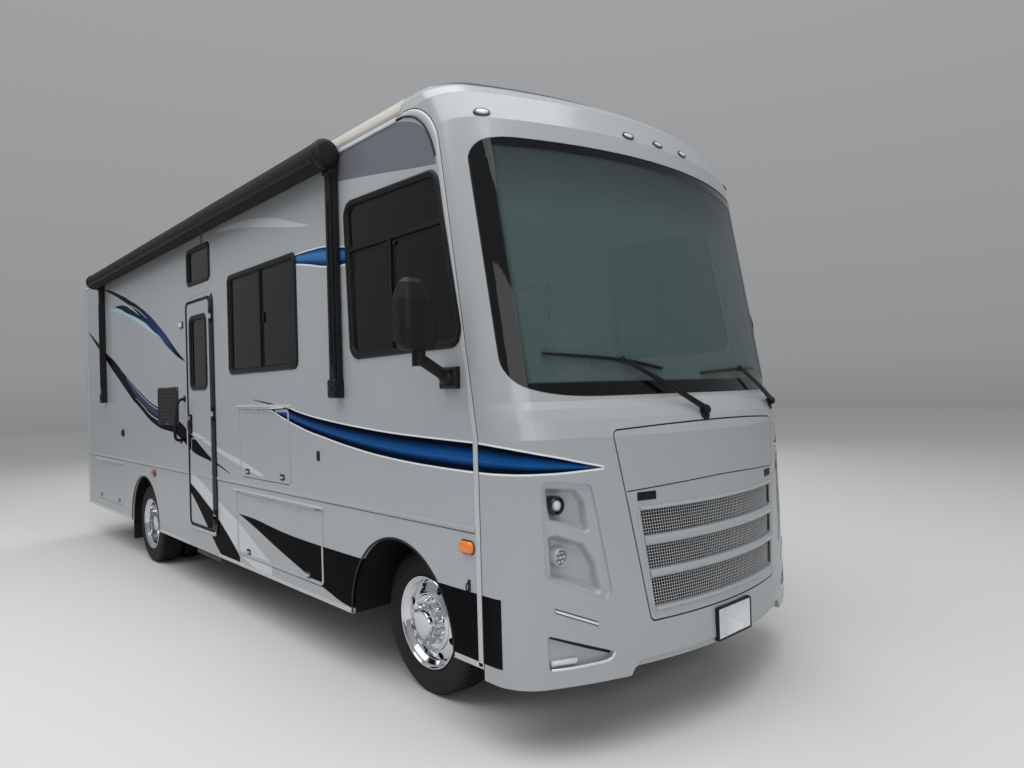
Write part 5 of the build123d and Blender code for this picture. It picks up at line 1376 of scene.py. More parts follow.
# Storage bay doors: pressed edge, drip rail over the opening, seal and latches
def makeBayDetails():
    for name, side, x0, x1, z0, z1 in bayDoors:
        body = name + "_leaf"
        place = onSide(side)
        label = "".join(part.title() if i else part for i, part in enumerate(name.split("_")))
        a, b = axleX + x0 + 0.005, axleX + x1 - 0.005
        z0, z1 = z0 + 0.005, z1 - 0.005
        # raised pressing round the door's edge
        outline = roundedRect(a, b, z0, z1, 0.04)
        bm = bmesh.new()
        trimRing(bm, outline, mm((4, -0.6), (5, 1.6), (9, 2.6), (20, 2.6), (25, 1.6), (26, -0.6)), place)
        addPiece(label + "Edge", bm, "bar", body, smooth=50)
        # bright drip rail over the opening
        bm = bmesh.new()
        bead(bm, even((a - 0.03, z1 + 0.019), (b + 0.03, z1 + 0.019), 0.3), 0.0115, 0.019, place, steps=8)
        addPiece(label + "DripRail", bm, "bright", smooth=50)
        # dark seal seen in the gap
        bm = bmesh.new()
        trimRing(bm, roundedRect(a - 0.005, b + 0.005, z0 - 0.005, z1 + 0.005, 0.045),
                 mm((0.2, -4), (3.4, -4.5), (3.4, -14), (0.2, -14)), place)
        addPiece(label + "Seal", bm, "gasket", "vehicle", smooth=0)
        # two turn latches near the foot
        bm = bmesh.new()
        for x in (a + 0.15 * (b - a), b - 0.15 * (b - a)):
            foot = z0 + 0.042
            plate(bm, padAbout(x, foot, 0.036, 0.022, 0.01, 5), place, 0.0035, 0.0015, start=-0.0005)
            plate(bm, padAbout(x, foot, 0.026, 0.009, 0.0085, 5), place, 0.012, 0.003, start=0.0025, finish=1)
        addPiece(label + "Latches", bm, ["blackPlastic", "aluminium"], body, smooth=35)


makeBayDetails()


# Windows: moulded clamp ring, inner gasket, sliders
windows = [
    {"name": "cabWindow", "sides": sides, "corners": [(-0.479, 2.862), (0.469, 2.84), (0.655, 1.93), (-0.433, 1.918)],
     "radius": 0.09},
    {"name": "middleWindow", "sides": sides, "corners": [(-2.366, 2.68), (-1.142, 2.68), (-1.142, 1.895),
                                                         (-2.366, 1.895)], "radius": 0.06},
    {"name": "smallWindow", "sides": sides[:1], "corners": [(-3.33, 3.035), (-2.755, 3.035), (-2.755, 2.71),
                                                            (-3.33, 2.71)], "radius": 0.06},
    {"name": "bedWindow", "sides": sides[1:], "corners": [(-6.3, 2.68), (-5.3, 2.68), (-5.3, 2.08), (-6.3, 2.08)],
     "radius": 0.06},
]

# rails and knobs of the sliding panes, along from the front axle and up
sliders = {
    "level": [(-0.435, 0.505, 2.545), (-0.405, 0.6, 1.957), (-2.33, -1.178, 2.64), (-2.33, -1.178, 1.935)],
    "upright": [(0.046, 1.957, 2.552), (-1.726, 1.935, 2.64), (-0.395, 1.97, 2.54), (-2.322, 1.94, 2.63)],
    "knobs": [(-0.034, -0.006, 2.52, 2.544), (0.044, 0.072, 2.52, 2.544), (-1.708, -1.69, 2.25, 2.33)],
}


def makeWindows():
    for row in windows:
        for side, end in row["sides"]:
            place = onSide(side)
            outline = roundCorners([(axleX + x, z) for x, z in row["corners"]], row["radius"], 8)
            bm = bmesh.new()
            trimRing(bm, outline, mm((-1, -0.6), (-1.5, 5), (2, 9.5), (9, 11.2), (21, 10.5), (29, 8.5), (32.5, 5.5),
                                     (33.2, -9), (28, -9)), place)
            addPiece(row["name"] + "Ring" + end, bm, "blackMetal", smooth=50)
            bm = bmesh.new()
            trimRing(bm, outline, mm((30, -9.5), (34, -5.5), (38, -5.5), (41.5, -9.5)), place)
            # thin bead of sealant outside the ring
            trimRing(bm, outline, mm((-4.5, -0.6), (-3, 1.2), (1, 1.2), (1, -0.6)), place)
            addPiece(row["name"] + "Gasket" + end, bm, "gasket", smooth=50)
    # slider rails and knobs
    for side, end in sides:
        place = onSide(side)
        bm = bmesh.new()
        for x0, x1, z in sliders["level"]:
            bead(bm, even((axleX + x0, z), (axleX + x1, z), 0.4), 0.0075, 0.004,
                 lambda u, v, w: place(u, v, w - 0.0095), flat=True)
        for x, z0, z1 in sliders["upright"]:
            bead(bm, even((axleX + x, z0), (axleX + x, z1), 0.4), 0.006, 0.0045,
                 lambda u, v, w: place(u, v, w - 0.0095), flat=True)
        addPiece("sliderRails" + end, bm, "blackMetal", smooth=30)
        bm = bmesh.new()
        for x0, x1, z0, z1 in sliders["knobs"]:
            plate(bm, roundedRect(axleX + x0, axleX + x1, z0, z1, 0.005, 3), place, 0.01, 0.003, start=-0.008)
        addPiece("sliderKnobs" + end, bm, "blackPlastic", smooth=35)


makeWindows()


# Entry door: dark frame, window ring, latch box, deadbolt, belt, grab handle and porch lamp
door = {
    "x0": entryX0 + 0.039, "x1": entryX1 - 0.039, "z0": 0.589, "z1": 2.571, "radius": 0.056,
    "glass": (axleX - 3.29, axleX - 2.885, 1.8, 2.43), "latch": (axleX - 3.338, 1.485),
    "handle": ((axleX - 3.6, 1.32), (axleX - 3.475, 1.72)), "lamp": (axleX - 3.515, 2.39),
}


def makeEntryDoor():
    place = onSide(-1)
    x0, x1, z0, z1 = door["x0"], door["x1"], door["z0"], door["z1"]
    outer = roundedRect(x0, x1, z0, z1, door["radius"], 8)
    inner = roundedRect(x0 + 0.013, x1 - 0.075, z0 + 0.016, z1 - 0.014, 0.045, 8)
    bm = bmesh.new()
    rows = ((inset(outer, 0.001), -0.0006), (inset(outer, 0.0015), 0.003), (inset(outer, 0.005), 0.0048),
            (inset(inner, -0.004), 0.0048), (inner, 0.0025), (inner, -0.0006))
    skin(bm, [[place(u, v, w) for u, v in points] for points, w in rows], closed=True)
    addPiece("entryDoorFrame", bm, "blackMetal", "side_door", smooth=40)
    # clamp ring of the wall frame
    outline = roundedRect(entryX0, entryX1, 0.55, 2.61, 0.095, 10)
    bm = bmesh.new()
    trimRing(bm, outline, mm((-1, -0.6), (-1.5, 5), (2, 9.5), (9, 11.2), (24, 10.5), (32, 8.5), (33.5, 3), (33.5, -6),
                             (28, -6)), place)
    for face in bm.faces:
        face.material_index = int(face.calc_center_median().x > entryX1 - 0.036)
    addPiece("entryFrameRing", bm, ["bar", "blackMetal"], "vehicle", smooth=50)
    bm = bmesh.new()
    trimRing(bm, outline, mm((33.5, -12), (34, -6), (37.2, -6), (37.2, -12)), place)
    addPiece("entryDoorSeal", bm, "gasket", "vehicle", smooth=0)
    # window ring
    glass = roundedRect(*door["glass"], 0.06, 8)
    bm = bmesh.new()
    trimRing(bm, glass, mm((-16, -0.6), (-16, 4), (-11, 8.5), (4, 9.8), (18, 8.5), (24.5, 5), (25.2, -9),
                           (16, -9)), place)
    addPiece("doorWindowRing", bm, "blackMetal", "side_door", smooth=50)
    # moulding and the lower kick panel on the leaf
    bm = bmesh.new()
    bead(bm, even((x0 + 0.024, sideTrim["beltZ"]), (x1 - 0.058, sideTrim["beltZ"]), 0.4), sideTrim["beltHalf"],
         sideTrim["beltOut"], place, steps=8)
    trimRing(bm, roundedRect(x0 + 0.055, x1 - 0.085, 1.14, 1.36, 0.02, 5),
             mm((0, -0.6), (1, 1), (4, 1.6), (8, 1), (9, -0.6)), place)
    addPiece("entryDoorMoulding", bm, "bar", "side_door", smooth=50)
    # latch box with its paddle, and the deadbolt above
    x, z = door["latch"]
    bm = bmesh.new()
    plate(bm, roundedRect(x - 0.04, x + 0.052, z - 0.085, z + 0.085, 0.014, 5), place, 0.014, 0.004, start=-0.0005)
    plate(bm, roundedRect(x - 0.028, x + 0.04, z - 0.045, z + 0.02, 0.01, 5), place, 0.01, 0.004, start=0.012)
    turned(bm, mm((0, -2), (17, -2), (17, 4), (13, 7), (0, 7)), place(x + 0.006, z + 0.052, 0.013), (0, -1, 0),
           22, finish=1)
    addPiece("entryLatch", bm, ["blackPlastic", "aluminium"], "side_door", smooth=35)
    # grab handle on the wall, slanted, on two feet
    bm = bmesh.new()
    (x0, z0), (x1, z1) = door["handle"]
    spot = lambda t, w: Vector(place(x0 + (x1 - x0) * t, z0 + (z1 - z0) * t, w))
    route = [spot(0.02, 0.0), spot(0.03, 0.03), spot(0.06, 0.05), spot(0.14, 0.06), spot(0.32, 0.062), spot(0.5, 0.062),
             spot(0.68, 0.062), spot(0.86, 0.06), spot(0.94, 0.05), spot(0.97, 0.03), spot(0.98, 0.0)]
    tube(bm, route, 0.014, 12, up=(1, 0, 0.2))
    for t in (0.02, 0.98):
        turned(bm, mm((0, -1), (32, -1), (32, 3), (26, 7), (0, 8)), spot(t, 0.0), (0, -1, 0), 24)
    addPiece("grabHandle", bm, "blackPlastic", smooth=45)
    # porch lamp above the door
    bm = bmesh.new()
    x, z = door["lamp"]
    plate(bm, padAbout(x, z, 0.045, 0.03, 0.015, 5), place, 0.01, 0.003, start=-0.0005)
    plate(bm, padAbout(x, z, 0.035, 0.023, 0.012, 5), place, 0.018, 0.007, start=0.008, finish=1)
    addPiece("porchLamp", bm, ["blackPlastic", "lens"], smooth=40)


makeEntryDoor()


# Louvred vents, lock plates, oval cover, hook and the side marker lamps
sideBits = {
    "vent": {"x0": -4.27, "x1": -3.655, "z0": 1.465, "z1": 1.825, "slats": 9},
    "locks": [(-0.888, 1.32)], "oval": (-5.636, 1.344), "hook": (0.64, 0.77),
    "amber": (0.634, 0.956), "redMarker": (-4.477, 0.967),
    "leftVents": [("wallVentLeft", -4.6, -4.05, 1.14, 1.5, 9), ("heaterVentLeft", -3.3, -2.85, 1.14, 1.42, 7)],
    "hatches": [("waterHatch", -5.42, -5.14, 1.12, 1.42), ("powerHatch", -5.02, -4.8, 1.14, 1.36),
                ("fuelHatch", -7.3, -7.08, 1.13, 1.35)],
}


def makeVent(side, x0, x1, z0, z1, slats, name):
    place = onSide(side)
    bm = bmesh.new()
    outline = roundedRect(x0, x1, z0, z1, 0.018, 4)
    trimRing(bm, outline, mm((0, -0.6), (0, 6), (4, 10), (18, 10), (22, 6), (22, -0.6)), place)
    backing = inset(outline, 0.02)
    skin(bm, [[place(u, v, w) for u, v in backing] for w in (-0.0006, 0.0014)])
    pitch = (z1 - z0 - 0.044) / slats
    for k in range(slats):
        low = z0 + 0.022 + k * pitch
        profile = [(0.002, 0.001), (0.001, 0.01), (0.003, 0.0115), (pitch * 0.96, 0.003), (pitch * 0.96, 0.001)]
        skin(bm, [[place(x, low + v, w) for v, w in profile] for x in (x0 + 0.022, (x0 + x1) / 2, x1 - 0.022)])
    addPiece(name, bm, "blackPlastic", smooth=25)
    seeds = [(place(x, z, 0.01), (0, side, 0), (0, 0, 1)) for x in (x0 + 0.011, x1 - 0.011)
             for z in (z0 + 0.02, (z0 + z1) / 2, z1 - 0.02)]
    seeds += [(place((x0 + x1) / 2, z, 0.01), (0, side, 0), (0, 0, 1)) for z in (z0 + 0.011, z1 - 0.011)]
    return seeds


def screwUnit(bm):
    screwHead(bm, lambda u, v, w: (u, v, w), 0.0048, 0.0024)
    for angle in (0.0, pi / 2):
        c, s = cos(angle), sin(angle)
        spots = mm((-2.4, -0.5), (2.4, -0.5), (2.4, 0.5), (-2.4, 0.5))
        skin(bm, [[(u * c - v * s, u * s + v * c, w) for u, v in spots] for w in (0.0022, 0.0028)])


screwMesh = unitMesh("screwHead", screwUnit)


def makeSideBits():
    vent = sideBits["vent"]
    seeds = makeVent(-1, axleX + vent["x0"], axleX + vent["x1"], vent["z0"], vent["z1"], vent["slats"], "wallVentRight")
    for name, x0, x1, z0, z1, slats in sideBits["leftVents"]:
        seeds += makeVent(1, axleX + x0, axleX + x1, z0, z1, slats, name)
    for side, end in sides:
        place = onSide(side)
        bm = bmesh.new()
        for x, z in sideBits["locks"]:
            plate(bm, padAbout(axleX + x, z, 0.018, 0.032, 0.006, 4), place, 0.006, 0.002, start=-0.0005)
            turned(bm, mm((0, -1), (8.5, -1), (8.5, 2), (6, 3), (0, 3)), place(axleX + x, z - 0.008, 0.0055),
                   (0, side, 0), 18)
        x, z = sideBits["oval"]
        oval = [(axleX + x + u, z + v) for u, v in ring(0.06, 32, 0.042)]
        plate(bm, oval, place, 0.01, 0.004, start=-0.0005)
        plate(bm, inset(oval, 0.014), place, 0.006, 0.003, start=0.009)
        # tie hook ahead of the wheel
        x, z = sideBits["hook"]
        plate(bm, padAbout(axleX + x, z, 0.011, 0.03, 0.008, 4), place, 0.003, 0.001, start=-0.0005)
        route = [place(axleX + x, z + 0.016, 0.002), place(axleX + x, z + 0.014, 0.014),
                 place(axleX + x, z - 0.002, 0.022), place(axleX + x, z - 0.018, 0.017),
                 place(axleX + x, z - 0.022, 0.008)]
        tube(bm, route, 0.0036, 8, up=(1, 0, 0))
        addPiece("lockPlates" + end, bm, "blackPlastic", smooth=35)
        # marker lamps on black bases
        bases, ambers, reds = bmesh.new(), bmesh.new(), bmesh.new()
        for (x, z), lens in ((sideBits["amber"], ambers), (sideBits["redMarker"], reds)):
            outline = padAbout(axleX + x, z, 0.056, 0.034, 0.026, 6)
            plate(bases, outline, place, 0.004, 0.0015, start=-0.0005)
            lensOutline = inset(outline, 0.005)
            shell(lens, lensOutline, mm((0, 2), (0.5, 10), (4, 16.5), (9, 20.5), (16, 22)), place)
        addPiece("markerBases" + end, bases, "gasket", smooth=40)
        addPiece("amberMarker" + end, ambers, "amber", smooth=40)
        addPiece("redMarker" + end, reds, "red", smooth=40)
    scatter("ventScrews", seeds, screwMesh, "aluminium")
    # hatches on the driver's side: water, power and fuel
    place = onSide(1)
    for name, x0, x1, z0, z1 in sideBits["hatches"]:
        bm = bmesh.new()
        outline = roundedRect(axleX + x0, axleX + x1, z0, z1, 0.02, 5)
        plate(bm, outline, place, 0.008, 0.003, start=-0.0005)
        plate(bm, inset(outline, 0.018), place, 0.006, 0.0025, start=0.007)
        turned(bm, mm((0, -1), (10, -1), (10, 4), (0, 4)), place(axleX + (x0 + x1) / 2, z0 + 0.045, 0.013),
               (0, 1, 0), 16)
        addPiece(name, bm, "trim", smooth=35)


makeSideBits()
print("sides made")


# Awning: fabric on a roller, end caps, folded arms, wall rail and pull strap
awning = {"x0": axleX - 6.45, "x1": axleX - 0.49, "y": -1.327, "z": 3.155, "radius": 0.088,
          "arms": [axleX - 0.62, axleX - 6.41], "armWidth": 0.088}


def makeAwning():
    x0, x1, y, z, radius = (awning[k] for k in ("x0", "x1", "y", "z", "radius"))
    place = onSide(-1)
    cover = bmesh.new()
    steps = 60
    rings = []
    for x in [x0 + 0.05 + (x1 - x0 - 0.1) * k / 24 for k in range(25)]:
        ringPoints = []
        for k in range(steps):
            a = tau * k / steps
            # the outer turn of the fabric ends in a low step
            r = radius - 0.01 + 0.0045 * ((a - 2.2) % tau) / tau + 0.0012 * sin(3 * a + x * 2.0) * sin(x * 1.3)
            ringPoints.append((x, y + r * cos(a), z + r * sin(a)))
        rings.append(ringPoints)
    skin(cover, rings)
    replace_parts(addPiece("awningRoll", cover, "fabric", smooth=35), "awning")
    bm = bmesh.new()
    for x, out in ((x1, 1), (x0, -1)):
        turned(bm, [(0.0, -0.056), (radius - 0.004, -0.056), (radius, -0.05), (radius, -0.022),
                    (radius - 0.004, -0.012), (radius - 0.014, -0.004),
                    (radius - 0.034, 0.0), (radius - 0.06, -0.001), (0.0, -0.001)], (x, y, z), (out, 0, 0), 48)
    # hem bar lying on the roll
    bar = mm((0, -12), (8, -10), (11, 0), (8, 10), (0, 12), (-4, 0))
    a = 3.75
    across, up = Vector((0, -sin(a), cos(a))), Vector((0, cos(a), sin(a)))
    middle = Vector((0, y, z)) + up * (radius - 0.008)
    skin(bm, [[middle + Vector((x, 0, 0)) + up * p + across * q for p, q in bar]
              for x in (x0 + 0.06, (x0 + x1) / 2, x1 - 0.06)])
    addPiece("awningCaps", bm, "blackPlastic", smooth=35)
    # fabric flap up to the wall rail
    bm = bmesh.new()
    rail = mm((52, 0), (52, 10), (46, 15), (36, 13), (34, 0))
    skin(bm, [[place(x, z + v, w) for v, w in rail] for x in (x0 + 0.03, (x0 + x1) / 2, x1 - 0.03)])
    addPiece("awningRail", bm, "aluminium", smooth=35)
    bm = bmesh.new()
    flap = [(y + 0.001, z + radius - 0.0075), (y + 0.03, z + radius - 0.004), (y + 0.06, z + 0.068),
            (-halfWidth - 0.011, z + 0.045)]
    lines = [[(x, a, b + 0.0015 * sin(9 * x)) for a, b in flap]
             for x in [x0 + 0.06 + (x1 - x0 - 0.12) * k / 40 for k in range(41)]]
    skin(bm, [points + [(p[0], p[1], p[2] - 0.0016) for p in points[::-1]] for points in lines])
    addPiece("awningFlap", bm, "fabric", smooth=60)
    # arms: outer channel with a slot, the inner arm in it, brackets at both ends and pivots
    bm = bmesh.new()
    width = awning["armWidth"]
    for x in awning["arms"]:
        middle = x + width / 2
        half = width / 2
        low, high = 1.69, z - 0.02
        channel = [(-half, 0.006), (-half, 0.034), (-half + 0.005, 0.039), (half - 0.005, 0.039), (half, 0.034),
                   (half, 0.006)]
        skin(bm, [[place(middle + u, v, w) for u, w in channel] for v in (low + 0.06, 2.4, high)])
        inner = [(-half + 0.013, 0.036), (-half + 0.013, 0.052), (-half + 0.019, 0.058), (half - 0.019, 0.058),
                 (half - 0.013, 0.052), (half - 0.013, 0.036)]
        skin(bm, [[place(middle + u, v, w) for u, w in inner] for v in (low + 0.1, 2.4, high - 0.06)])
        skin(bm, [[place(middle + u, v, w) for u, w in mm((-10, 56), (-10, 64.5), (10, 64.5), (10, 56))]
                  for v in (low + 0.2, 2.4, high - 0.25)])
        foot = roundedRect(middle - half - 0.002, middle + half + 0.002, low, low + 0.115, 0.016, 5)
        shell(bm, foot, ((0, -0.0006), (0, 0.058), (0.006, 0.066)), place)
        head = roundedRect(middle - half - 0.001, middle + half + 0.001, high - 0.09, high + 0.02, 0.014, 5)
        shell(bm, head, ((0, -0.0006), (0, 0.06), (0.005, 0.068)), place)
        for v in (low + 0.058, high - 0.035):
            turned(bm, mm((0, -2), (17, -2), (17, 4), (10, 7), (0, 7)), place(middle, v, 0.066), (0, -1, 0), 20)
    addPiece("awningArms", bm, "blackPlastic", smooth=35)
    # pull strap hanging from the roll
    bm = bmesh.new()
    strapX = axleX - 2.52
    path = [(strapX, y - 0.062, z - 0.052), (strapX, y - 0.066, z - 0.09), (strapX, y - 0.052, z - 0.13),
            (strapX, y - 0.05, z - 0.2)]
    skin(bm, [[(p[0] - 0.012, p[1], p[2]), (p[0] + 0.012, p[1], p[2]), (p[0] + 0.012, p[1] - 0.002, p[2]),
               (p[0] - 0.012, p[1] - 0.002, p[2])] for p in path])
    addPiece("awningStrap", bm, "fabric", smooth=60)


makeAwning()


def besideWall(side, x, out, z):
    return axleX + x, side * (halfWidth + out), z


# Mirrors: glass on the rear face, a seam round the head and the bracket's screws
mirror = {"head": (0.575, 0.222, 2.078), "foot": (0.548, 0.024, 1.778), "knuckle": (0.556, 0.2, 1.905)}


def makeMirrors(side, end):
    headX, headY, headZ = besideWall(side, *mirror["head"])
    # the outline of the glass, seen from behind: outboard edge first
    outline = roundCorners(mm((-90, -128), (-94, -50), (-92, 70), (-78, 128), (30, 128), (52, 70), (82, -50),
                              (86, -128)), 0.014, 4)
    place = lambda u, v, w: (headX - 0.0575 - w + 0.01 * max(0.0, (v - 0.05) / 0.08), headY - side * u, headZ + v)
    bm = bmesh.new()
    shell(bm, outline, mm((0, -12), (0, 6), (3, 9.5), (8, 8.5), (10, 4)), place)
    addPiece("mirrorBezel" + end, bm, "blackPlastic", smooth=40)
    bm = bmesh.new()
    flat = inset(outline, 0.01)
    upper = [(u, max(v, -0.05)) for u, v in flat]
    lower = [(u, min(v, -0.06)) for u, v in flat]
    for points in (upper, lower):
        skin(bm, [[place(u, v, w) for u, v in points] for w in (0.003, 0.0055)])
    bmesh.ops.dissolve_degenerate(bm, dist=0.0005, edges=bm.edges)
    addPiece("mirrorGlass" + end, bm, "mirror", smooth=30)
    bm = bmesh.new()
    x, out, z = mirror["foot"]
    for spot in [besideWall(side, x + a, 0.0372, z + b) for a in (-0.044, 0.044) for b in (-0.034, 0.034)]:
        turned(bm, mm((0, -2), (6, -2), (6, 3), (0, 3)), spot, (0, side, 0), 8)
    # boot round the arm's foot and a clamp ring at the knuckle
    axis = Vector((0.008, side * 0.176, 0.096)).normalized()
    foot = besideWall(side, x, out, z)
    turned(bm, mm((0, 5), (46, 5), (44, 16), (36, 26), (31, 40), (0, 40)), foot, axis, 28)
    turned(bm, mm((30, 0), (37, 2), (37, 12), (30, 14)), besideWall(side, *mirror["knuckle"]), (0, 0, 1), 28)
    addPiece("mirrorFittings" + end, bm, "blackMetal", smooth=40)


bothSides(makeMirrors)
print("awning and mirrors made")


# Wheels: moulded tyres with tread blocks, chrome covers with hub, lug caps and a valve
wheels = [
    {"name": "rightFront", "x": axleX, "side": -1, "y": 0.94, "rear": False, "body": "right_front_wheel",
     "tyre": "right_front_tyre"},
    {"name": "leftFront", "x": axleX, "side": 1, "y": 0.94, "rear": False, "body": "left_front_wheel",
     "tyre": "left_front_tyre"},
    {"name": "rightRear", "x": rearAxleX, "side": -1, "y": 1.07, "inner": 0.815, "rear": True,
     "body": "right_rear_wheel", "tyre": "right_rear_tyres"},
    {"name": "leftRear", "x": rearAxleX, "side": 1, "y": 1.07, "inner": 0.815, "rear": True, "body": "left_rear_wheel",
     "tyre": "left_rear_tyres"},
]
# tyre section: radius and distance out from its middle, one half, from the bead to the middle of the tread
tyreHalf = mm((247.5, 86), (252, 94), (262, 98.5), (272, 100.5), (276, 103.5), (281, 103.5), (285, 104.5), (300, 108.5),
              (316, 111.2), (330, 112.2), (334, 112.2), (336, 111.2), (340, 111.2), (342, 112), (352, 110.8),
              (362, 108.5), (372, 106.2), (377, 106.5), (380, 105), (386, 101), (392, 93.5), (394.5, 88), (395, 66),
              (395, 56), (395.5, 30), (395.5, 18), (395.8, 0))
treadRows = [
    {"y": 0.0, "width": 0.03, "length": 0.027, "count": 84, "lean": 0.0},
    {"y": 0.042, "width": 0.034, "length": 0.026, "count": 84, "lean": 0.25},
    {"y": -0.042, "width": 0.034, "length": 0.026, "count": 84, "lean": -0.25},
    {"y": 0.079, "width": 0.026, "length": 0.024, "count": 84, "lean": 0.1},
    {"y": -0.079, "width": 0.026, "length": 0.024, "count": 84, "lean": -0.1},
]
treadTop, treadDeep = 0.4045, 0.011


def treadUnit(row):
    def build(bm):
        half, run = row["width"] / 2, row["length"] / 2
        drop = 0.0 if abs(row["y"]) < 0.06 else 0.0035
        sign = 1 if row["y"] >= 0 else -1
        rings = []
        for w, shrink in ((-treadDeep, 0.0), (-0.001, 0.0008), (0.0, 0.002)):
            spots = [(-half + shrink, -run + shrink), (half - shrink, -run + shrink), (half - shrink, run - shrink),
                     (-half + shrink, run - shrink)]
            rings.append([(u, v + row["lean"] * u, w - (drop if u * sign > 0 and w > -0.005 else 0.0))
                          for u, v in spots])
        skin(bm, rings)
    return unitMesh("treadBlock", build)


def makeTyre(row):
    name, side = row["name"], row["side"]
    centers = [side * row["y"]] + ([side * row["inner"]] if row["rear"] else [])
    bm = bmesh.new()
    for y in centers:
        outer = tyreHalf + [(r, -w) for r, w in tyreHalf[-2::-1]]
        inner = mm((262, -80), (300, -95), (345, -96), (380, -80), (384, 0), (380, 80), (345, 95), (300, 95), (262, 80))
        turned(bm, outer + inner, (row["x"], y, wheelZ), (0, 1, 0), 72)
    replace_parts(addPiece(name + "Tyre", bm, "rubber", row["body"], smooth=40), row["tyre"])
    for band in treadRows:
        unit = treadUnit(band)
        seeds = []
        for y in centers:
            for k in range(band["count"]):
                a = tau * (k + (0.5 if band["y"] > 0.06 or band["y"] == 0 else 0.0)) / band["count"]
                out = Vector((cos(a), 0, sin(a)))
                along = Vector((-sin(a), 0, cos(a)))
                seeds.append((Vector((row["x"], y + band["y"], wheelZ)) + out * treadTop, out, along))
        scatter(name + "Tread" + str(treadRows.index(band)), seeds, unit, "rubber", row["body"], smooth=0)


def makeWheelCover(row):
    name, side, x = row["name"], row["side"], row["x"]
    y = side * row["y"]
    out = Vector((0, side, 0))
    center = Vector((x, y, wheelZ))
    disc, hub = (-0.04, 0.07) if row["rear"] else (0.066, 0.142)
    bm = bmesh.new()
    # stepped cover between the disc's rings and the hub
    if row["rear"]:
        cover = [(0.17, disc + 0.007), (0.166, disc + 0.014), (0.158, disc + 0.016), (0.152, disc + 0.013),
                 (0.14, disc + 0.011), (0.128, disc + 0.013),
                 (0.092, disc + 0.013), (0.086, disc + 0.018), (0.083, disc + 0.06), (0.079, hub - 0.006),
                 (0.073, hub + 0.001), (0.06, hub + 0.004), (0.0, hub + 0.006), (0.0, disc)]
    else:
        cover = [(0.171, disc + 0.007), (0.168, disc + 0.016), (0.16, disc + 0.02), (0.153, disc + 0.017),
                 (0.147, disc + 0.02), (0.14, disc + 0.018), (0.128, disc + 0.014),
                 (0.092, disc + 0.014), (0.086, disc + 0.019), (0.08, disc + 0.05), (0.077, hub - 0.01),
                 (0.071, hub - 0.002), (0.058, hub + 0.002), (0.03, hub + 0.003), (0.0, hub + 0.003), (0.0, disc)]
    turned(bm, cover, center, out, 64)
    # bright ring round the rim's edge
    turned(bm, mm((258.5, 97), (260.5, 101), (260.5, 105), (257.5, 107.5), (253, 107), (247, 101), (247, 97)),
           center, out, 72)
    addPiece(name + "Cover", bm, "chrome", row["body"], smooth=35)

    def lug(bm):
        rings = mm((14.5, 0), (14.5, 14), (12.5, 18), (12.5, 50), (10.5, 55.5))
        skin(bm, [[(u, v, w) for u, v in ring(r, 12)] for r, w in rings])

    seeds = []
    for k in range(10):
        a = tau * (k + 0.25) / 10
        spoke = Vector((cos(a), 0, sin(a)))
        seeds.append((center + out * (disc + 0.0125) + spoke * 0.1105, out, spoke))
    scatter(name + "LugCaps", seeds, unitMesh("lugCap", lug), "chrome", row["body"], smooth=35)
    bm = bmesh.new()
    # valve stem through a hand hole
    a = radians(22.5 + 45)
    foot = center + out * (disc + 0.004) + Vector((cos(a), 0, sin(a))) * 0.197
    tube(bm, [foot, foot + out * 0.02 + Vector((cos(a), 0, sin(a))) * 0.004,
              foot + out * 0.046 + Vector((cos(a), 0, sin(a))) * 0.012], 0.0042, 8, up=(1, 0, 0.3))
    addPiece(name + "Valve", bm, "aluminium", row["body"], smooth=40)


for row in wheels:
    makeTyre(row)
    makeWheelCover(row)
print("wheels made")


# Below the floor: spring leaves with clips, shock absorbers, drum brakes, tank straps, mud flaps, aprons and step
# ridges
underbody = {
    "springs": ((axleX, 0.438), (rearAxleX, 0.485)), "springY": 0.404, "springSpan": 0.62, "springTip": 0.498,
    "leaves": (1.0, 0.86, 0.7, 0.54, 0.38), "tankStraps": (axleX - 6.7, axleX - 6.05), "brakeY": 0.868,
    "flapX": rearAxleX - 0.575, "aprons": ((axleX, 0.555), (rearAxleX, 0.56)),
}


def leafLine(x, foot):
    # spring arch as in the CAD model
    rise = underbody["springTip"] - foot
    return [(x + underbody["springSpan"] * t, foot + rise * t * t) for t in [-1 + 2 * k / 20 for k in range(21)]]


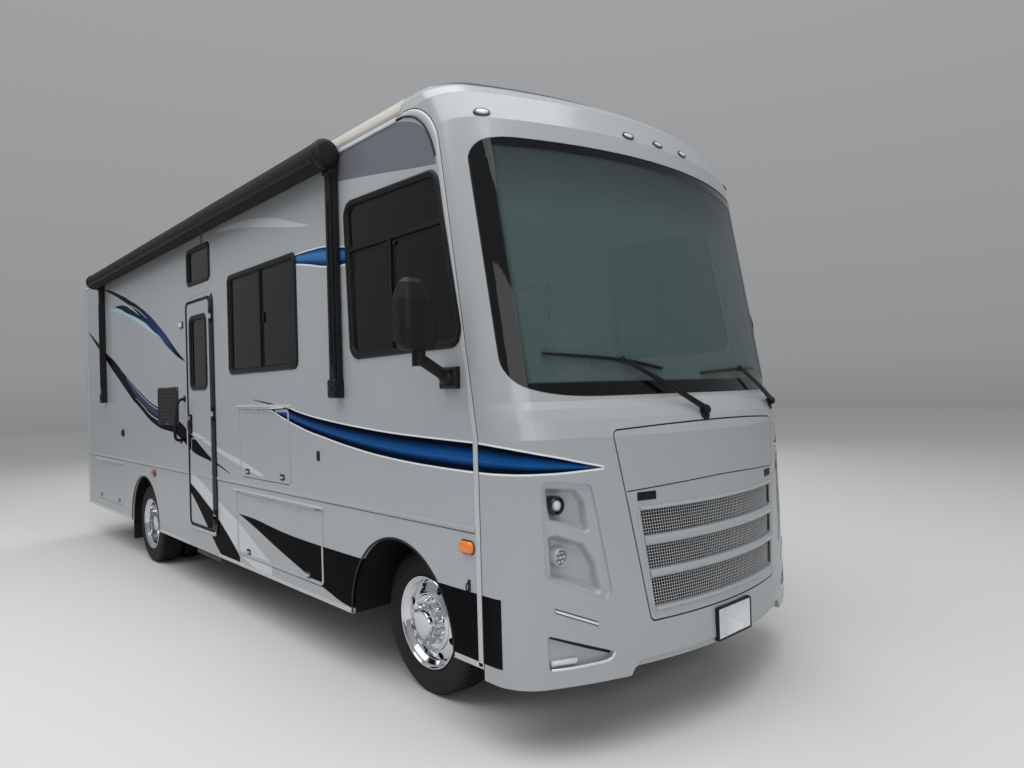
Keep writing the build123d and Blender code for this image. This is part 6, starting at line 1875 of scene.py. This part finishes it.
def makeUnderbody():
    bm = bmesh.new()
    for x, foot in underbody["springs"]:
        points = leafLine(x, foot)
        for side in (-1, 1):
            y = side * underbody["springY"]
            for k, share in enumerate(underbody["leaves"]):
                low = 0.0435 - k * 0.0088
                chosen = [p for p in points if abs(p[0] - x) <= underbody["springSpan"] * share]
                leaf = mm((-39.2, 0), (-39.2, -6.6), (39.2, -6.6), (39.2, 0))
                skin(bm, [[(px, y + a, pz + low + b) for a, b in leaf] for px, pz in chosen])
            for dx in (-0.3, 0.3):
                z = points[15 if dx > 0 else 5][1]
                clip = mm((-42, -30), (42, -30), (42, 30), (-42, 30))
                skin(bm, [[(x + dx + a, y + b, z + 0.022 + c) for b, c in clip] for a in (-0.015, 0.015)])
            # U bolts over the spring seat
            for dx in (-0.045, 0.045):
                tube(bm, [(x + dx, y - 0.045, foot - 0.07), (x + dx, y - 0.045, foot + 0.055),
                          (x + dx, y + 0.045, foot + 0.055), (x + dx, y + 0.045, foot - 0.07)], 0.008, 8, up=(1, 0, 0))
    addPiece("springLeaves", bm, "chassis", smooth=30)
    bm = bmesh.new()
    for x, y, lean in ((axleX + 0.13, 0.5, 0.1), (rearAxleX + 0.16, 0.5, 0.12)):
        for side in (-1, 1):
            low, high = Vector((x, side * y, 0.43)), Vector((x + lean, side * 0.462, 0.78))
            axis = high - low
            turned(bm, [(0.0, 0.0), (0.018, 0.0), (0.018, 0.03), (0.028, 0.035), (0.028, axis.length * 0.55),
                        (0.034, axis.length * 0.56), (0.034, axis.length * 0.96), (0.0, axis.length)], low, axis, 18)
    # propeller shaft joint and the differential's ribbed cover
    turned(bm, mm((0, -215), (100, -213), (150, -195), (158, -180), (158, -160), (100, -158), (0, -158)),
           (rearAxleX, 0, wheelZ), (1, 0, 0), 36)
    addPiece("dampers", bm, "castIron", smooth=35)
    seeds = []
    for k in range(10):
        a = tau * k / 10
        seeds.append(((rearAxleX - 0.196, 0.138 * cos(a), wheelZ + 0.138 * sin(a)), (-1, 0, 0), (0, 0, 1)))
    scatter("coverBolts", seeds, screwMesh, "castIron", scale=2.0)
    # steel straps under the fuel tank
    bm = bmesh.new()
    for x in underbody["tankStraps"]:
        profile = mm((-340, 690), (-340, 440), (-325, 405), (-290, 393.5), (290, 393.5), (325, 405), (340, 440),
                     (340, 690))
        inner = mm((-335.5, 690), (-335.5, 440), (-322, 410), (-289, 398.5), (289, 398.5), (322, 410), (335.5, 440),
                   (335.5, 690))
        skin(bm, [[(x + a, y, z) for y, z in profile + inner[::-1]] for a in (-0.02, 0.02)])
    addPiece("tankStraps", bm, "aluminium", smooth=30)
    # drum brakes behind the wheels
    for side, end in sides:
        bm = bmesh.new()
        turned(bm, mm((48, 0), (165, 0), (172, 8), (172, 60), (160, 66), (48, 66)),
               (axleX, side * underbody["brakeY"], wheelZ), (0, side, 0), 40)
        addPiece("frontBrake" + end, bm, "castIron", end.lower() + "_front_wheel", smooth=35)
    # mud flaps on their hangers behind the rear wheels
    bm = bmesh.new()
    for side in (-1, 1):
        x = underbody["flapX"]
        skin(bm, [[(x + a, side * b, z) for a, b in ((-0.004, 0.66), (0.004, 0.66), (0.004, 1.205), (-0.004, 1.205))]
                  for z in (0.17, 0.5, 0.84)])
        for b in (0.72, 0.93, 1.14):
            turned(bm, mm((0, -2), (10, -2), (10, 6), (0, 6)), (x + 0.004, side * b, 0.8), (1, 0, 0), 10)
    addPiece("mudFlaps", bm, "liner", smooth=30)
    # aprons close the wheel wells towards the frame, clear of the turned tyres
    bm = bmesh.new()
    for x, inner in underbody["aprons"]:
        arch = [(x - 0.52, 0.56)] + [(x + 0.54 * cos(pi - pi * k / 24), 0.56 + 0.44 * sin(pi * k / 24))
                                     for k in range(25)] + [(x + 0.52, 0.56)]
        for side in (-1, 1):
            skin(bm, [[(px, side * (inner + y), pz) for px, pz in arch] for y in (0.0, 0.006)])
    addPiece("wheelAprons", bm, "liner", smooth=30)
    # anti-slip ridges on the entry step's tread
    bm = bmesh.new()
    for k in range(9):
        y = -halfWidth + 0.06 + 0.024 * k
        skin(bm, [[(x, y + a, 0.36 + b) for a, b in mm((-4, -1), (4, -1), (2.5, 2.2), (-2.5, 2.2))]
                  for x in (entryX0 + 0.1, entryX1 - 0.1)])
    addPiece("stepRidges", bm, "aluminium", "step", smooth=30)


makeUnderbody()
print("underbody made")


# Rear: tail lamps, high lamps, bumper line, blank plate, camera, panel joints and tow fittings
rearFaceX = -4.37
rearEnd = {
    "lampY": 1.08, "lampHalf": 0.062, "lampZ": (0.845, 1.155), "lensHalf": 0.05,
    "red": (0.965, 1.143), "clear": (0.858, 0.955), "highYs": (-1.05, -0.2, 0.0, 0.2, 1.05), "highZ": 3.15,
    "bumperX": -4.4, "seamX": -4.232, "panelZ": (1.235, 2.86), "panelY": 0.86,
}


def onRear(u, v, w):
    # u to the driver's left, v up, w out behind the vehicle
    return Vector((rearFaceX - w, u, v))


def makeRear():
    bezels, reds, whites = bmesh.new(), bmesh.new(), bmesh.new()
    for side in (-1, 1):
        y, half = side * rearEnd["lampY"], rearEnd["lensHalf"]
        outline = roundedRect(y - rearEnd["lampHalf"], y + rearEnd["lampHalf"], *rearEnd["lampZ"], 0.036, 6)
        shell(bezels, outline, mm((0, -1), (0, 10), (3, 14), (8, 14), (10, 8)), onRear)
        for (low, high), target in ((rearEnd["red"], reds), (rearEnd["clear"], whites)):
            lens = roundedRect(y - half, y + half, low, high, 0.022, 5)
            shell(target, lens, ((0, 0.006), (0.0005, 0.016), (0.006, 0.0185), (0.016, 0.0195)), onRear)
        for k in range(5):
            z = 0.985 + 0.034 * k
            bead(reds, [(y - 0.036, z), (y, z), (y + 0.036, z)], 0.004, 0.0015,
                 lambda u, v, w: onRear(u, v, w + 0.0192), steps=4)
    for y in rearEnd["highYs"]:
        outline = padAbout(y, rearEnd["highZ"], 0.055, 0.017, 0.014, 5)
        plate(bezels, outline, onRear, 0.005, 0.002, start=-0.001)
        lens = inset(outline, 0.004)
        shell(reds, lens, ((0, 0.003), (0.0005, 0.01), (0.004, 0.0135)), onRear)
    addPiece("tailBezels", bezels, "gloss", smooth=40)
    addPiece("tailLamps", reds, "red", smooth=40)
    addPiece("reverseLamps", whites, "lens", smooth=40)
    # line around the bumper's face, and a blank plate in its frame
    bm = bmesh.new()
    trimRing(bm, roundedRect(-1.1, 1.1, 0.52, 0.75, 0.045, 6), mm((0, 0.6), (2, -1.6), (6, -1.6), (8, 0.6)),
             lambda u, v, w: (rearEnd["bumperX"] + w * 0.999, u, v))
    addPiece("bumperLine", bm, "gasket", smooth=40)
    bm = bmesh.new()
    shell(bm, roundedRect(-0.165, 0.165, 0.95, 1.117, 0.014, 5),
          mm((0, -1), (0, 11), (3, 15), (10, 15), (12, 10)), onRear)
    addPiece("rearPlateFrame", bm, "blackPlastic", smooth=35)
    bm = bmesh.new()
    shell(bm, roundedRect(-0.1525, 0.1525, 0.957, 1.109, 0.008, 5), mm((0, 8), (0, 12), (4, 13.5), (8, 12.2)), onRear)
    addPiece("rearBlankPlate", bm, "plate", smooth=30)
    # rear camera under a hood, and a spare lamp over the plate
    bm = bmesh.new()
    plate(bm, roundedRect(-0.045, 0.045, 3.02, 3.085, 0.012, 5), onRear, 0.012, 0.003, start=-0.001)
    turned(bm, mm((0, 0), (22, 0), (22, 26), (18, 30), (11, 30), (9, 26), (0, 26)), onRear(0, 3.05, 0.01),
           (-1, 0, -0.5), 28)
    plate(bm, roundedRect(-0.07, 0.07, 1.135, 1.165, 0.008, 4), onRear, 0.026, 0.006, start=-0.001)
    addPiece("rearCamera", bm, "blackPlastic", smooth=35)
    # panel joints of the rear cap
    bm = bmesh.new()
    for z in rearEnd["panelZ"]:
        bead(bm, [(-1.12 + 2.24 * k / 20, z) for k in range(21)], 0.0045, 0.0035, onRear, steps=6)
    for side in (-1, 1):
        bead(bm, [(side * rearEnd["panelY"], z) for z in (1.24, 1.8, 2.4, 2.855)], 0.0045, 0.0035, onRear, steps=6)
    addPiece("rearBeads", bm, "bar", smooth=50)
    bm = bmesh.new()
    for side in (-1, 1):
        path = [(rearEnd["seamX"], z) for z in (0.395, 1.0, 1.8, 2.6, 3.205)]
        bead(bm, path, 0.02, 0.004, onSide(side), flat=True)
    addPiece("rearSeams", bm, "stripBright", smooth=35)
    # trailer plug and chain loops at the receiver
    bm = bmesh.new()
    turned(bm, mm((0, 0), (34, 0), (34, 30), (30, 36), (0, 36)), (-4.25, 0.16, 0.345), (-1, 0, 0), 24)
    skin(bm, [[(x, 0.13 + a, 0.3 + b) for a, b in ((0.0, 0.0), (0.06, 0.0), (0.06, 0.08), (0.0, 0.08))]
              for x in (-4.25, -4.238)])
    for side in (-1, 1):
        points = [(-4.268 + 0.028 * cos(a) * -1, side * 0.085, 0.322 - 0.026 * sin(a))
                  for a in [pi * k / 10 for k in range(11)]]
        tube(bm, points, 0.007, 8, up=(0, 1, 0))
    addPiece("towFittings", bm, "blackMetal", smooth=40)


makeRear()
print("rear made")


# Roof: air conditioner with louvres, vent lids, pipe caps, aerial and lap sealant
roofZ = 3.352
roofUnits = {
    "cooler": (axleX - 4.9, axleX - 3.9), "ventLids": (axleX - 1.9, axleX - 6.3),
    "pipes": ((axleX - 3.3, 0.55), (axleX - 5.4, -0.5)), "aerial": (axleX - 2.7, -0.35),
}


def makeRoof():
    x0, x1 = roofUnits["cooler"]
    middle = (x0 + x1) / 2
    bm = bmesh.new()
    # shroud as stacked rounded sections
    rows = mm((0, 500, 350, 75), (30, 502, 352, 80), (60, 498, 348, 85), (75, 488, 338, 85), (190, 478, 328, 95),
              (245, 462, 312, 105), (280, 432, 284, 110), (296, 390, 244, 110), (300, 330, 190, 100))
    skin(bm, [[(middle + u, v, roofZ + z) for u, v in padAbout(0, 0, a, b, r, 6)] for z, a, b, r in rows])
    for x in (-0.3, -0.1, 0.1, 0.3):
        skin(bm, [[(middle + x + a * s, y, roofZ + 0.2985 + h)
                   for a, h in ((-0.05, 0.0), (-0.04, 0.0055), (0.04, 0.0055), (0.05, 0.0))]
                  for y, s in ((-0.17, 0.7), (0.0, 1.0), (0.17, 0.7))])
    cooler = addPiece("airConditioner", bm, "shroud", smooth=40)
    bm = bmesh.new()
    for side in (-1, 1):
        for k in range(9):
            z = roofZ + 0.088 + 0.0115 * k
            skin(bm, [[(x, side * (0.322 + a), z + b) for a, b in ((0.0, -0.002), (0.0205 - 0.001 * k, -0.004),
                (0.0205 - 0.001 * k, -0.001), (0.0, 0.003))] for x in (middle - 0.34, middle - 0.02)])
    for k in range(10):
        z = roofZ + 0.085 + 0.013 * k
        skin(bm, [[(middle - 0.47 - b, y, z + a) for a, b in ((-0.002, 0.0), (-0.004, 0.0185 - 0.0008 * k),
                                                              (-0.001, 0.0185 - 0.0008 * k), (0.003, 0.0))]
                  for y in (-0.23, 0.23)])
    addPiece("coolerLouvres", bm, "blackPlastic", smooth=25)
    # vent lids with ribs, on flanges
    bm = bmesh.new()
    for x in roofUnits["ventLids"]:
        rows = mm((0, 205, 12), (4, 205, 12), (8, 196, 12), (34, 190, 18), (40, 196, 30), (76, 190, 40), (98, 165, 45),
                  (106, 110, 40))
        skin(bm, [[(x + u, v, roofZ + z) for u, v in padAbout(0, 0, a, a, r, 5)] for z, a, r in rows])
        for y in (-0.07, 0.0, 0.07):
            skin(bm, [[(x + u, y + a, roofZ + 0.1055 + h) for a, h in mm((-12, -2), (-8, 3.5), (8, 3.5), (12, -2))]
                      for u in (-0.1, 0.1)])
    addPiece("ventLids", bm, "smokeLid", smooth=40)
    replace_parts(cooler, "roof_units")
    bm = bmesh.new()
    for x, y in roofUnits["pipes"]:
        turned(bm, [(0.0, -0.03), (0.085, -0.03), (0.085, 0.0), (0.06, 0.01), (0.03, 0.016), (0.03, 0.075),
                    (0.05, 0.08), (0.05, 0.098), (0.04, 0.108), (0.0, 0.112)], (x, y, roofZ - 0.006), (0, 0, 1), 28)
    # folded aerial
    x, y = roofUnits["aerial"]
    turned(bm, mm((0, -30), (110, -30), (110, 0), (90, 22), (50, 40), (0, 44)), (x, y, roofZ - 0.004), (0, 0, 1), 32)
    tube(bm, [(x, y, roofZ + 0.035), (x - 0.2, y, roofZ + 0.045), (x - 0.6, y, roofZ + 0.045)], 0.012, 8, up=(0, 0, 1))
    rings = []
    for along in (-0.08, 0.0, 0.06):
        wide = 0.28 - abs(along) * 1.2
        rings.append([(x - 0.6 + along, y + a, roofZ + 0.045 + b)
                      for a, b in ((-wide, -0.01), (wide, -0.01), (wide, 0.012), (-wide, 0.012))])
    skin(bm, rings)
    addPiece("roofFittings", bm, "trim", smooth=40)
    # lap sealant round each fitting and across the cap joints
    bm = bmesh.new()

    def sealant(points, closed=True, width=0.014):
        rings = []
        count = len(points)
        for i, (x, y) in enumerate(points):
            before, after = Vector(points[i - 1]), Vector(points[(i + 1) % count])
            if not closed:
                before, after = Vector(points[max(i - 1, 0)]), Vector(points[min(i + 1, count - 1)])
            along = (after - before).normalized()
            across = Vector((-along.y, along.x)) * (width + 0.003 * sin(i * 2.3))
            z = roofHeight(y)
            rings.append([(x + across.x * a, y + across.y * a, z + 0.0045 * b - 0.001)
                          for a, b in ((1, 0), (0.6, 0.8), (0, 1), (-0.6, 0.8), (-1, 0))])
        skin(bm, rings, closed=closed)

    sealant(roundedRect(x0 - 0.012, x1 + 0.012, -0.362, 0.362, 0.085, 5))
    for x in roofUnits["ventLids"]:
        sealant(padAbout(x, 0, 0.212, 0.212, 0.02, 5))
    for x, y in roofUnits["pipes"]:
        sealant([(x + u, y + v) for u, v in ring(0.092, 24)])
    for x in (roofX - 0.01, rearX + 0.01):
        sealant([(x + 0.002 * sin(9 * y), y) for y in [-1.13 + 2.26 * k / 48 for k in range(49)]], closed=False,
                width=0.03)
    addPiece("lapSealant", bm, "sealant", smooth=50)


def roofHeight(y):
    # top of the roof across the vehicle: shoulder, then the shallow crown
    y = abs(y)
    return roofZ if y <= 0.715 else 3.33 + 0.022 * (1.145 - y) / 0.43 if y <= 1.145 else 3.33 - (y - 1.145) * 0.5


makeRoof()
print("roof made")


# Inside, seen through the glass: seats, details of the dash, steering wheel, engine cover and pedals
seat = {"x": axleX - 0.12, "ys": (-0.56, 0.56), "floorZ": 1.04, "roundness": 0.55, "steps": 11,
        "pressure": 4.0, "cap": 0.016, "voxel": 0.011, "frames": 12}


def cushionForm(bm, center, half, roundness, steps, taper):
    # crowned pad: a box grid blown towards a rounded form, its sides pulled in between the corners
    bmesh.ops.create_cube(bm, size=2.0)
    bmesh.ops.subdivide_edges(bm, edges=bm.edges[:], cuts=steps, use_grid_fill=True)
    for v in bm.verts:
        x, y, z = v.co
        p = [abs(x) ** 4, abs(y) ** 4, abs(z) ** 4]
        length = (sum(p)) ** 0.25 or 1.0
        soft = Vector((x, y, z)) / length
        v.co = Vector((x, y, z)).lerp(soft, roundness)
        pull = 1.0 - 0.035 * (1 - abs(v.co.x)) * abs(v.co.y) - 0.035 * (1 - abs(v.co.y)) * abs(v.co.x)
        v.co.x *= half[0] * pull * (1 - taper * (v.co.z + 1) / 2)
        v.co.y *= half[1] * pull * (1 - taper * (v.co.z + 1) / 2)
        v.co.z *= half[2]
        v.co += Vector(center)


def puff(piece, cap):
    # pressure cloth on a remeshed copy, its movement capped
    remesh = piece.modifiers.new("voxels", "REMESH")
    remesh.mode = "VOXEL"
    remesh.voxel_size = seat["voxel"]
    bpy.context.view_layer.update()
    base = evaluated(piece)
    piece.modifiers.clear()
    old = piece.data
    for material in old.materials:
        if material.name not in [m.name for m in base.materials if m]:
            base.materials.append(material)
    piece.data = base
    rest = [v.co.copy() for v in base.vertices]
    cloth = piece.modifiers.new("cloth", "CLOTH")
    cloth.settings.use_pressure = True
    cloth.settings.uniform_pressure_force = seat["pressure"]
    cloth.settings.effector_weights.gravity = 0
    cloth.settings.quality = 4
    cloth.collision_settings.use_collision = False
    for index in range(1, seat["frames"] + 1):
        bpy.context.scene.frame_set(index)
    blown = evaluated(piece)
    piece.modifiers.clear()
    for v, start in zip(blown.vertices, rest):
        move = v.co - start
        if move.length > cap:
            v.co = start + move.normalized() * cap
    piece.data = blown
    bpy.context.scene.frame_set(1)


def finishPad(piece, smoothing=1):
    if smoothing:
        level = piece.modifiers.new("subdivision", "SUBSURF")
        level.levels = level.render_levels = smoothing
        bpy.context.view_layer.update()
        mesh = evaluated(piece)
        piece.modifiers.clear()
        piece.data = mesh
    piece.data.polygons.foreach_set("use_smooth", [True] * len(piece.data.polygons))
    return piece


def channel(piece, lines, depth=0.006, width=0.012):
    # sewn channels: vertices near a plane sink inwards along their normal
    mesh = piece.data
    normals = [v.normal.copy() for v in mesh.vertices]
    for v, normal in zip(mesh.vertices, normals):
        for axis, place, facing in lines:
            if normal.dot(Vector(facing)) > 0.2:
                gap = abs(v.co[axis] - place)
                if gap < width:
                    v.co -= normal * depth * (1 - gap / width) ** 1.5


def lean(piece, pivot, angle):
    turn = Matrix.Translation(pivot) @ Matrix.Rotation(angle, 4, "Y") @ Matrix.Translation(-Vector(pivot))
    piece.data.transform(turn)


def makeSeats():
    x, floorZ = seat["x"], seat["floorZ"]
    made = {}
    for i, y in enumerate(seat["ys"]):
        end = "Right" if y < 0 else "Left"
        names = [("seatCushion", (x + 0.005, y, floorZ + 0.392), (0.245, 0.243, 0.056), 0.0),
                 ("seatBack", (x - 0.188, y, floorZ + 0.735), (0.058, 0.226, 0.305), 0.06),
                 ("headRest", (x - 0.245, y, floorZ + 1.062), (0.05, 0.135, 0.066), 0.0)]
        for name, center, half, taper in names:
            if i == 0:
                bm = bmesh.new()
                cushionForm(bm, center, half, seat["roundness"], seat["steps"], taper)
                piece = addPiece(name + end, bm, "leather", smooth=0)
                puff(piece, seat["cap"])
                if name == "seatBack":
                    channel(piece, [(2, floorZ + 0.6, (1, 0, 0)), (2, floorZ + 0.8, (1, 0, 0)),
                                    (1, y - 0.145, (1, 0, 0)), (1, y + 0.145, (1, 0, 0))])
                    lean(piece, (x - 0.185, y, floorZ + 0.43), radians(-5.5))
                elif name == "seatCushion":
                    channel(piece, [(0, x + 0.08, (0, 0, 1)), (0, x - 0.08, (0, 0, 1)), (1, y - 0.155, (0, 0, 1)),
                                    (1, y + 0.155, (0, 0, 1))])
                finishPad(piece)
                made[name] = piece
            else:
                mesh = made[name].data.copy()
                mesh.transform(Matrix.Translation((0, y - seat["ys"][0], 0)))
                twin = intoScene(bpy.data.objects.new(name + end, mesh))
                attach(twin, "vehicle")
        # armrests, shell, pedestal and belts
        for side in (-1, 1):
            armY = y + side * 0.285
            bm = bmesh.new()
            cushionForm(bm, (x - 0.02, armY, floorZ + 0.59), (0.2, 0.027, 0.024), 0.6, 7, 0.0)
            arm = addPiece("armRest" + end + ("Out" if side * y > 0 else "In"), bm, "leather", smooth=0)
            finishPad(arm)
        bm = bmesh.new()
        skin(bm, [[(x + u, y + v, floorZ + z) for u, v in padAbout(0, 0, a, b, 0.05, 5)] for z, a, b in
                  mm((0, 175, 175), (12, 178, 178), (20, 150, 150), (240, 140, 140), (270, 165, 165), (325, 225, 225),
                     (338, 225, 225))])
        for side in (-1, 1):
            armY = y + side * 0.285
            skin(bm, [[(x - 0.19 + a, armY + b, floorZ + z) for a, b in mm((-28, -14), (28, -14), (28, 14), (-28, 14))]
                      for z in (0.345, 0.46, 0.572)])
            skin(bm, [[(x + a, armY - side * b, floorZ + z)
                       for b, z in ((0.01, 0.335), (0.01, 0.352), (0.075, 0.352), (0.075, 0.335))]
                      for a in (-0.22, -0.16)])
        for dy in (-0.05, 0.05):
            tube(bm, [(x - 0.23, y + dy, floorZ + 0.98), (x - 0.242, y + dy, floorZ + 1.035)], 0.006, 8, up=(0, 1, 0))
        addPiece("seatFrame" + end, bm, "dash", smooth=35)
    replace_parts(bpy.data.objects["seatFrameRight"], "seats")


makeSeats()


cab = {
    "dashX": axleX + 0.42, "dashZ": 1.606, "floorZ": 1.04, "vents": (-0.86, -0.36, 0.2, 0.9),
    "wheel": (axleX + 0.33, 0.48, 1.66), "wheelTilt": 35, "wheelRadius": 0.205, "grip": 0.0165,
    "pedal": (axleX + 0.405, 1.09),
}


def makeCab():
    # instrument binnacle, screen and vents
    dashX = cab["dashX"]
    bm = bmesh.new()
    top = cab["dashZ"]
    rows = mm((0, 245, 0), (20, 235, 60), (70, 215, 85), (160, 190, 70), (240, 170, 20))
    skin(bm, [[(dashX + 0.03 + back, 0.48 + half * cos(pi * k / 12), top - 0.012 + (rise + 0.012) * sin(pi * k / 12))
               for k in range(13)] for back, half, rise in rows])
    addPiece("binnacle", bm, "dash", smooth=50)
    bm = bmesh.new()
    plate(bm, roundedRect(-0.13, 0.13, 1.4, 1.555, 0.012, 5),
          lambda u, v, w: (dashX + 0.016 - (v - 1.4) * 0.05 - w, u, v), 0.03, 0.004, start=-0.03)
    for y in cab["vents"]:
        for k in range(5):
            z = 1.452 + 0.014 * k
            skin(bm, [[(dashX + 0.004 - a, yy, z + b) for a, b in mm((0, 0), (22, 0), (20, 4), (0, 6))]
                      for yy in (y - 0.055, y + 0.055)])
    addPiece("dashScreen", bm, "gloss", smooth=35)
    bm = bmesh.new()
    for y in (0.36, 0.6):
        turned(bm, mm((0, -10), (58, -10), (58, 4), (52, 6), (50, 1), (0, 1)), (dashX + 0.008, y, 1.52),
               (-1, 0, 0.25), 32)
    addPiece("dials", bm, "gloss", smooth=40)
    # sewn seam along the pad's front edge
    bm = bmesh.new()
    tube(bm, [(dashX + 0.036, y, 1.592) for y in [-1.08 + 2.16 * k / 30 for k in range(31)]], 0.0035, 6, up=(0, 0, 1))
    addPiece("dashPiping", bm, "leather", smooth=60)
    # steering wheel: padded grip, boss and spokes
    center, tilt = Vector(cab["wheel"]), radians(cab["wheelTilt"])
    axis = Vector((-sin(tilt), 0, cos(tilt)))
    across, down = Vector((0, 1, 0)), axis.cross(Vector((0, 1, 0)))
    bm = bmesh.new()
    rings = []
    for k in range(72):
        a = tau * k / 72
        spoke = across * cos(a) + down * sin(a)
        grip = cab["grip"] + 0.0012 * cos(4 * a)
        rings.append([center + spoke * (cab["wheelRadius"] + grip * cos(b)) + axis * grip * sin(b)
                      for b in [tau * n / 14 for n in range(14)]])
    skin(bm, rings, closed=True)
    addPiece("wheelGrip", bm, "gasket", "steering", smooth=60)
    bm = bmesh.new()
    turned(bm, mm((0, -45), (46, -45), (52, -20), (70, -4), (72, 6), (60, 18), (30, 24), (0, 25)), center, axis, 40)
    for degrees in (90, 210, 330):
        a = radians(degrees)
        spoke = across * cos(a) + down * sin(a)
        beside = spoke.cross(axis)
        skin(bm, [[center + spoke * r + beside * b * w + axis * c
                   for b, c in ((-1, -0.012), (1, -0.012), (0.7, 0.002), (-0.7, 0.002))]
                  for r, w in ((0.05, 0.028), (0.1, 0.021), (0.16, 0.017), (0.198, 0.019))])
    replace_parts(addPiece("wheelBoss", bm, "blackPlastic", "steering", smooth=45), "steering_wheel")
    # engine cover between the seats, and the pedals
    bm = bmesh.new()
    skin(bm, [[(axleX + u, v, cab["floorZ"] + z) for u, v in padAbout(0.03, 0, 0.39 - i, 0.235 - i, 0.06, 5)]
              for z, i in mm((1, 0), (140, 8), (165, 20), (175, 45))])
    addPiece("engineCover", bm, "floor", smooth=45)
    bm = bmesh.new()
    pedalX, pedalZ = cab["pedal"]
    onPedal = lambda u, v, w: (pedalX - w + (v - pedalZ) * 0.25, u, v)
    for y, wide, high in ((0.6, 0.035, 0.16), (0.44, 0.05, 0.13)):
        plate(bm, roundedRect(y - wide, y + wide, pedalZ, pedalZ + high, 0.012, 4), onPedal, 0.012, 0.003)
        for k in range(4):
            z = pedalZ + 0.01 + high * (k + 0.5) / 4.4
            bead(bm, [(y - wide + 0.012, z), (y, z), (y + wide - 0.012, z)], 0.003, 0.002,
                 lambda u, v, w: onPedal(u, v, w + 0.012), steps=4)
    addPiece("pedals", bm, "liner", smooth=40)


makeCab()
print("inside made")
